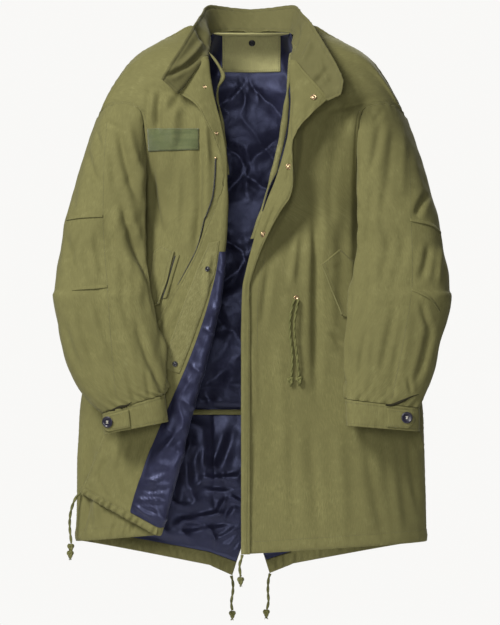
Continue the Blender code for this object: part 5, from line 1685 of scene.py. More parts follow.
def weave_group():
    """Twill: fine slanting ribs crossed by the weft, as a height to bump and a mask for colour."""
    tree, given, result = group(
        "twill",
        [("Size", "NodeSocketFloat", 1.0)],
        [("Height", "NodeSocketFloat"), ("Mask", "NodeSocketFloat")],
    )
    place = node(tree, "ShaderNodeUVMap", uv_map=UV_NAME)
    scaled = node(tree, "ShaderNodeVectorMath", operation="SCALE")
    tree.links.new(place.outputs["UV"], scaled.inputs[0])
    tree.links.new(given.outputs["Size"], scaled.inputs["Scale"])
    turned_place = node(tree, "ShaderNodeMapping")
    turned_place.inputs["Rotation"].default_value = (0, 0, math.radians(58))
    tree.links.new(scaled.outputs["Vector"], turned_place.inputs["Vector"])
    ribs = node(tree, "ShaderNodeTexWave", Scale=210.0, Distortion=0.6, Detail=1.0, Detail_Scale=1.0)
    tree.links.new(turned_place.outputs["Vector"], ribs.inputs["Vector"])
    weft = node(tree, "ShaderNodeTexWave", Scale=150.0, Distortion=0.8, Detail=1.0, Detail_Scale=1.5)
    weft.bands_direction = "Y"
    tree.links.new(scaled.outputs["Vector"], weft.inputs["Vector"])
    slub_place = node(tree, "ShaderNodeMapping")
    slub_place.inputs["Scale"].default_value = (1400, 90, 1)
    tree.links.new(scaled.outputs["Vector"], slub_place.inputs["Vector"])
    slub = node(tree, "ShaderNodeTexNoise", Scale=1.0, Detail=2.0)
    tree.links.new(slub_place.outputs["Vector"], slub.inputs["Vector"])
    streak_place = node(tree, "ShaderNodeMapping")
    streak_place.inputs["Scale"].default_value = (430, 75, 1)
    tree.links.new(scaled.outputs["Vector"], streak_place.inputs["Vector"])
    streak = node(tree, "ShaderNodeTexNoise", Scale=1.0, Detail=3.0, Roughness=0.7)
    tree.links.new(streak_place.outputs["Vector"], streak.inputs["Vector"])
    height = value_of(tree, "MULTIPLY_ADD", ribs.outputs["Fac"], 0.7)
    tree.links.new(value_of(tree, "MULTIPLY", weft.outputs["Fac"], 0.3), height.node.inputs[2])
    both = value_of(tree, "ADD", height, value_of(tree, "MULTIPLY", slub.outputs["Fac"], 0.5))
    tree.links.new(both, result.inputs["Height"])
    mask = value_of(tree, "ADD", value_of(tree, "MULTIPLY", slub.outputs["Fac"], 0.35),
                    value_of(tree, "MULTIPLY", streak.outputs["Fac"], 0.65))
    tree.links.new(mask, result.inputs["Mask"])
    return tree


def mottle_group():
    """Uneven dye and soft wear: a colour between a dark, a middle and a worn tone."""
    tree, given, result = group(
        "mottle",
        [
            ("Dark", "NodeSocketColor", (0.1, 0.1, 0.1, 1)),
            ("Middle", "NodeSocketColor", (0.2, 0.2, 0.2, 1)),
            ("Worn", "NodeSocketColor", (0.3, 0.3, 0.3, 1)),
            ("Wear", "NodeSocketFloat", 0.2),
        ],
        [("Color", "NodeSocketColor"), ("Cloud", "NodeSocketFloat")],
    )
    place = node(tree, "ShaderNodeTexCoord")
    cloud = node(tree, "ShaderNodeTexNoise", Scale=7.0, Detail=4.0, Roughness=0.55)
    blotch = node(tree, "ShaderNodeTexNoise", Scale=46.0, Detail=5.0, Roughness=0.65)
    fleck = node(tree, "ShaderNodeTexNoise", Scale=900.0, Detail=2.0, Roughness=0.6)
    for texture in (cloud, blotch, fleck):
        tree.links.new(place.outputs["Object"], texture.inputs["Vector"])
    level = value_of(tree, "ADD", value_of(tree, "MULTIPLY", cloud.outputs["Fac"], 0.45),
                     value_of(tree, "MULTIPLY", blotch.outputs["Fac"], 0.35))
    level = value_of(tree, "ADD", level, value_of(tree, "MULTIPLY", fleck.outputs["Fac"], 0.2))
    ramp = node(tree, "ShaderNodeMapRange", From_Min=0.36, From_Max=0.64)
    tree.links.new(level, ramp.inputs["Value"])
    base = mixed(tree, ramp.outputs["Result"], given.outputs["Dark"], given.outputs["Middle"])
    worn = node(tree, "ShaderNodeMapRange", From_Min=0.56, From_Max=0.72)
    tree.links.new(blotch.outputs["Fac"], worn.inputs["Value"])
    share = value_of(tree, "MULTIPLY", worn.outputs["Result"], given.outputs["Wear"])
    tree.links.new(mixed(tree, share, base, given.outputs["Worn"]), result.inputs["Color"])
    tree.links.new(ramp.outputs["Result"], result.inputs["Cloud"])
    return tree


def fuzz_group():
    """Loop pile: tight curly bumps, and a mask of the hollows between them that the tape darkens as painted shade.
    """
    tree, given, result = group(
        "loop_pile",
        [("Size", "NodeSocketFloat", 900.0)],
        [("Height", "NodeSocketFloat"), ("Mask", "NodeSocketFloat")],
    )
    place = node(tree, "ShaderNodeTexCoord")
    cells = node(tree, "ShaderNodeTexVoronoi", feature="SMOOTH_F1", Randomness=1.0)
    tree.links.new(place.outputs["Object"], cells.inputs["Vector"])
    tree.links.new(given.outputs["Size"], cells.inputs["Scale"])
    rough = node(tree, "ShaderNodeTexNoise", Scale=1500.0, Detail=3.0)
    tree.links.new(place.outputs["Object"], rough.inputs["Vector"])
    height = value_of(tree, "SUBTRACT", rough.outputs["Fac"], cells.outputs["Distance"])
    tree.links.new(height, result.inputs["Height"])
    tree.links.new(cells.outputs["Distance"], result.inputs["Mask"])
    return tree


def effect(name, maker):
    return bpy.data.node_groups.get(name) or maker()


def new_material(name):
    made = bpy.data.materials.new(name)
    made.use_nodes = True
    return made, made.node_tree, made.node_tree.nodes["Principled BSDF"]


def use_group(tree, made_group, **values):
    used = tree.nodes.new("ShaderNodeGroup")
    used.node_tree = made_group
    for key, value in values.items():
        used.inputs[key].default_value = value
    return used


def bumped(tree, shader, height, strength, distance):
    bump = node(tree, "ShaderNodeBump", Strength=strength, Distance=distance)
    tree.links.new(height, bump.inputs["Height"])
    tree.links.new(bump.outputs["Normal"], shader.inputs["Normal"])
    return bump


def cotton(name, dark, middle, worn, wear=0.3, size=1.0):
    """Washed cotton: twill, uneven dye, a little nap."""
    found = bpy.data.materials.get(name)
    if found:
        return found
    made, tree, shader = new_material(name)
    dye = use_group(
        tree, effect("mottle", mottle_group), Dark=dark, Middle=middle, Worn=worn, Wear=wear
    )
    twill = use_group(tree, effect("twill", weave_group), Size=size)
    shade = node(tree, "ShaderNodeMapRange", From_Min=0.36, From_Max=0.62, To_Min=0.0, To_Max=1.0)
    tree.links.new(twill.outputs["Mask"], shade.inputs["Value"])
    tree.links.new(
        mixed(tree, shade.outputs["Result"], dye.outputs["Color"], dark), shader.inputs["Base Color"]
    )
    bumped(tree, shader, twill.outputs["Height"], 0.35, 0.00022)
    shader.inputs["Roughness"].default_value = 0.86
    shader.inputs["Sheen Weight"].default_value = 0.12
    shader.inputs["Sheen Roughness"].default_value = 0.45
    shader.inputs["Sheen Tint"].default_value = (0.72, 0.7, 0.48, 1)
    shader.inputs["Specular IOR Level"].default_value = 0.25
    return made


def olive():
    return cotton("olive_cloth", OLIVE_DARK, OLIVE_MIDDLE, OLIVE_WORN)


def olive_binding():
    return cotton("olive_binding", OLIVE_DARK, OLIVE_BINDING, OLIVE_WORN, 0.2, 1.4)


# Painted light: the yoke's cloth is made much lighter than the shell so that it looks lit inside the neck.
def olive_yoke_painted_light():
    return cotton("olive_yoke_painted_light", OLIVE_YOKE_PAINTED_LIGHT_DARK, OLIVE_YOKE_PAINTED_LIGHT, OLIVE_YOKE_PAINTED_LIGHT, 0.2, 1.4)


# Painted shade: the collar's cloth is darkened against the shell's so its inside looks less lit.
def olive_collar_painted_shade():
    return cotton("olive_collar_painted_shade", OLIVE_COLLAR_PAINTED_SHADE_DARK, OLIVE_COLLAR_PAINTED_SHADE, OLIVE_WORN, 0.2)


# A near-black olive cloth that stands in as painted shadow.
def painted_shade_cloth():
    return cotton("olive_painted_shade", OLIVE_PAINTED_SHADE, OLIVE_PAINTED_SHADE, OLIVE_DARK, 0.05)


def satin():
    """Navy lining: thin, smooth and shiny, with a fine crinkle."""
    found = bpy.data.materials.get("navy_lining")
    if found:
        return found
    made, tree, shader = new_material("navy_lining")
    dye = use_group(
        tree, effect("mottle", mottle_group),
        Dark=NAVY_DARK, Middle=NAVY_MIDDLE, Worn=NAVY_LIGHT, Wear=0.25,
    )
    tree.links.new(dye.outputs["Color"], shader.inputs["Base Color"])
    place = node(tree, "ShaderNodeTexCoord")
    fine = node(tree, "ShaderNodeTexNoise", Scale=60.0, Detail=4.0, Roughness=0.5, Distortion=1.2)
    tree.links.new(place.outputs["Object"], fine.inputs["Vector"])
    bumped(tree, shader, fine.outputs["Fac"], 0.16, 0.003)
    gloss = node(tree, "ShaderNodeMapRange", To_Min=0.36, To_Max=0.5)
    tree.links.new(dye.outputs["Cloud"], gloss.inputs["Value"])
    tree.links.new(gloss.outputs["Result"], shader.inputs["Roughness"])
    shader.inputs["Specular IOR Level"].default_value = 0.5
    shader.inputs["Specular Tint"].default_value = (0.5, 0.56, 0.95, 1)
    shader.inputs["Sheen Weight"].default_value = 0.12
    shader.inputs["Sheen Tint"].default_value = (0.35, 0.4, 0.7, 1)
    return made


def loop_tape():
    found = bpy.data.materials.get("loop_tape")
    if found:
        return found
    made, tree, shader = new_material("loop_tape")
    pile = use_group(tree, effect("loop_pile", fuzz_group), Size=700.0)
    dye = use_group(
        tree, effect("mottle", mottle_group),
        Dark=TAPE_DARK, Middle=TAPE_MIDDLE, Worn=TAPE_LIGHT, Wear=0.5,
    )
    # Painted shade: the hollows between the loops are darkened towards the dark tape tone.
    shade = node(tree, "ShaderNodeMapRange", From_Min=0.2, From_Max=0.9, To_Min=0.0, To_Max=0.7)
    tree.links.new(pile.outputs["Mask"], shade.inputs["Value"])
    band_place = node(tree, "ShaderNodeUVMap", uv_map=UV_NAME)
    stretched = node(tree, "ShaderNodeMapping")
    stretched.inputs["Scale"].default_value = (14, 105, 1)
    tree.links.new(band_place.outputs["UV"], stretched.inputs["Vector"])
    band = node(tree, "ShaderNodeTexNoise", Scale=1.0, Detail=2.0, Roughness=0.45)
    tree.links.new(stretched.outputs["Vector"], band.inputs["Vector"])
    banded = node(tree, "ShaderNodeMapRange", From_Min=0.4, From_Max=0.6, To_Min=0.0, To_Max=0.8)
    tree.links.new(band.outputs["Fac"], banded.inputs["Value"])
    colour = mixed(tree, banded.outputs["Result"], dye.outputs["Color"], TAPE_DARK)
    colour = mixed(tree, shade.outputs["Result"], colour, TAPE_DARK)
    tree.links.new(colour, shader.inputs["Base Color"])
    bumped(tree, shader, pile.outputs["Height"], 0.9, 0.0009)
    shader.inputs["Roughness"].default_value = 0.95
    shader.inputs["Sheen Weight"].default_value = 0.3
    return made


def metal(name, colour, dull, roughness, metallic):
    """Stamped metal with light handling marks."""
    found = bpy.data.materials.get(name)
    if found:
        return found
    made, tree, shader = new_material(name)
    dye = use_group(
        tree, effect("mottle", mottle_group), Dark=dull, Middle=colour, Worn=colour, Wear=0.2
    )
    tree.links.new(dye.outputs["Color"], shader.inputs["Base Color"])
    place = node(tree, "ShaderNodeTexCoord")
    marks = node(tree, "ShaderNodeTexNoise", Scale=2200.0, Detail=3.0)
    tree.links.new(place.outputs["Object"], marks.inputs["Vector"])
    bumped(tree, shader, marks.outputs["Fac"], 0.2, 0.0001)
    worn = node(tree, "ShaderNodeMapRange", To_Min=roughness, To_Max=roughness + 0.15)
    tree.links.new(dye.outputs["Cloud"], worn.inputs["Value"])
    tree.links.new(worn.outputs["Result"], shader.inputs["Roughness"])
    shader.inputs["Metallic"].default_value = metallic
    return made


def brass():
    return metal("brass_snap", BRASS, BRASS_DULL, 0.26, 1.0)


def black_enamel():
    return metal("black_snap", BLACK, BLACK_DULL, 0.22, 0.0)


def plastic():
    return metal("navy_plastic", BUTTON_NAVY, BUTTON_DARK, 0.24, 0.0)


def thread(name, colour):
    found = bpy.data.materials.get(name)
    if found:
        return found
    made, tree, shader = new_material(name)
    place = node(tree, "ShaderNodeTexCoord")
    strands = node(tree, "ShaderNodeTexNoise", Scale=2600.0, Detail=2.0)
    tree.links.new(place.outputs["Object"], strands.inputs["Vector"])
    dark = tuple(c * 0.72 for c in colour[:3]) + (1.0,)
    tree.links.new(mixed(tree, strands.outputs["Fac"], dark, colour), shader.inputs["Base Color"])
    bumped(tree, shader, strands.outputs["Fac"], 0.4, 0.0001)
    shader.inputs["Roughness"].default_value = 0.7
    shader.inputs["Sheen Weight"].default_value = 0.15
    return made


# The thread's dark tone is partly its own and partly painted shade of the seam lines.
def olive_thread_with_painted_shade():
    return thread("olive_thread_with_painted_shade", OLIVE_THREAD_WITH_PAINTED_SHADE)


# Painted shadow: a near-black finish for openings that are dark only from shade.
def painted_shade_navy():
    return thread("navy_painted_shade", NAVY_PAINTED_SHADE)


def pale_thread():
    return thread("pale_thread", PALE_THREAD)


def rope():
    """Cotton cord: fine fibres that follow the strands."""
    found = bpy.data.materials.get("cotton_cord")
    if found:
        return found
    made, tree, shader = new_material("cotton_cord")
    dye = use_group(
        tree, effect("mottle", mottle_group),
        Dark=CORD_DARK, Middle=CORD_MIDDLE, Worn=CORD_LIGHT, Wear=0.5,
    )
    place = node(tree, "ShaderNodeTexCoord")
    fibres = node(tree, "ShaderNodeTexNoise", Scale=1300.0, Detail=4.0, Roughness=0.7)
    tree.links.new(place.outputs["Object"], fibres.inputs["Vector"])
    shade = node(tree, "ShaderNodeMapRange", From_Min=0.35, From_Max=0.65, To_Min=0.5, To_Max=0.0)
    tree.links.new(fibres.outputs["Fac"], shade.inputs["Value"])
    tree.links.new(
        mixed(tree, shade.outputs["Result"], dye.outputs["Color"], CORD_DARK),
        shader.inputs["Base Color"],
    )
    bumped(tree, shader, fibres.outputs["Fac"], 0.6, 0.0004)
    shader.inputs["Roughness"].default_value = 0.9
    return made


def stage_paper():
    found = bpy.data.materials.get("floor_paper")
    if found:
        return found
    made, tree, shader = new_material("floor_paper")
    place = node(tree, "ShaderNodeTexCoord")
    grain = node(tree, "ShaderNodeTexNoise", Scale=3.0, Detail=3.0)
    tree.links.new(place.outputs["Object"], grain.inputs["Vector"])
    tree.links.new(mixed(tree, grain.outputs["Fac"], PAPER, PAPER_WARM), shader.inputs["Base Color"])
    shader.inputs["Roughness"].default_value = 0.95
    shader.inputs["Specular IOR Level"].default_value = 0.1
    return made


def seated(cloth, grid, lift, spacing, margins=()):
    """A fine grid on a coarse one's outline, each point set over the cloth that carries it."""
    fine = refined(grid, spacing, margins=margins)
    face = np.zeros_like(fine)
    out = np.zeros_like(fine)
    for i in range(fine.shape[0]):
        for j in range(fine.shape[1]):
            face[i, j], out[i, j] = cloth.near(fine[i, j], lift)
    return face, out


def outlined(cloth, top, bottom, lift, spacing=2.4 * MM, toward=(0, -1, 0)):
    """A fine grid between two outlines of (x, z) millimetres, laid over the cloth."""
    width = max(abs(np.ptp(np.array(top)[:, 0])), abs(np.ptp(np.array(bottom)[:, 0]))) * MM
    height = abs(top[0][1] - bottom[0][1]) * MM
    columns, rows = max(4, int(width / spacing)), max(4, int(height / spacing))
    face = np.zeros((rows + 1, columns + 1, 3))
    for j in range(columns + 1):
        upper, lower = along(top, j / columns), along(bottom, j / columns)
        for i in range(rows + 1):
            x, z = upper + (lower - upper) * i / rows
            face[i, j] = cloth.at(x, z, lift, toward)[0]
    return face, facing(normals_of(face), toward)


def worked(face, normals, lift, toward=None):
    """The face moved along its normals, and its new normals."""
    moved = face + normals * lift[..., None]
    again = normals_of(moved)
    return moved, facing(again, normals.reshape(-1, 3).mean(axis=0) if toward is None else toward)


def hem_gathers(edges, across, seed, width=CASING_WIDTH, height=0.9 * MM):
    """The drawcord casing along a hem: its stitch row, a rounded tunnel and small gathers."""
    distance = edges["bottom"]
    inside = 1 - ease(width - 2 * MM, width + 1 * MM, distance)
    tunnel = 1.2 * MM * np.sin(np.clip(distance / width, 0, 1) * math.pi) ** 0.7 * inside
    seam = -0.9 * MM * bell(distance - width, 1.4 * MM)
    gathers = pucker(np.abs(distance - width * 0.6), across, seed, height, 16 * MM, 22 * MM)
    return tunnel + seam + gathers


def behind_edge(edge, sizes, side, x, z):
    """The hollow that a front's cloth keeps behind a loose edge which stands off it."""
    corners = np.array([view_point(*place) for place in edge])[::-1]
    line = np.interp(z, corners[:, 1], corners[:, 0])
    beyond = (x - line) * side
    depth, width = (size * MM for size in sizes)
    inside = ease(0, 150 * MM, z - corners[0, 1]) * ease(-6 * MM, 18 * MM, corners[-1, 1] - z)
    return -depth * ease(-10 * MM, 12 * MM, beyond) * (1 - ease(0.2 * width, width, beyond)) * inside


def front_shell(side, settings):
    """A front: its face with creases, sewn edges and hem, and its normals."""
    grid = with_shoulder_row(front_grid(side), side)
    face = refined(grid, settings.cloth_spacing)
    toward = (0, -1, 0)
    normals = facing(normals_of(face), toward)
    x, z = face[..., 0], face[..., 2]
    edges = edge_distances(face)
    down, across = runs(face, 0), runs(face, 1)
    creases = on_view(LEFT_FRONT_CREASES if side == LEFT else RIGHT_FRONT_CREASES)
    lift = strokes(creases, x, z) * settings.crease_depth
    lift += ripples(x, z, 20 + side, 0.8 * MM, 105 * MM) * ease(0, 60 * MM, edges["bottom"])
    lift += crumple(face, 34 * MM, 4 + side, 0.7 * MM) + crumple(face, 11 * MM, 9 + side, 0.22 * MM)
    edge, sizes = (FACING_EDGE, FACING_HOLLOW) if side == LEFT else (FLAP_EDGE, FLAP_HOLLOW)
    lift += behind_edge(edge, sizes, side, x, z)
    lift *= ease(0, 26 * MM, edges["start"]) * 0.8 + 0.2
    lift += sewn_edge(edges["start"], down, 30 + side)
    lift += sewn_edge(edges["top"], across, 34 + side)
    lift += -0.6 * MM * bell(edges["end"] - 12 * MM, 1.3 * MM)
    lift += pucker(np.abs(edges["end"] - 12 * MM), down, 40, 0.3 * MM, 13 * MM, 9 * MM)
    lift += hem_gathers(edges, across, 44 + side, height=(1.2 if side == LEFT else 0.5) * MM)
    return worked(face, normals, lift, toward)


def back_shell(side, settings):
    grid = with_shoulder_row(back_grid(side), side, back=True)
    face = refined(grid, settings.cloth_spacing * 1.12)
    toward = (0, 1, 0)
    normals = facing(normals_of(face), toward)
    x, z = face[..., 0], face[..., 2]
    edges = edge_distances(face)
    down, across = runs(face, 0), runs(face, 1)
    creases = on_view(BACK_CREASES)
    if side == RIGHT:
        creases = mirrored(creases)
    lift = strokes(creases, x + 4 * MM * side, z + 9 * MM * side) * settings.crease_depth * 0.5
    lift = np.maximum(lift, -BACK_DIP)
    lift += ripples(x, z, 60 + side, 1.1 * MM, 110 * MM) * ease(0, 60 * MM, edges["bottom"])
    lift += crumple(face, 36 * MM, 14 + side, 0.8 * MM) + crumple(face, 12 * MM, 19 + side, 0.22 * MM)
    lift *= ease(0, 26 * MM, edges["start"]) * 0.8 + 0.2
    lift += sewn_edge(edges["start"], down, 70 + side)
    lift += sewn_edge(edges["top"], across, 74 + side)
    lift += sewn_edge(edges["end"], down, 78 + side, rows=(6.4,))
    near_tip = 1 - ease(0, 170 * MM, edges["end"])
    lift += hem_gathers(edges, across, 82 + side, height=0.5 * MM)
    bottom = edges["bottom"]
    lift += near_tip * pucker(np.abs(bottom - 11 * MM), across, 84, 2.4 * MM, 17 * MM, 20 * MM)
    return worked(face, normals, lift, toward)


def turned_shell(side, settings):
    """The cloth beyond a front's fold, turned out over the front, as the viewer sees it."""
    coarse = turned_grid(side)
    tucked = coarse[:, :1].copy()
    tucked[..., 0] += side * 4 * MM
    tucked[..., 1] += 2.4 * MM
    coarse = np.concatenate([tucked, coarse], axis=1)
    face = refined(coarse, settings.cloth_spacing * 0.85)
    toward = (0, -1, 0)
    normals = facing(normals_of(face), toward)
    x, z = face[..., 0], face[..., 2]
    edges = edge_distances(face)
    down, across = runs(face, 0), runs(face, 1)
    creases = TURNED_LEFT_CREASES if side == LEFT else STORM_FLAP_CREASES
    lift = SHELL_WALL + strokes(on_view(creases), x, z) * settings.crease_depth
    if side == RIGHT:
        share = edges["start"] / (edges["start"] + edges["end"] + 1e-6)
        low = view_point(*FLAP_EDGE[-1])[1]
        lift += FLAP_RISE * ease(0, 0.9, share) * ease(0, 170 * MM, z - low)
    flat = ease(12 * MM, 30 * MM, edges["start"])
    lift += ripples(x, z, 90 + side, 0.7 * MM, 70 * MM) * flat
    lift += crumple(face, 16 * MM, 24 + side, 0.45 * MM)
    lift += sewn_edge(edges["end"], down, 94 + side, 0.8, rows=(4.8,))
    lift += -0.5 * MM * bell(edges["top"] - 5 * MM, 1.2 * MM)
    if side == LEFT:
        lift += hem_gathers(edges, across, 98, height=0.4 * MM)
    return worked(face, normals, lift, toward)


def sleeve_shell(side, settings):
    coarse = sleeve_grid(side)
    out = outward_normals(coarse)
    step = coarse[0] - coarse[1]
    step /= np.maximum(np.linalg.norm(step, axis=1, keepdims=True), 1e-9)
    hidden = coarse[0] + step * 3 * MM - out[0] * 4.5 * MM
    coarse = np.concatenate([hidden[None], coarse])
    face = refined(coarse, settings.cloth_spacing * 0.9, around=True)
    normals = outward_normals(face)
    x, z = face[..., 0], face[..., 2]
    to_front = ease(0.05, 0.5, -normals[..., 1])
    to_back = ease(0.05, 0.5, normals[..., 1])
    front = on_view(LEFT_SLEEVE_CREASES if side == LEFT else RIGHT_SLEEVE_CREASES)
    behind = on_view(SLEEVE_BACK_CREASES)
    if side == RIGHT:
        behind = mirrored(behind)
    depth = settings.crease_depth
    lift = strokes(front, x, z) * to_front * depth + strokes(behind, x, z) * to_back * depth
    down = runs(face, 0)
    round_it = runs(face, 1, True)[:, :-1]
    edges = edge_distances(face, around=True)
    total = round_it[:, -1:] + 1e-6
    ring_wave = round_it / total * 0.5
    lift += ripples(ring_wave * np.cos(2 * np.pi * round_it / total), z, 110 + side, 0.9 * MM,
                    70 * MM)
    lift += crumple(face, 30 * MM, 34 + side, 1.1 * MM) + crumple(face, 11 * MM, 39 + side, 0.25 * MM)
    gather = edges["bottom"]
    lift += pucker(gather, round_it, 114 + side, 1.5 * MM, 24 * MM, 22 * MM)
    seam = edges["top"] - 5.4 * MM
    lift += -2.0 * MM * bell(seam, 2.4 * MM) + pucker(np.abs(seam), round_it, 118, 0.7 * MM, 17 * MM)
    lift += -0.9 * MM * bell(gather, 2.0 * MM)
    for where, width in SLEEVE_SEAM_STEPS:
        middle = total * where
        gap = np.abs(round_it - middle)
        lift += -0.9 * MM * bell(gap, width) + pucker(gap, down, 121, 0.35 * MM, 12 * MM, 9 * MM)
    lift += 1.1 * MM
    moved = face + normals * lift[..., None]
    return moved, outward_normals(moved)


def cuff_shell(side):
    table = CUFF[side]
    rings = [tube_ring(side, table, CUFF_COLUMNS, z, SLEEVE_ROUNDNESS, None) for z in table[:, 0]]
    face = refined(np.array(rings), 2.6 * MM, around=True, margins=(1 * MM, 2.4 * MM, 4 * MM, 5.6 * MM))
    normals = outward_normals(face)
    edges = edge_distances(face, around=True)
    around_run = runs(face, 1, True)[:, :-1]
    lift = crumple(face, 18 * MM, 50 + side, 0.9 * MM) + crumple(face, 7 * MM, 54 + side, 0.3 * MM)
    for edge in ("top", "bottom"):
        lift += -0.7 * MM * bell(edges[edge], 1.6 * MM)
        lift += -0.5 * MM * bell(edges[edge] - 5 * MM, 1.1 * MM)
        lift += pucker(edges[edge], around_run, 56 + side, 0.5 * MM, 12 * MM, 9 * MM)
    moved = face + normals * (lift + 1.1 * MM)[..., None]
    return moved, outward_normals(moved)


def collar_shell(settings):
    coarse = np.zeros((COLLAR_ROWS + 1, COLLAR.shape[0], 3))
    for j, row in enumerate(COLLAR):
        for i in range(COLLAR_ROWS + 1):
            coarse[i, j] = row[:3] + (row[3:] - row[:3]) * i / COLLAR_ROWS
    forward = np.clip(-coarse[..., 1] / (40 * MM), 0, 1)
    coarse[..., 1] -= COLLAR_FORWARD * forward
    step = coarse[0] - coarse[1]
    step /= np.linalg.norm(step, axis=1, keepdims=True)
    hidden = coarse[0] + step * 3.5 * MM
    hidden[:, 1] += (4.5 + 3 * forward[0]) * MM
    coarse = np.concatenate([hidden[None], coarse])
    face = refined(coarse, 2.8 * MM)
    toward = (0, -1, 0)
    normals = facing(normals_of(face), toward)
    x, z = face[..., 0], face[..., 2]
    edges = edge_distances(face)
    across = runs(face, 1)
    lift = strokes(on_view(COLLAR_CREASES), x, z) * settings.crease_depth * (face[..., 1] < 40 * MM)
    lift += ripples(across, z, 130, 0.5 * MM, 60 * MM, 2.0) + crumple(face, 16 * MM, 61, 0.5 * MM)
    lift += -0.8 * MM * bell(edges["bottom"], 2 * MM) - 1.2 * MM * bell(edges["bottom"] - 6.4 * MM, 1.5 * MM)
    lift += pucker(edges["bottom"], across, 133, 0.45 * MM, 13 * MM, 12 * MM)
    lift += pucker(edges["top"], across, 134, 0.5 * MM, 15 * MM, 14 * MM)
    for end in ("start", "end"):
        lift += -0.7 * MM * bell(edges[end], 2 * MM) - 1.1 * MM * bell(edges[end] - 6.4 * MM, 1.5 * MM)
    return worked(face, normals, lift, toward)


def onion(x, z):
    """Onion quilting: how far each place lies from the nearest of its wavy stitch lines."""
    swing = QUILT_SWING * QUILT_WIDTH * np.cos(2 * np.pi * (z - QUILT_Z) / QUILT_HEIGHT)
    slope = QUILT_SWING * QUILT_WIDTH * 2 * np.pi / QUILT_HEIGHT
    slope = slope * np.sin(2 * np.pi * (z - QUILT_Z) / QUILT_HEIGHT)
    nearest = np.full_like(x, 1.0)
    for k in range(-QUILT_LINES, QUILT_LINES + 1):
        sign = 1 if k % 2 == 0 else -1
        line = QUILT_X + k * QUILT_WIDTH + sign * swing
        nearest = np.minimum(nearest, np.abs(x - line) / np.sqrt(1 + slope**2))
    return nearest


def liner_shell(settings):
    rows, columns = LINER_GRID
    coarse = np.zeros((rows + 1, columns + 1, 3))
    for i in range(rows + 1):
        z = LINER_TOP_Z + (LINER_HEM_Z - LINER_TOP_Z) * i / rows
        for j in range(columns + 1):
            x = liner_half(z) * math.sin(math.pi * (j / columns - 0.5))
            coarse[i, j] = liner_point(x, z, LINER_INSET)
    face = refined(coarse, settings.cloth_spacing * 0.92, margins=(2 * MM, 5 * MM))
    toward = (0, -1, 0)
    normals = facing(normals_of(face), toward)
    x, z = face[..., 0], face[..., 2]
    edges = edge_distances(face)
    wander = ripples(x, z, 140, 2.5 * MM, 60 * MM, 1.0)
    distance = onion(x + wander, z + wander)
    inside = ease(0, 34 * MM, YOKE_BOTTOM_Z - z) * ease(0, 16 * MM, edges["bottom"])
    inside *= ease(0, 12 * MM, edges["start"]) * ease(0, 12 * MM, edges["end"])
    puff = 1 - np.exp(-((distance / (19 * MM)) ** 1.25))
    lift = settings.quilt_height * puff * inside
    tight = np.exp(-distance / (20 * MM))
    lift += crinkle(face, 32 * MM, 5, 1.9 * MM) * (0.25 + 1.0 * tight) * inside
    lift += crinkle(face, 80 * MM, 8, 3.6 * MM) * inside
    lift += -0.8 * MM * bell(distance, 1.6 * MM) * inside
    lift += crumple(face, 40 * MM, 65, 1.2 * MM)
    lift = np.maximum(lift, 0.0)
    return worked(face, normals, lift, toward)


def tail_lining_shell(side, settings):
    grid = back_grid(side)
    inside = laid(grid, SHELL_WALL + LAID_GAP + LINING_WALL, (0, -1, 0))
    coarse = inside[ARMHOLE_STEPS + LINING_TOP_ROW : -1, TAIL_FIRST_COLUMN:]
    coarse = drawn_in(coarse, LAID_GAP, ("bottom", "end"))
    face = refined(coarse, settings.cloth_spacing * 0.85)
    toward = (0, -1, 0)
    normals = facing(normals_of(face), toward)
    x, z = face[..., 0], face[..., 2]
    edges = edge_distances(face)
    free = ease(0, 26 * MM, edges["bottom"]) * ease(0, 24 * MM, edges["start"])
    free *= ease(30 * MM, 100 * MM, edges["top"]) * 0.85 + 0.15
    free *= ease(0, 16 * MM, edges["end"]) * 0.6 + 0.4
    creases = strokes(on_view(LINING_CREASES), x, z)
    if side == RIGHT:
        creases = creases + strokes(mirrored(on_view(LINING_CREASES)), x, z + 12 * MM) * 0.7
    lift = (9 * MM + creases * settings.crease_depth * LINING_CREASE_SHARE + ripples(x, z, 150 + side, 1.6 * MM, 60 * MM, 2)) * free
    lift += crinkle(face, 70 * MM, 15 + side, 7.0 * MM) * free
    lift += crinkle(face, 30 * MM, 17 + side, 0.9 * MM) * (0.3 + 0.7 * (1 - free))
    return worked(face, normals, np.maximum(lift, 2.4 * MM), toward)


def turned_lining_grid(turned):
    """The lining on the turned left front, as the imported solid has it."""
    rows = turned.shape[0] - 1
    per_step = rows / TURN_STEPS
    lifted = laid(turned, SHELL_WALL + LAID_GAP + LINING_WALL, (0, -1, 0))
    last_row = rows - TURNED_CASING_ROWS - TURNED_CASING_GAP
    lining_rows = [*range(int(TURNED_LINING[0, 0] * per_step) + 1, rows), last_row]
    lining = np.zeros((len(lining_rows), 5, 3))
    for a, row in enumerate(lining_rows):
        edge = read(TURNED_LINING, TURNED_LINING_COLUMNS, "step", "column", row / per_step)
        for b, column in enumerate((edge, (edge + 3) / 2, 3, 2, 1)):
            lining[a, b] = sample(lifted, (row, row), (column, column), (2, 2))[0, 0]
    return lining


def strip_grid(turned):
    """The liner's olive strip on the turned left front."""
    per_step = (turned.shape[0] - 1) / TURN_STEPS
    lifted = laid(turned, SHELL_WALL + LAID_GAP + TRIM_WALL, (0, -1, 0))
    strip = np.zeros((8, 4, 3))
    first, last = LINER_STRIP[0, 0], LINER_STRIP[-1, 0]
    for a in range(strip.shape[0]):
        step = first + (last - first) * a / (strip.shape[0] - 1)
        right, left = (
            read(LINER_STRIP, LINER_STRIP_COLUMNS, "step", want, step) for want in ("right", "left")
        )
        strip[a] = sample(lifted, (step * per_step,) * 2, (left, right), (2, 4))[0]
    return strip


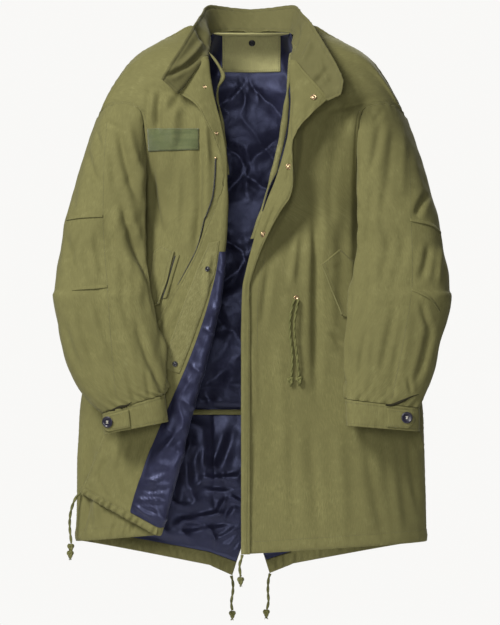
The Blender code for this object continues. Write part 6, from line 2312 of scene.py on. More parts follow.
def flat_trim(name, face, normals, thickness, finish, slot, *nodes, seed=1, edge=0.45, crumpled=0.25):
    """A small flat piece: rounded edges and a little unevenness."""
    edges = edge_distances(face)
    lift = crumple(face, 12 * MM, seed, crumpled * MM)
    for distance in edges.values():
        lift -= edge * MM * bell(distance, 1.3 * MM)
    face, normals = worked(face, normals, lift)
    made = shell(name, face, normals, thickness, finish)
    dressed(made, slot, *nodes)
    return made, Cloth(face, normals)


def stitching(name, lines, finish, slot, length=2.6 * MM, gap=1.1 * MM, thick=0.6 * MM):
    parts = []
    for line, normals in lines:
        if len(line) > 1:
            parts.extend(stitch_parts(line, normals, length, gap, thick))
    return dressed(joined(name, parts, finish), slot)


def tuck_lip(cloth, view_line, toward, rise=2.8 * MM, reach=10 * MM, seed=0):
    """The overlapping fold of an elbow tuck, sunk into the sleeve along its upper side."""
    corners = np.array([view_point(x, y) for x, y in view_line])
    place = np.concatenate([[0], np.cumsum(np.linalg.norm(np.diff(corners, axis=0), axis=1))])
    count = int(place[-1] / (2.2 * MM)) + 2
    steps = np.linspace(0, place[-1], count)
    profile = ((reach, -1.2 * MM), (0.72 * reach, 0.1 * rise), (0.4 * reach, 0.62 * rise),
               (0.15 * reach, 0.96 * rise), (0.0, rise), (0.02 * reach, 0.55 * rise))
    face = np.zeros((len(profile), count, 3))
    for b, where in enumerate(steps):
        x = spline_at(place, corners[:, 0], where)
        z = spline_at(place, corners[:, 1], where)
        share = where / place[-1]
        taper = max(0.02, math.sin(math.pi * min(1.0, max(0.0, share * 0.94 + 0.03)))) ** 0.5
        for a, (up, height) in enumerate(profile):
            lift = height * taper if height > 0 else height
            face[a, b] = cloth.at(x, z + up * (0.5 + 0.5 * taper), lift, toward)[0]
    return face


def knot_curve(centre, size, turns=1.0):
    """The line of an overhand knot drawn tight, filling a box of those half sizes."""
    angles = np.linspace(0, 2 * math.pi * turns, 60, endpoint=False)
    x = (np.sin(angles) + 2 * np.sin(2 * angles)) / 3
    y = np.sin(3 * angles)
    z = (np.cos(angles) - 2 * np.cos(2 * angles)) / 3
    inner = np.array(size) * MM - STRAND_RADIUS * 1.25
    return np.array(centre) * MM + np.stack([x * inner[0], y * inner[1] * 0.7, z * inner[2]], axis=1)


def cord_route(points, spacing=1.2 * MM):
    """Close, evenly spaced points on the smooth curve through a cord's chosen points."""
    route = np.array(route_curve(points))
    steps = np.linalg.norm(np.diff(route, axis=0), axis=1)
    place = np.concatenate([[0.0], np.cumsum(steps)])
    where = np.linspace(0, place[-1], max(12, int(place[-1] / spacing)))
    return np.array([[spline_at(place, route[:, axis], w) for axis in range(3)] for w in where])


def twisted(route, sides=8):
    """Points and faces of two strands laid round each other along a cord's route."""
    tangents = np.gradient(route, axis=0)
    tangents /= np.linalg.norm(tangents, axis=1, keepdims=True)
    steps = np.concatenate([[0.0], np.cumsum(np.linalg.norm(np.diff(route, axis=0), axis=1))])
    side = np.cross(tangents[0], (0.0, -1.0, 0.1))
    lines = [[], []]
    for k, (place, tangent) in enumerate(zip(route, tangents)):
        side = side - tangent * np.dot(side, tangent)
        side /= np.linalg.norm(side)
        up = np.cross(tangent, side)
        angle = 2 * math.pi * steps[k] / CORD_LAY
        for strand in (0, 1):
            turn = angle + math.pi * strand
            lines[strand].append(place + (side * math.cos(turn) + up * math.sin(turn)) * STRAND_OFFSET)
    return [tube_part(np.array(line), STRAND_RADIUS, sides) for line in lines]


def tube_part(line, radius, sides, closed=False):
    """Points and faces of a round tube, for joining."""
    radii = np.broadcast_to(radius, len(line))
    points = tube_points(np.asarray(line, dtype=float), radii, sides, closed)
    rings = len(line)
    faces = []
    for i in range(rings if closed else rings - 1):
        after = (i + 1) % rings
        for k in range(sides):
            n = (k + 1) % sides
            faces.append((i * sides + k, i * sides + n, after * sides + n, after * sides + k))
    if not closed:
        faces.append(tuple(range(sides))[::-1])
        faces.append(tuple((rings - 1) * sides + k for k in range(sides)))
    return points, faces


def frayed(end, seed, length=8.5 * MM, count=16):
    """Loose threads that flare below a knot."""
    chance = np.random.default_rng(seed)
    parts = []
    for _ in range(count):
        angle, lean = chance.uniform(0, 2 * math.pi), chance.uniform(0.1, 0.6)
        out = np.array([math.cos(angle) * lean, math.sin(angle) * lean * 0.7, 0])
        reach = length * chance.uniform(0.6, 1.0)
        line = [end + out * t * reach * t + np.array([0, 0, -t * reach]) for t in (0, 0.3, 0.65, 1.0)]
        parts.append(tube_part(np.array(line), np.array([0.55, 0.5, 0.4, 0.22]) * MM, 5))
    return parts


def spaced(line, pitch):
    """Evenly spaced places along a line, each with its direction."""
    line = np.asarray(line)
    steps = np.concatenate([[0.0], np.cumsum(np.linalg.norm(np.diff(line, axis=0), axis=1))])
    wanted = np.arange(0, steps[-1], pitch)
    points = np.stack([np.interp(wanted, steps, line[:, k]) for k in range(3)], axis=1)
    runs_on = np.gradient(points, axis=0)
    return points, runs_on / np.linalg.norm(runs_on, axis=1, keepdims=True)


def block(centre, axes, sizes):
    """A small bevelled block: points and faces."""
    points, faces = [], []
    for height, inset in ((-1, 0.8), (-0.6, 1.0), (0.6, 1.0), (1, 0.8)):
        for s, t in ((1, 1), (-1, 1), (-1, -1), (1, -1)):
            points.append(centre + axes[0] * sizes[0] * s * inset + axes[1] * sizes[1] * t * inset
                          + axes[2] * sizes[2] * height)
    for i in range(3):
        for k in range(4):
            n = (k + 1) % 4
            faces.append((i * 4 + k, i * 4 + n, i * 4 + 4 + n, i * 4 + 4 + k))
    faces += [(3, 2, 1, 0), (12, 13, 14, 15)]
    return np.array(points), faces


def make_fronts(settings, made):
    for side in (LEFT, RIGHT):
        name = SIDE_NAME[side]
        face, normals = front_shell(side, settings)
        piece = shell(f"Front_{name}", face, normals, SHELL_WALL, olive())
        dressed(piece, "olive_cotton", f"front_{name}")
        made[f"front_{name}"] = Cloth(face, normals)
        face, normals = turned_shell(side, settings)
        made[f"turned_{name}"] = Cloth(face, normals)
        label = "Front_turned_left" if side == LEFT else "Storm_flap_right"
        fold = shell(label, face, normals, SHELL_WALL, olive())
        dressed(fold, "olive_cotton", TURNED_NAME[side])


def make_backs(settings, made):
    for side in (LEFT, RIGHT):
        name = SIDE_NAME[side]
        face, normals = back_shell(side, settings)
        piece = shell(f"Back_{name}", face, normals, SHELL_WALL, olive())
        dressed(piece, "olive_cotton", f"back_{name}")
        made[f"back_{name}"] = Cloth(face, normals)


def make_sleeves(settings, made):
    for side in (LEFT, RIGHT):
        name = SIDE_NAME[side]
        face, normals = sleeve_shell(side, settings)
        piece = shell(f"Sleeve_{name}", face, normals, SHELL_WALL, olive(), around=True)
        dressed(piece, "olive_cotton", f"sleeve_outer_{name}", f"sleeve_inner_{name}")
        cloth = Cloth(face, normals)
        made[f"sleeve_{name}"] = cloth
        lips = []
        for k, line in enumerate(TUCK_LINES[side]):
            lips.append((f"Elbow_tuck_{name}_{k + 1}", line, (0, -1, 0)))
        for k, line in enumerate(BACK_TUCK_LINES[side]):
            lips.append((f"Elbow_tuck_back_{name}_{k + 1}", line, (0, 1, 0)))
        for label, line, toward in lips:
            lip = tuck_lip(cloth, line, toward)
            out = facing(normals_of(lip), toward)
            dressed(shell(label, lip, out, 0.8 * MM, olive()), "olive_cotton")
        line = [cloth.at(x, z, 0.15 * MM) for x, z in
                dense(np.array([view_point(*place) for place in SLEEVE_SEAM[side]]), 3 * MM)]
        seam = tuple(np.array(part) for part in zip(*line))
        stitching(f"Sleeve_seam_stitches_{name}", [seam], olive_thread_with_painted_shade(), "olive_cotton", thick=0.9 * MM)
        lines = [cloth.line("top", 9 * MM)]
        stitching(f"Sleeve_head_stitches_{name}", lines, olive_thread_with_painted_shade(), "olive_cotton", thick=0.8 * MM)
        face, normals = cuff_shell(side)
        cuff = shell(f"Cuff_{name}", face, normals, CUFF_WALL, olive(), around=True)
        dressed(cuff, "olive_cotton", f"cuff_{name}")
        made[f"cuff_{name}"] = Cloth(face, normals)


def tab_face(side, cuff):
    """The cuff's pointed end, laid over the cuff and buttoned."""
    table = CUFF[side]
    rings = np.array(
        [tube_ring(side, table, CUFF_COLUMNS, z, SLEEVE_ROUNDNESS, None) for z in table[:, 0]]
    )
    forward = np.roll(rings, CUFF_TAB_ROLL, axis=1)
    start, end = CUFF_TAB[side]
    coarse = sample(forward[:, : 2 * CUFF_TAB_ROLL], TAB_ROWS,
                    (start + CUFF_TAB_ROLL, end + CUFF_TAB_ROLL), (3, 7))
    face, normals = seated(cuff, coarse, LAID_GAP + CUFF_TAB_WALL, 2 * MM)
    across = runs(face, 1)
    share = across / across[:, -1:]
    middle = face.mean(axis=0, keepdims=True)
    point = 0.26 + 0.74 * ease(0.0, 0.26, share) ** 0.6
    face = middle + (face - middle) * point[..., None]
    lifted = 2.2 * MM * (1 - ease(0, 0.5, share))
    return face + normals * lifted[..., None], normals


def make_cuff_tabs(settings, made):
    for side in (LEFT, RIGHT):
        name = SIDE_NAME[side]
        face, normals = tab_face(side, made[f"cuff_{name}"])
        piece, cloth = flat_trim(f"Cuff_tab_{name}", face, normals, CUFF_TAB_WALL, olive(),
                                 "olive_cotton", f"cuff_tab_{name}", seed=70 + side, edge=0.7)
        made[f"tab_{name}"] = cloth
        lines = [cloth.line(edge, 4 * MM) for edge in ("top", "bottom", "start")]
        stitching(f"Cuff_tab_stitches_{name}", lines, olive_thread_with_painted_shade(), "olive_cotton")
        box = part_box(f"cuff_button_{name}")
        centre = [(box[0][k] + box[1][k]) / 2 for k in range(3)]
        point, normal = cloth.near(centre, 0.2 * MM)
        add_button(f"Cuff_button_{name}", point, normal, f"cuff_button_{name}")
        add_slit_shadow(side, made[f"sleeve_{name}"], made[f"cuff_{name}"])


def add_slit_shadow(side, sleeve, cuff):
    """The open end of the sleeve's placket over the cuff: a near-black strip of painted shadow between the two."""
    corners = dense(np.array([view_point(*place) for place in CUFF_SLIT[side]]), 1.2 * MM)
    share = np.linspace(0, 1, len(corners))
    heights = np.interp(share, np.linspace(0, 1, len(CUFF_SLIT[side])), CUFF_SLIT_HEIGHT[side])
    face = np.zeros((3, len(corners), 3))
    for k, ((x, z), height) in enumerate(zip(corners, heights)):
        for row, step in enumerate((1, 0, -1)):
            at = z + step * height * MM
            found = [cloth.at(x, at, 0.9 * MM)[0] for cloth in (sleeve, cuff)]
            face[row, k] = min(found, key=lambda place: place[1])
    face[..., 1] = face[..., 1].min(axis=0, keepdims=True)
    out = facing(normals_of(face), (0, -1, 0))
    # The strip's near-black cloth is painted shadow, not cloth of its own.
    slit = shell(f"Cuff_slit_shadow_{SIDE_NAME[side]}", face, out, 0.5 * MM, painted_shade_cloth())
    dressed(slit, "olive_cotton")


def add_button(name, point, normal, replaced):
    """A four-hole button with a raised rim and crossed thread."""
    r = BUTTON_RADIUS
    profile = [
        (0.55 * r, 0.0), (0.86 * r, 0.1 * MM), (0.97 * r, 0.7 * MM), (r, 1.5 * MM), (0.985 * r, 2.3 * MM),
        (0.93 * r, 2.9 * MM), (0.84 * r, 3.1 * MM), (0.76 * r, 2.9 * MM), (0.7 * r, 2.3 * MM),
        (0.62 * r, 2.0 * MM), (0.3 * r, 1.9 * MM), (0.06 * r, 1.85 * MM),
    ]
    button = joined(name, [turned(profile, point, normal, 40)], plastic())
    dressed(button, "navy_button", replaced)
    normal = normal / np.linalg.norm(normal)
    across = np.cross(normal, (0.0, 0.0, 1.0))
    across /= np.linalg.norm(across)
    up = np.cross(normal, across)
    hole_shadows, threads = [], []
    top = point + normal * 1.95 * MM
    spots = [top + (across * s + up * t) * 2.1 * MM for s, t in ((1, 1), (-1, 1), (-1, -1), (1, -1))]
    # Near-black discs over the holes: painted shadow inside them.
    for spot in spots:
        hole_shadows.append(turned([(1.0 * MM, 0.0), (1.0 * MM, 0.12 * MM), (0.7 * MM, 0.16 * MM)], spot, normal, 14))
    dressed(joined(f"{name}_holes", hole_shadows, painted_shade_navy()), "navy_button")
    for a, b in ((0, 2), (1, 3), (0, 1), (2, 3)):
        for shift in (-0.3, 0.3):
            aside = np.cross(spots[b] - spots[a], normal)
            aside = aside / np.linalg.norm(aside) * shift * MM
            ends = [spots[a] + aside, spots[b] + aside]
            middle = (ends[0] + ends[1]) / 2 + normal * 0.9 * MM
            line = [ends[0] - normal * 0.3 * MM, ends[0] + normal * 0.4 * MM, middle,
                    ends[1] + normal * 0.4 * MM, ends[1] - normal * 0.3 * MM]
            threads.append(tube_part(np.array(line), 0.3 * MM, 6))
    dressed(joined(f"{name}_thread", threads, pale_thread()), "olive_cord")


def make_collar(settings, made):
    face, normals = collar_shell(settings)
    piece = shell("Collar", face, normals, COLLAR_WALL, olive_collar_painted_shade())
    dressed(piece, "olive_cotton", "collar")
    made["collar"] = Cloth(face, normals)


def make_liner(settings, made):
    face, normals = liner_shell(settings)
    piece = shell("Quilted_liner", face, normals, LINING_WALL * 2, satin(),
                  hidden=face - normals * (LINING_WALL * 2 + 1.5 * MM))
    dressed(piece, "navy_satin", "liner_back")
    cloth = Cloth(face, normals)
    made["liner"] = cloth
    half, top, low = (v / MM for v in (YOKE_HALF_WIDTH, YOKE_TOP_Z, YOKE_BOTTOM_Z))
    top += 3.2
    yoke_face, out = outlined(cloth, ((-half, top), (0, top), (half, top)),
                              ((-half, low), (0, low - 1), (half, low)), LAID_GAP + TRIM_WALL)
    yoke, yoke_cloth = flat_trim("Liner_yoke", yoke_face, out, TRIM_WALL, olive_yoke_painted_light(), "olive_cotton",
                                 "liner_yoke", seed=81, crumpled=0.6)
    lines = [yoke_cloth.line(edge, 4 * MM) for edge in ("start", "end", "bottom")]
    stitching("Liner_yoke_stitches", lines, olive_thread_with_painted_shade(), "olive_cotton")
    point, normal = yoke_cloth.at(1 * MM, YOKE_SNAP_Z, 0.2 * MM)
    add_snap("Yoke_snap", point, normal, 6.2 * MM, black_enamel(), "black_enamel", "yoke_snap")
    bottom = face[-1]
    pitch = 8
    line = np.concatenate([bottom[::pitch], bottom[-1:]])
    sections = []
    for angle in np.linspace(0, 2 * math.pi, 14, endpoint=False):
        c, s = math.cos(angle), math.sin(angle)
        y = math.copysign(abs(s) ** 0.7, s) * 1.5 * MM
        z = math.copysign(abs(c) ** 0.6, c) * BINDING_WIDTH * 0.68
        sections.append(line + np.array([0, y - 4.5 * MM, z - BINDING_WIDTH / 2 + 1 * MM]))
    binding = np.array(sections)
    binding = refined(binding.transpose(1, 0, 2), 4 * MM, around=True, margins=())
    out = outward_normals(binding)
    binding = binding + out * crumple(binding, 9 * MM, 88, 0.5 * MM)[..., None]
    hem = shell("Liner_hem_binding", binding, outward_normals(binding), 0.4 * MM, olive_binding(),
                around=True)
    dressed(hem, "olive_cotton", "liner_hem_binding")


def add_snap(name, point, normal, radius, finish, slot, *nodes):
    """A press stud: a flanged cap with a rolled rim, a shallow dish and a centre pip."""
    profile = (
        (0.6, -0.05), (1.0, 0.0), (1.03, 0.1), (1.0, 0.2), (0.93, 0.3), (0.84, 0.36), (0.76, 0.34),
        (0.68, 0.24), (0.52, 0.2), (0.4, 0.24), (0.3, 0.32), (0.16, 0.36), (0.03, 0.37),
    )
    scaled = [(r * radius, h * radius) for r, h in profile]
    cap = joined(name, [turned(scaled, point, normal, 32)], finish)
    return dressed(cap, slot, *nodes)


def make_linings(settings, made):
    for side in (LEFT, RIGHT):
        name = SIDE_NAME[side]
        face, normals = tail_lining_shell(side, settings)
        piece = shell(f"Tail_lining_{name}", face, normals, LINING_WALL, satin())
        dressed(piece, "navy_satin", f"lining_back_{name}")
        made[f"tail_lining_{name}"] = Cloth(face, normals)
    turned_cloth = made["turned_left"]
    coarse = turned_lining_grid(turned_grid(LEFT))
    face, normals = seated(turned_cloth, coarse, LINING_WALL + 0.6 * MM, 3.2 * MM, (1.2 * MM, 3 * MM))
    x, z = face[..., 0], face[..., 2]
    edges = edge_distances(face)
    free = np.ones_like(x)
    for key in ("start", "end", "bottom", "top"):
        free *= ease(0, 16 * MM, edges[key])
    lift = (4.8 * MM + strokes(on_view(TURNED_LINING_CREASES), x, z) * 1.5) * free
    lift += (crinkle(face, 52 * MM, 31, 4.6 * MM) + ripples(x, z, 160, 0.8 * MM, 40 * MM, 2)) * free
    face, normals = worked(face, normals, np.maximum(lift, 0.0), (0, -1, 0))
    piece = shell("Turned_lining_left", face, normals, LINING_WALL, satin())
    dressed(piece, "navy_satin", "lining_turned_left")


def make_casings(settings, made):
    """The drawcord casings that show inside the hem."""
    for side in (LEFT, RIGHT):
        name = SIDE_NAME[side]
        grid = back_grid(side)
        hem = laid(grid, SHELL_WALL + LAID_GAP + TRIM_WALL, (0, -1, 0))[-2:, TAIL_FIRST_COLUMN:]
        columns = hem.shape[1] - 1
        rows = (CASING_HEM_GAP - 0.06, 1 - CASING_HEM_GAP)
        coarse = sample(hem, (max(rows[0], 0.0), rows[1]), (0, columns - 0.05), (3, columns + 1))
        face = refined(coarse, 2.6 * MM, margins=(1 * MM, 2.2 * MM))
        normals = facing(normals_of(face), (0, -1, 0))
        casing_relief(f"Hem_casing_back_{name}", face, normals, f"hem_casing_back_{name}", 170 + side,
                      towards_end=True, inner=True)
    turned = turned_grid(LEFT)
    rows = turned.shape[0] - 1
    lifted = laid(turned, SHELL_WALL + LAID_GAP + TRIM_WALL, (0, -1, 0))
    coarse = sample(lifted, (rows - TURNED_CASING_ROWS, rows - CASING_HEM_GAP), TURNED_CASING_SPAN, (3, 13))
    face, normals = seated(made["turned_left"], coarse, TRIM_WALL + 0.5 * MM, 2.4 * MM, (1 * MM, 2.2 * MM))
    casing_relief("Hem_casing_front_left", face, normals, "hem_casing_front_left", 173)


def casing_relief(name, face, normals, node_name, seed, towards_end=False, inner=False):
    edges = edge_distances(face)
    across = runs(face, 1)
    height = (edges["top"] + edges["bottom"]).mean()
    tunnel = 2.0 * MM * np.sin(np.clip(edges["bottom"] / height, 0, 1) * math.pi) ** 0.8
    lift = tunnel - 0.8 * MM * bell(edges["top"] - 2.2 * MM, 1.2 * MM)
    share = 1 - ease(0, 150 * MM, edges["end"]) if towards_end else np.ones_like(across)
    lift += (0.5 + share) * pucker(np.abs(edges["bottom"] - height / 2), across, seed, 2.0 * MM,
                                   16 * MM, 20 * MM)
    lift += crumple(face, 9 * MM, seed, 0.5 * MM)
    face, normals = worked(face, normals, np.maximum(lift, 0.0))
    piece = shell(name, face, normals, TRIM_WALL, olive())
    dressed(piece, "olive_cotton", node_name)
    cloth = Cloth(face, normals)
    stitching(f"{name}_stitches", [cloth.line("top", 2.2 * MM, 0.15 * MM)], olive_thread_with_painted_shade(), "olive_cotton")


def make_trim(settings, made):
    front_left, front_right = made["front_left"], made["front_right"]
    face, out = outlined(front_left, NAME_PATCH[0], NAME_PATCH[1], LAID_GAP + TRIM_WALL, 1.8 * MM)
    _, cloth = flat_trim("Name_patch", face, out, TRIM_WALL, loop_tape(), "green_loop_tape",
                         "name_patch", seed=91, crumpled=0.5)
    lines = [cloth.line(edge, 2.0 * MM, 0.3 * MM) for edge in ("start", "end", "top", "bottom")]
    stitching("Name_patch_stitches", lines, olive_thread_with_painted_shade(), "olive_cotton")
    for name, cloth_below, (top, bottom) in (
        ("left", front_left, POCKET_FLAP_LEFT), ("right", front_right, POCKET_FLAP_RIGHT),
    ):
        face, out = outlined(cloth_below, top, bottom, LAID_GAP + TRIM_WALL, 2 * MM)
        edges = edge_distances(face)
        free = 1 - ease(0, 30 * MM, edges["bottom"])
        rim = sum(bell(edges[key], 7 * MM) for key in ("start", "end", "bottom"))
        face, out = worked(face, out, free * 2.4 * MM + np.minimum(rim, 1.0) * 1.4 * MM)
        _, cloth = flat_trim(f"Pocket_flap_{name}", face, out, TRIM_WALL * 2.2, olive(), "olive_cotton",
                             f"pocket_flap_{name}", seed=93, edge=0.7, crumpled=0.5)
        lines = [cloth.line(edge, 6 * MM) for edge in ("start", "end", "bottom")]
        lines.append(cloth.line("top", 3 * MM))
        stitching(f"Pocket_flap_stitches_{name}", lines, olive_thread_with_painted_shade(), "olive_cotton")
        edge_line, out = cloth.line("start" if name == "right" else "end", 0.6 * MM, 0.0)
        pipe = joined(f"Pocket_piping_{name}", [tube_part(edge_line, 1.5 * MM, 8)], olive_binding())
        dressed(pipe, "olive_cotton")
    face, out = outlined(front_left, POCKET_WELT_LEFT[0], POCKET_WELT_LEFT[1], LAID_GAP + TRIM_WALL,
                         1.6 * MM)
    _, cloth = flat_trim("Pocket_welt_left", face, out, TRIM_WALL, olive(), "olive_cotton",
                         "pocket_welt_left", seed=95)
    line, out = cloth.line("start", -0.0 * MM + 0.4 * MM, 0.0)
    # A near-black tube in the pocket's opening: painted shadow.
    slit = line + np.array([-1.4 * MM, 1.0 * MM, 0])
    mouth = joined("Pocket_mouth_shadow_left", [tube_part(slit, 0.9 * MM, 8)], painted_shade_navy())
    dressed(mouth, "navy_satin")
    coarse = strip_grid(turned_grid(LEFT))
    face, out = seated(made["turned_left"], coarse, TRIM_WALL + 0.5 * MM, 2.4 * MM, (1 * MM, 2.4 * MM))
    _, cloth = flat_trim("Liner_strip_left", face, out, TRIM_WALL, olive_binding(), "olive_cotton",
                         "liner_strip_left", seed=97, edge=0.6, crumpled=0.5)
    lines = [cloth.line(edge, 3 * MM) for edge in ("start", "end")]
    stitching("Liner_strip_stitches", lines, olive_thread_with_painted_shade(), "olive_cotton")
    for k in (1, 2):
        place_snap(f"Liner_snap_{k}", f"liner_snap_{k}", cloth, 5 * MM, black_enamel(), "black_enamel")
    for side, count, radius in ((RIGHT, 3, 5.5 * MM), (LEFT, 2, 3.2 * MM)):
        for k in range(count):
            name = f"front_snap_{SIDE_NAME[side]}_{k + 1}"
            place_snap(name.capitalize(), name, made[f"turned_{SIDE_NAME[side]}"], radius, brass(), "brass")
    x, z = WAIST_EYELET[0] * MM, WAIST_EYELET[1] * MM
    point, normal = front_right.at(x, z, 0.2 * MM)
    profile = [(2.3 * MM, 0.0), (4.4 * MM, 0.1 * MM), (4.6 * MM, 0.5 * MM), (4.4 * MM, 0.9 * MM),
               (3.8 * MM, 1.2 * MM), (3.1 * MM, 1.1 * MM), (2.5 * MM, 0.8 * MM), (2.3 * MM, 0.2 * MM)]
    eyelet = joined("Waist_eyelet", [turned(profile, point, normal, 36)], brass())
    dressed(eyelet, "brass", "waist_eyelet")


def place_snap(name, node_name, cloth, radius, finish, slot):
    low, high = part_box(node_name)
    centre = [(low[k] + high[k]) / 2 for k in range(3)]
    point, normal = cloth.near(centre, 0.1 * MM)
    add_snap(name, point, normal, radius, finish, slot, node_name)


def make_liner_edges(settings, made):
    """The liner's bound front edges inside the neckline."""
    for side in (LEFT, RIGHT):
        table = LINER_EDGE[side]
        coarse = np.zeros((LINER_EDGE_ROWS, 3, 3))
        for i in range(LINER_EDGE_ROWS):
            z = table[0, 0] + (table[-1, 0] - table[0, 0]) * i / (LINER_EDGE_ROWS - 1)
            outer, inner, y = (
                read(table, LINER_EDGE_COLUMNS, "z", want, z) for want in ("outer", "inner", "y")
            )
            for j in range(3):
                crown = LINER_EDGE_CROWN if j == 1 else 0.0
                coarse[i, j] = (outer + (inner - outer) * j / 2, y - crown, z)
        face = refined(coarse, 1.8 * MM, margins=())
        normals = facing(normals_of(face), (0, -1, 0))
        down = runs(face, 0)
        wave = 1.6 * MM * np.sin(down / (17 * MM) + side) + 0.8 * MM * np.sin(down / (7 * MM))
        name = SIDE_NAME[side]
        face, normals = worked(face, normals, wave, (0, -1, 0))
        _, cloth = flat_trim(f"Liner_edge_{name}", face, normals, TRIM_WALL, olive_binding(),
                             "olive_cotton", f"liner_edge_{name}", seed=101 + side, edge=0.5)
        lines = [cloth.line("start" if side == LEFT else "end", 1.8 * MM)]
        stitching(f"Liner_edge_stitches_{name}", lines, olive_thread_with_painted_shade(), "olive_cotton")


def make_zips(settings, made):
    """The front zip's tape and teeth along both edges."""
    corners = np.array([view_point(x, y) for x, y in ZIP_LEFT])
    line = [made["front_left"].at(x, z, 2.2 * MM)[0] for x, z in dense(corners, 2 * MM)]
    add_zip("left", np.array(line), np.array([1.0, 0, 0]), 1.4 * MM)
    corners = dense(np.array([view_point(x, y) for x, y in ZIP_RIGHT]), 2 * MM)
    line = [np.array([x, body_y(x, z) + ZIP_RIGHT_DEPTH, z]) for x, z in corners]
    add_zip("right", np.array(line), np.array([0.8, 0.6, 0]), 9 * MM)


def dense(corners, spacing):
    """A smooth line through corner points, as close points."""
    steps = np.concatenate([[0.0], np.cumsum(np.linalg.norm(np.diff(corners, axis=0), axis=1))])
    wanted = np.linspace(0, steps[-1], int(steps[-1] / spacing) + 2)
    return np.array([[spline_at(steps, corners[:, k], w) for k in range(corners.shape[1])]
                     for w in wanted])


def add_zip(name, line, inward, width):
    inward = inward / np.linalg.norm(inward)
    tape = np.stack([line + inward * width * share + np.array([0, 0.5 * MM, 0]) for share in
                     (-0.05, 0.3, 0.65, 1.0)], axis=1)
    normals = facing(normals_of(tape), (0, -1, 0))
    strip = shell(f"Zip_tape_{name}", tape, normals, 0.6 * MM, satin())
    dressed(strip, "navy_satin")
    points, along_it = spaced(line, ZIP_TOOTH_PITCH)
    teeth = []
    for point, run in zip(points, along_it):
        out = np.cross(run, inward)
        out /= np.linalg.norm(out)
        if out[1] > 0:
            out = -out
        teeth.append(block(point - inward * 0.3 * MM, (inward, run, out), (1.25 * MM, 0.62 * MM, 0.8 * MM)))
    rows = joined(f"Zip_teeth_{name}", teeth, black_enamel())
    dressed(rows, "black_enamel")
    ends = turned([(0.6 * MM, -0.8 * MM), (1.9 * MM, -0.6 * MM), (2.0 * MM, 0.6 * MM), (1.2 * MM, 1.2 * MM)],
                  line[0], np.array([0, -1.0, 0.1]), 20)
    stop = joined(f"Zip_stop_{name}", [ends], brass())
    dressed(stop, "brass")


def make_stitches(settings, made):
    """Topstitching along the shell's seams and edges."""
    for name in ("left", "right"):
        front, back, turned_cloth = made[f"front_{name}"], made[f"back_{name}"], made[f"turned_{name}"]
        lines = [front.line("start", 6.4 * MM), front.line("top", 6.4 * MM),
                 front.line("bottom", CASING_WIDTH), front.line("bottom", 3 * MM)]
        if name == "right":
            lines.append(front.line("end", 12 * MM))
            lines.append(front.line("end", 27 * MM, first=0.3, last=0.62))
        stitching(f"Front_stitches_{name}", lines, olive_thread_with_painted_shade(), "olive_cotton")
        lines = [back.line("end", 6.4 * MM), back.line("bottom", CASING_WIDTH),
                 back.line("start", 6.4 * MM), back.line("top", 6.4 * MM, last=0.9)]
        stitching(f"Back_stitches_{name}", lines, olive_thread_with_painted_shade(), "olive_cotton")
        lines = [turned_cloth.line("end", 4.8 * MM)]
        stitching(f"Turned_stitches_{name}", lines, olive_thread_with_painted_shade(), "olive_cotton")
        cuff = made[f"cuff_{name}"]
        lines = [cuff.line("top", 5 * MM), cuff.line("bottom", 5 * MM)]
        stitching(f"Cuff_stitches_{name}", lines, olive_thread_with_painted_shade(), "olive_cotton")
    collar = made["collar"]
    lines = [collar.line("bottom", 6.4 * MM), collar.line("top", 9 * MM), collar.line("start", 6.4 * MM),
             collar.line("end", 6.4 * MM)]
    stitching("Collar_stitches", lines, olive_thread_with_painted_shade(), "olive_cotton")


def make_cords(settings, made):
    """The waist cord's two ends and the hem cords' ends, with their knots and frayed tips."""
    coarse_front = front_grid(RIGHT)
    routes = {}
    lift = SEAM_GAP + CORD_RADIUS + CORD_CLEARANCE
    for name, points in WAIST_CORDS.items():
        route = []
        for x, y, z in points:
            on_front = on_cloth(coarse_front, x * MM, z * MM, lift)[0]
            route.append((x, on_front[1] / MM + y, z))
        routes[name] = route
    routes.update(HEM_CORDS)
    knots = {}
    for name, (x, y, z) in WAIST_KNOTS.items():
        on_front = on_cloth(coarse_front, x * MM, z * MM, KNOT_SIZE[1] * MM + SEAM_GAP)[0]
        knots[name] = (x, on_front[1] / MM + y, z)
    knots.update(HEM_KNOTS)
    for seed, (name, points) in enumerate(routes.items()):
        own = CORD_KNOTS[name]
        for knot in own:
            centre = np.array(knots[knot])
            parts = [tube_part(knot_curve(centre, np.array(KNOT_SIZE) * 1.4), STRAND_RADIUS * 1.15, 8, closed=True)]
            parts.append(tube_part(knot_curve(centre, np.array(KNOT_SIZE) * 0.95), STRAND_RADIUS * 1.3,
                                   8, closed=True))
            across = knot_curve((0, 0, 0), np.array(KNOT_SIZE)[[2, 1, 0]] * 1.15)[:, [2, 1, 0]]
            parts.append(tube_part(across + centre * MM, STRAND_RADIUS * 1.1, 8, closed=True))
            if knot == own[-1]:
                parts.extend(frayed(centre * MM - np.array([0, 0, 4.2 * MM]), 200 + seed))
            dressed(joined(knot.capitalize(), parts, rope()), "olive_cord", knot)
        route = cord_route(points)
        cord = joined(name.capitalize(), twisted(route), rope())
        dressed(cord, "olive_cord", name)


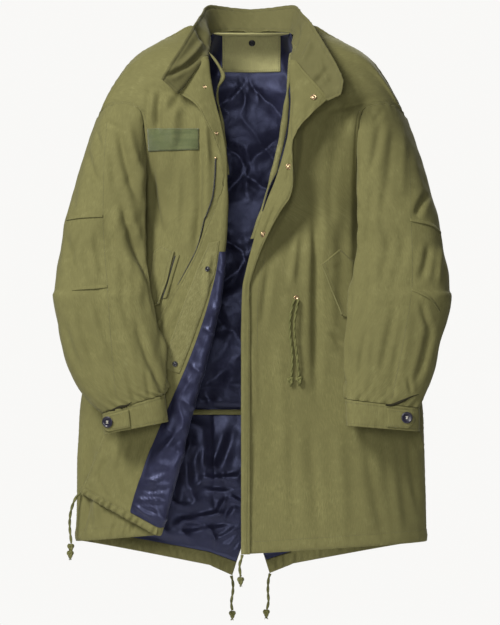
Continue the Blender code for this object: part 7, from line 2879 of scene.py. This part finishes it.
def make_stage(settings):
    scene = bpy.context.scene
    low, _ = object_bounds()
    steps = 96
    angles = 2 * math.pi * np.arange(steps) / steps
    points = [(0.0, 0.0, FLOOR_Z)]
    for radius in (0.3, 0.6, 0.86):
        points += [(radius * math.cos(a), radius * math.sin(a), FLOOR_Z) for a in angles]
    faces = [(0, 1 + k, 1 + (k + 1) % steps) for k in range(steps)]
    for ring in (0, 1):
        base = 1 + ring * steps
        for k in range(steps):
            n = (k + 1) % steps
            faces.append((base + k, base + steps + k, base + steps + n, base + n))
    floor = plain_mesh("Stage_floor", points, faces, stage_paper())
    floor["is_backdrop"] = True
    for name, place, aim, size, power, colour in STAGE_LIGHTS:
        data = bpy.data.lights.new(name, "AREA")
        data.shape = "DISK"
        data.size = size
        data.energy = power * settings.light
        data.color = colour
        lamp = bpy.data.objects.new(name, data)
        lamp.location = place
        lamp.rotation_euler = (Vector(aim) - Vector(place)).to_track_quat("-Z", "Y").to_euler()
        scene.collection.objects.link(lamp)
    world = bpy.data.worlds.new("Studio")
    world.use_nodes = True
    back = world.node_tree.nodes["Background"]
    back.inputs["Color"].default_value = (0.945, 0.94, 0.925, 1)
    seen = world.node_tree.nodes.new("ShaderNodeLightPath")
    level = world.node_tree.nodes.new("ShaderNodeMapRange")
    level.inputs["To Min"].default_value = WORLD_LIGHT
    level.inputs["To Max"].default_value = 1.0
    world.node_tree.links.new(seen.outputs["Is Camera Ray"], level.inputs["Value"])
    world.node_tree.links.new(level.outputs["Result"], back.inputs["Strength"])
    scene.world = world
    scene.view_settings.view_transform = "Standard"
    data = bpy.data.cameras.new("Camera")
    data.sensor_width = 36
    data.lens = 36 * CAMERA_DISTANCE / (625 * VIEW_STEP)
    data.clip_end = 100
    camera = bpy.data.objects.new("Camera", data)
    middle_x, middle_z = view_point(250, 312.5)
    camera.location = (middle_x, CAMERA_PLANE_Y - CAMERA_DISTANCE, middle_z)
    camera.rotation_euler = (math.pi / 2, 0, 0)
    scene.collection.objects.link(camera)
    scene.camera = camera


MADE = {}


class ParkaSettings(bpy.types.PropertyGroup):
    cloth_spacing: bpy.props.FloatProperty(
        name="Cloth spacing", description="Distance between points of the shell's cloth",
        default=0.0042, unit="LENGTH",
    )
    crease_depth: bpy.props.FloatProperty(
        name="Crease depth", description="Share of the creases' measured depth",
        default=2.7, subtype="FACTOR",
    )
    quilt_height: bpy.props.FloatProperty(
        name="Quilt height", description="How far the liner's cells puff out",
        default=0.009, unit="LENGTH",
    )
    light: bpy.props.FloatProperty(
        name="Light", description="Share of the studio lights' power",
        default=1.0, subtype="FACTOR",
    )


def settings_of(context):
    return context.scene.parka


class MakeStage(bpy.types.Operator):
    """Makes the camera, the floor and the soft studio light"""

    bl_idname = "parka.stage"
    bl_label = "Stage"

    def execute(self, context):
        make_stage(settings_of(context))
        return {"FINISHED"}


class MakeCords(bpy.types.Operator):
    """Makes the waist and hem cords with their knots"""

    bl_idname = "parka.cords"
    bl_label = "Cords"

    def execute(self, context):
        make_cords(settings_of(context), MADE)
        return {"FINISHED"}


class MakeBacks(bpy.types.Operator):
    """Makes the two back panels"""

    bl_idname = "parka.backs"
    bl_label = "Backs"

    def execute(self, context):
        make_backs(settings_of(context), MADE)
        return {"FINISHED"}


class MakeFronts(bpy.types.Operator):
    """Makes the two fronts and the cloth turned out beyond each fold"""

    bl_idname = "parka.fronts"
    bl_label = "Fronts"

    def execute(self, context):
        make_fronts(settings_of(context), MADE)
        return {"FINISHED"}


class MakeSleeves(bpy.types.Operator):
    """Makes the sleeves, their elbow tucks and their cuffs"""

    bl_idname = "parka.sleeves"
    bl_label = "Sleeves"

    def execute(self, context):
        make_sleeves(settings_of(context), MADE)
        make_cuff_tabs(settings_of(context), MADE)
        return {"FINISHED"}


class MakeCollar(bpy.types.Operator):
    """Makes the spread collar"""

    bl_idname = "parka.collar"
    bl_label = "Collar"

    def execute(self, context):
        make_collar(settings_of(context), MADE)
        return {"FINISHED"}


class MakeLiner(bpy.types.Operator):
    """Makes the quilted liner, its yoke, its bound edges and its hem binding"""

    bl_idname = "parka.liner"
    bl_label = "Quilted liner"

    def execute(self, context):
        make_liner(settings_of(context), MADE)
        make_liner_edges(settings_of(context), MADE)
        return {"FINISHED"}


class MakeLinings(bpy.types.Operator):
    """Makes the satin linings and the drawcord casings over them"""

    bl_idname = "parka.linings"
    bl_label = "Linings"

    def execute(self, context):
        make_linings(settings_of(context), MADE)
        make_casings(settings_of(context), MADE)
        return {"FINISHED"}


class MakeTrim(bpy.types.Operator):
    """Makes the pockets, patch, snaps, eyelet, zips and topstitching"""

    bl_idname = "parka.trim"
    bl_label = "Trim"

    def execute(self, context):
        make_trim(settings_of(context), MADE)
        make_zips(settings_of(context), MADE)
        make_stitches(settings_of(context), MADE)
        return {"FINISHED"}


class ParkaPanel(bpy.types.Panel):
    """The parka's pieces, each with its button"""

    bl_idname = "VIEW3D_PT_parka"
    bl_label = "Fishtail parka"
    bl_space_type = "VIEW_3D"
    bl_region_type = "UI"
    bl_category = "Parka"

    def draw(self, context):
        for name in ParkaSettings.__annotations__:
            self.layout.prop(settings_of(context), name)
        for kind in OPERATORS:
            self.layout.operator(kind.bl_idname)


# In the order in which they are made: cloth before what lies on it.
OPERATORS = (
    MakeStage, MakeCords, MakeCollar, MakeBacks, MakeFronts, MakeSleeves, MakeLiner, MakeLinings,
    MakeTrim,
)
CLASSES = (ParkaSettings, *OPERATORS, ParkaPanel)


def register():
    for kind in CLASSES:
        bpy.utils.register_class(kind)
    bpy.types.Scene.parka = bpy.props.PointerProperty(type=ParkaSettings)


def unregister():
    del bpy.types.Scene.parka
    for kind in reversed(CLASSES):
        bpy.utils.unregister_class(kind)


def main():
    register()
    for kind in OPERATORS:
        family, name = kind.bl_idname.split(".")
        result = getattr(getattr(bpy.ops, family), name)()
        if result != {"FINISHED"}:
            raise RuntimeError(f"{kind.bl_idname} didn't finish")
    bpy.context.view_layer.update()


if __name__ == "__main__":
    main()
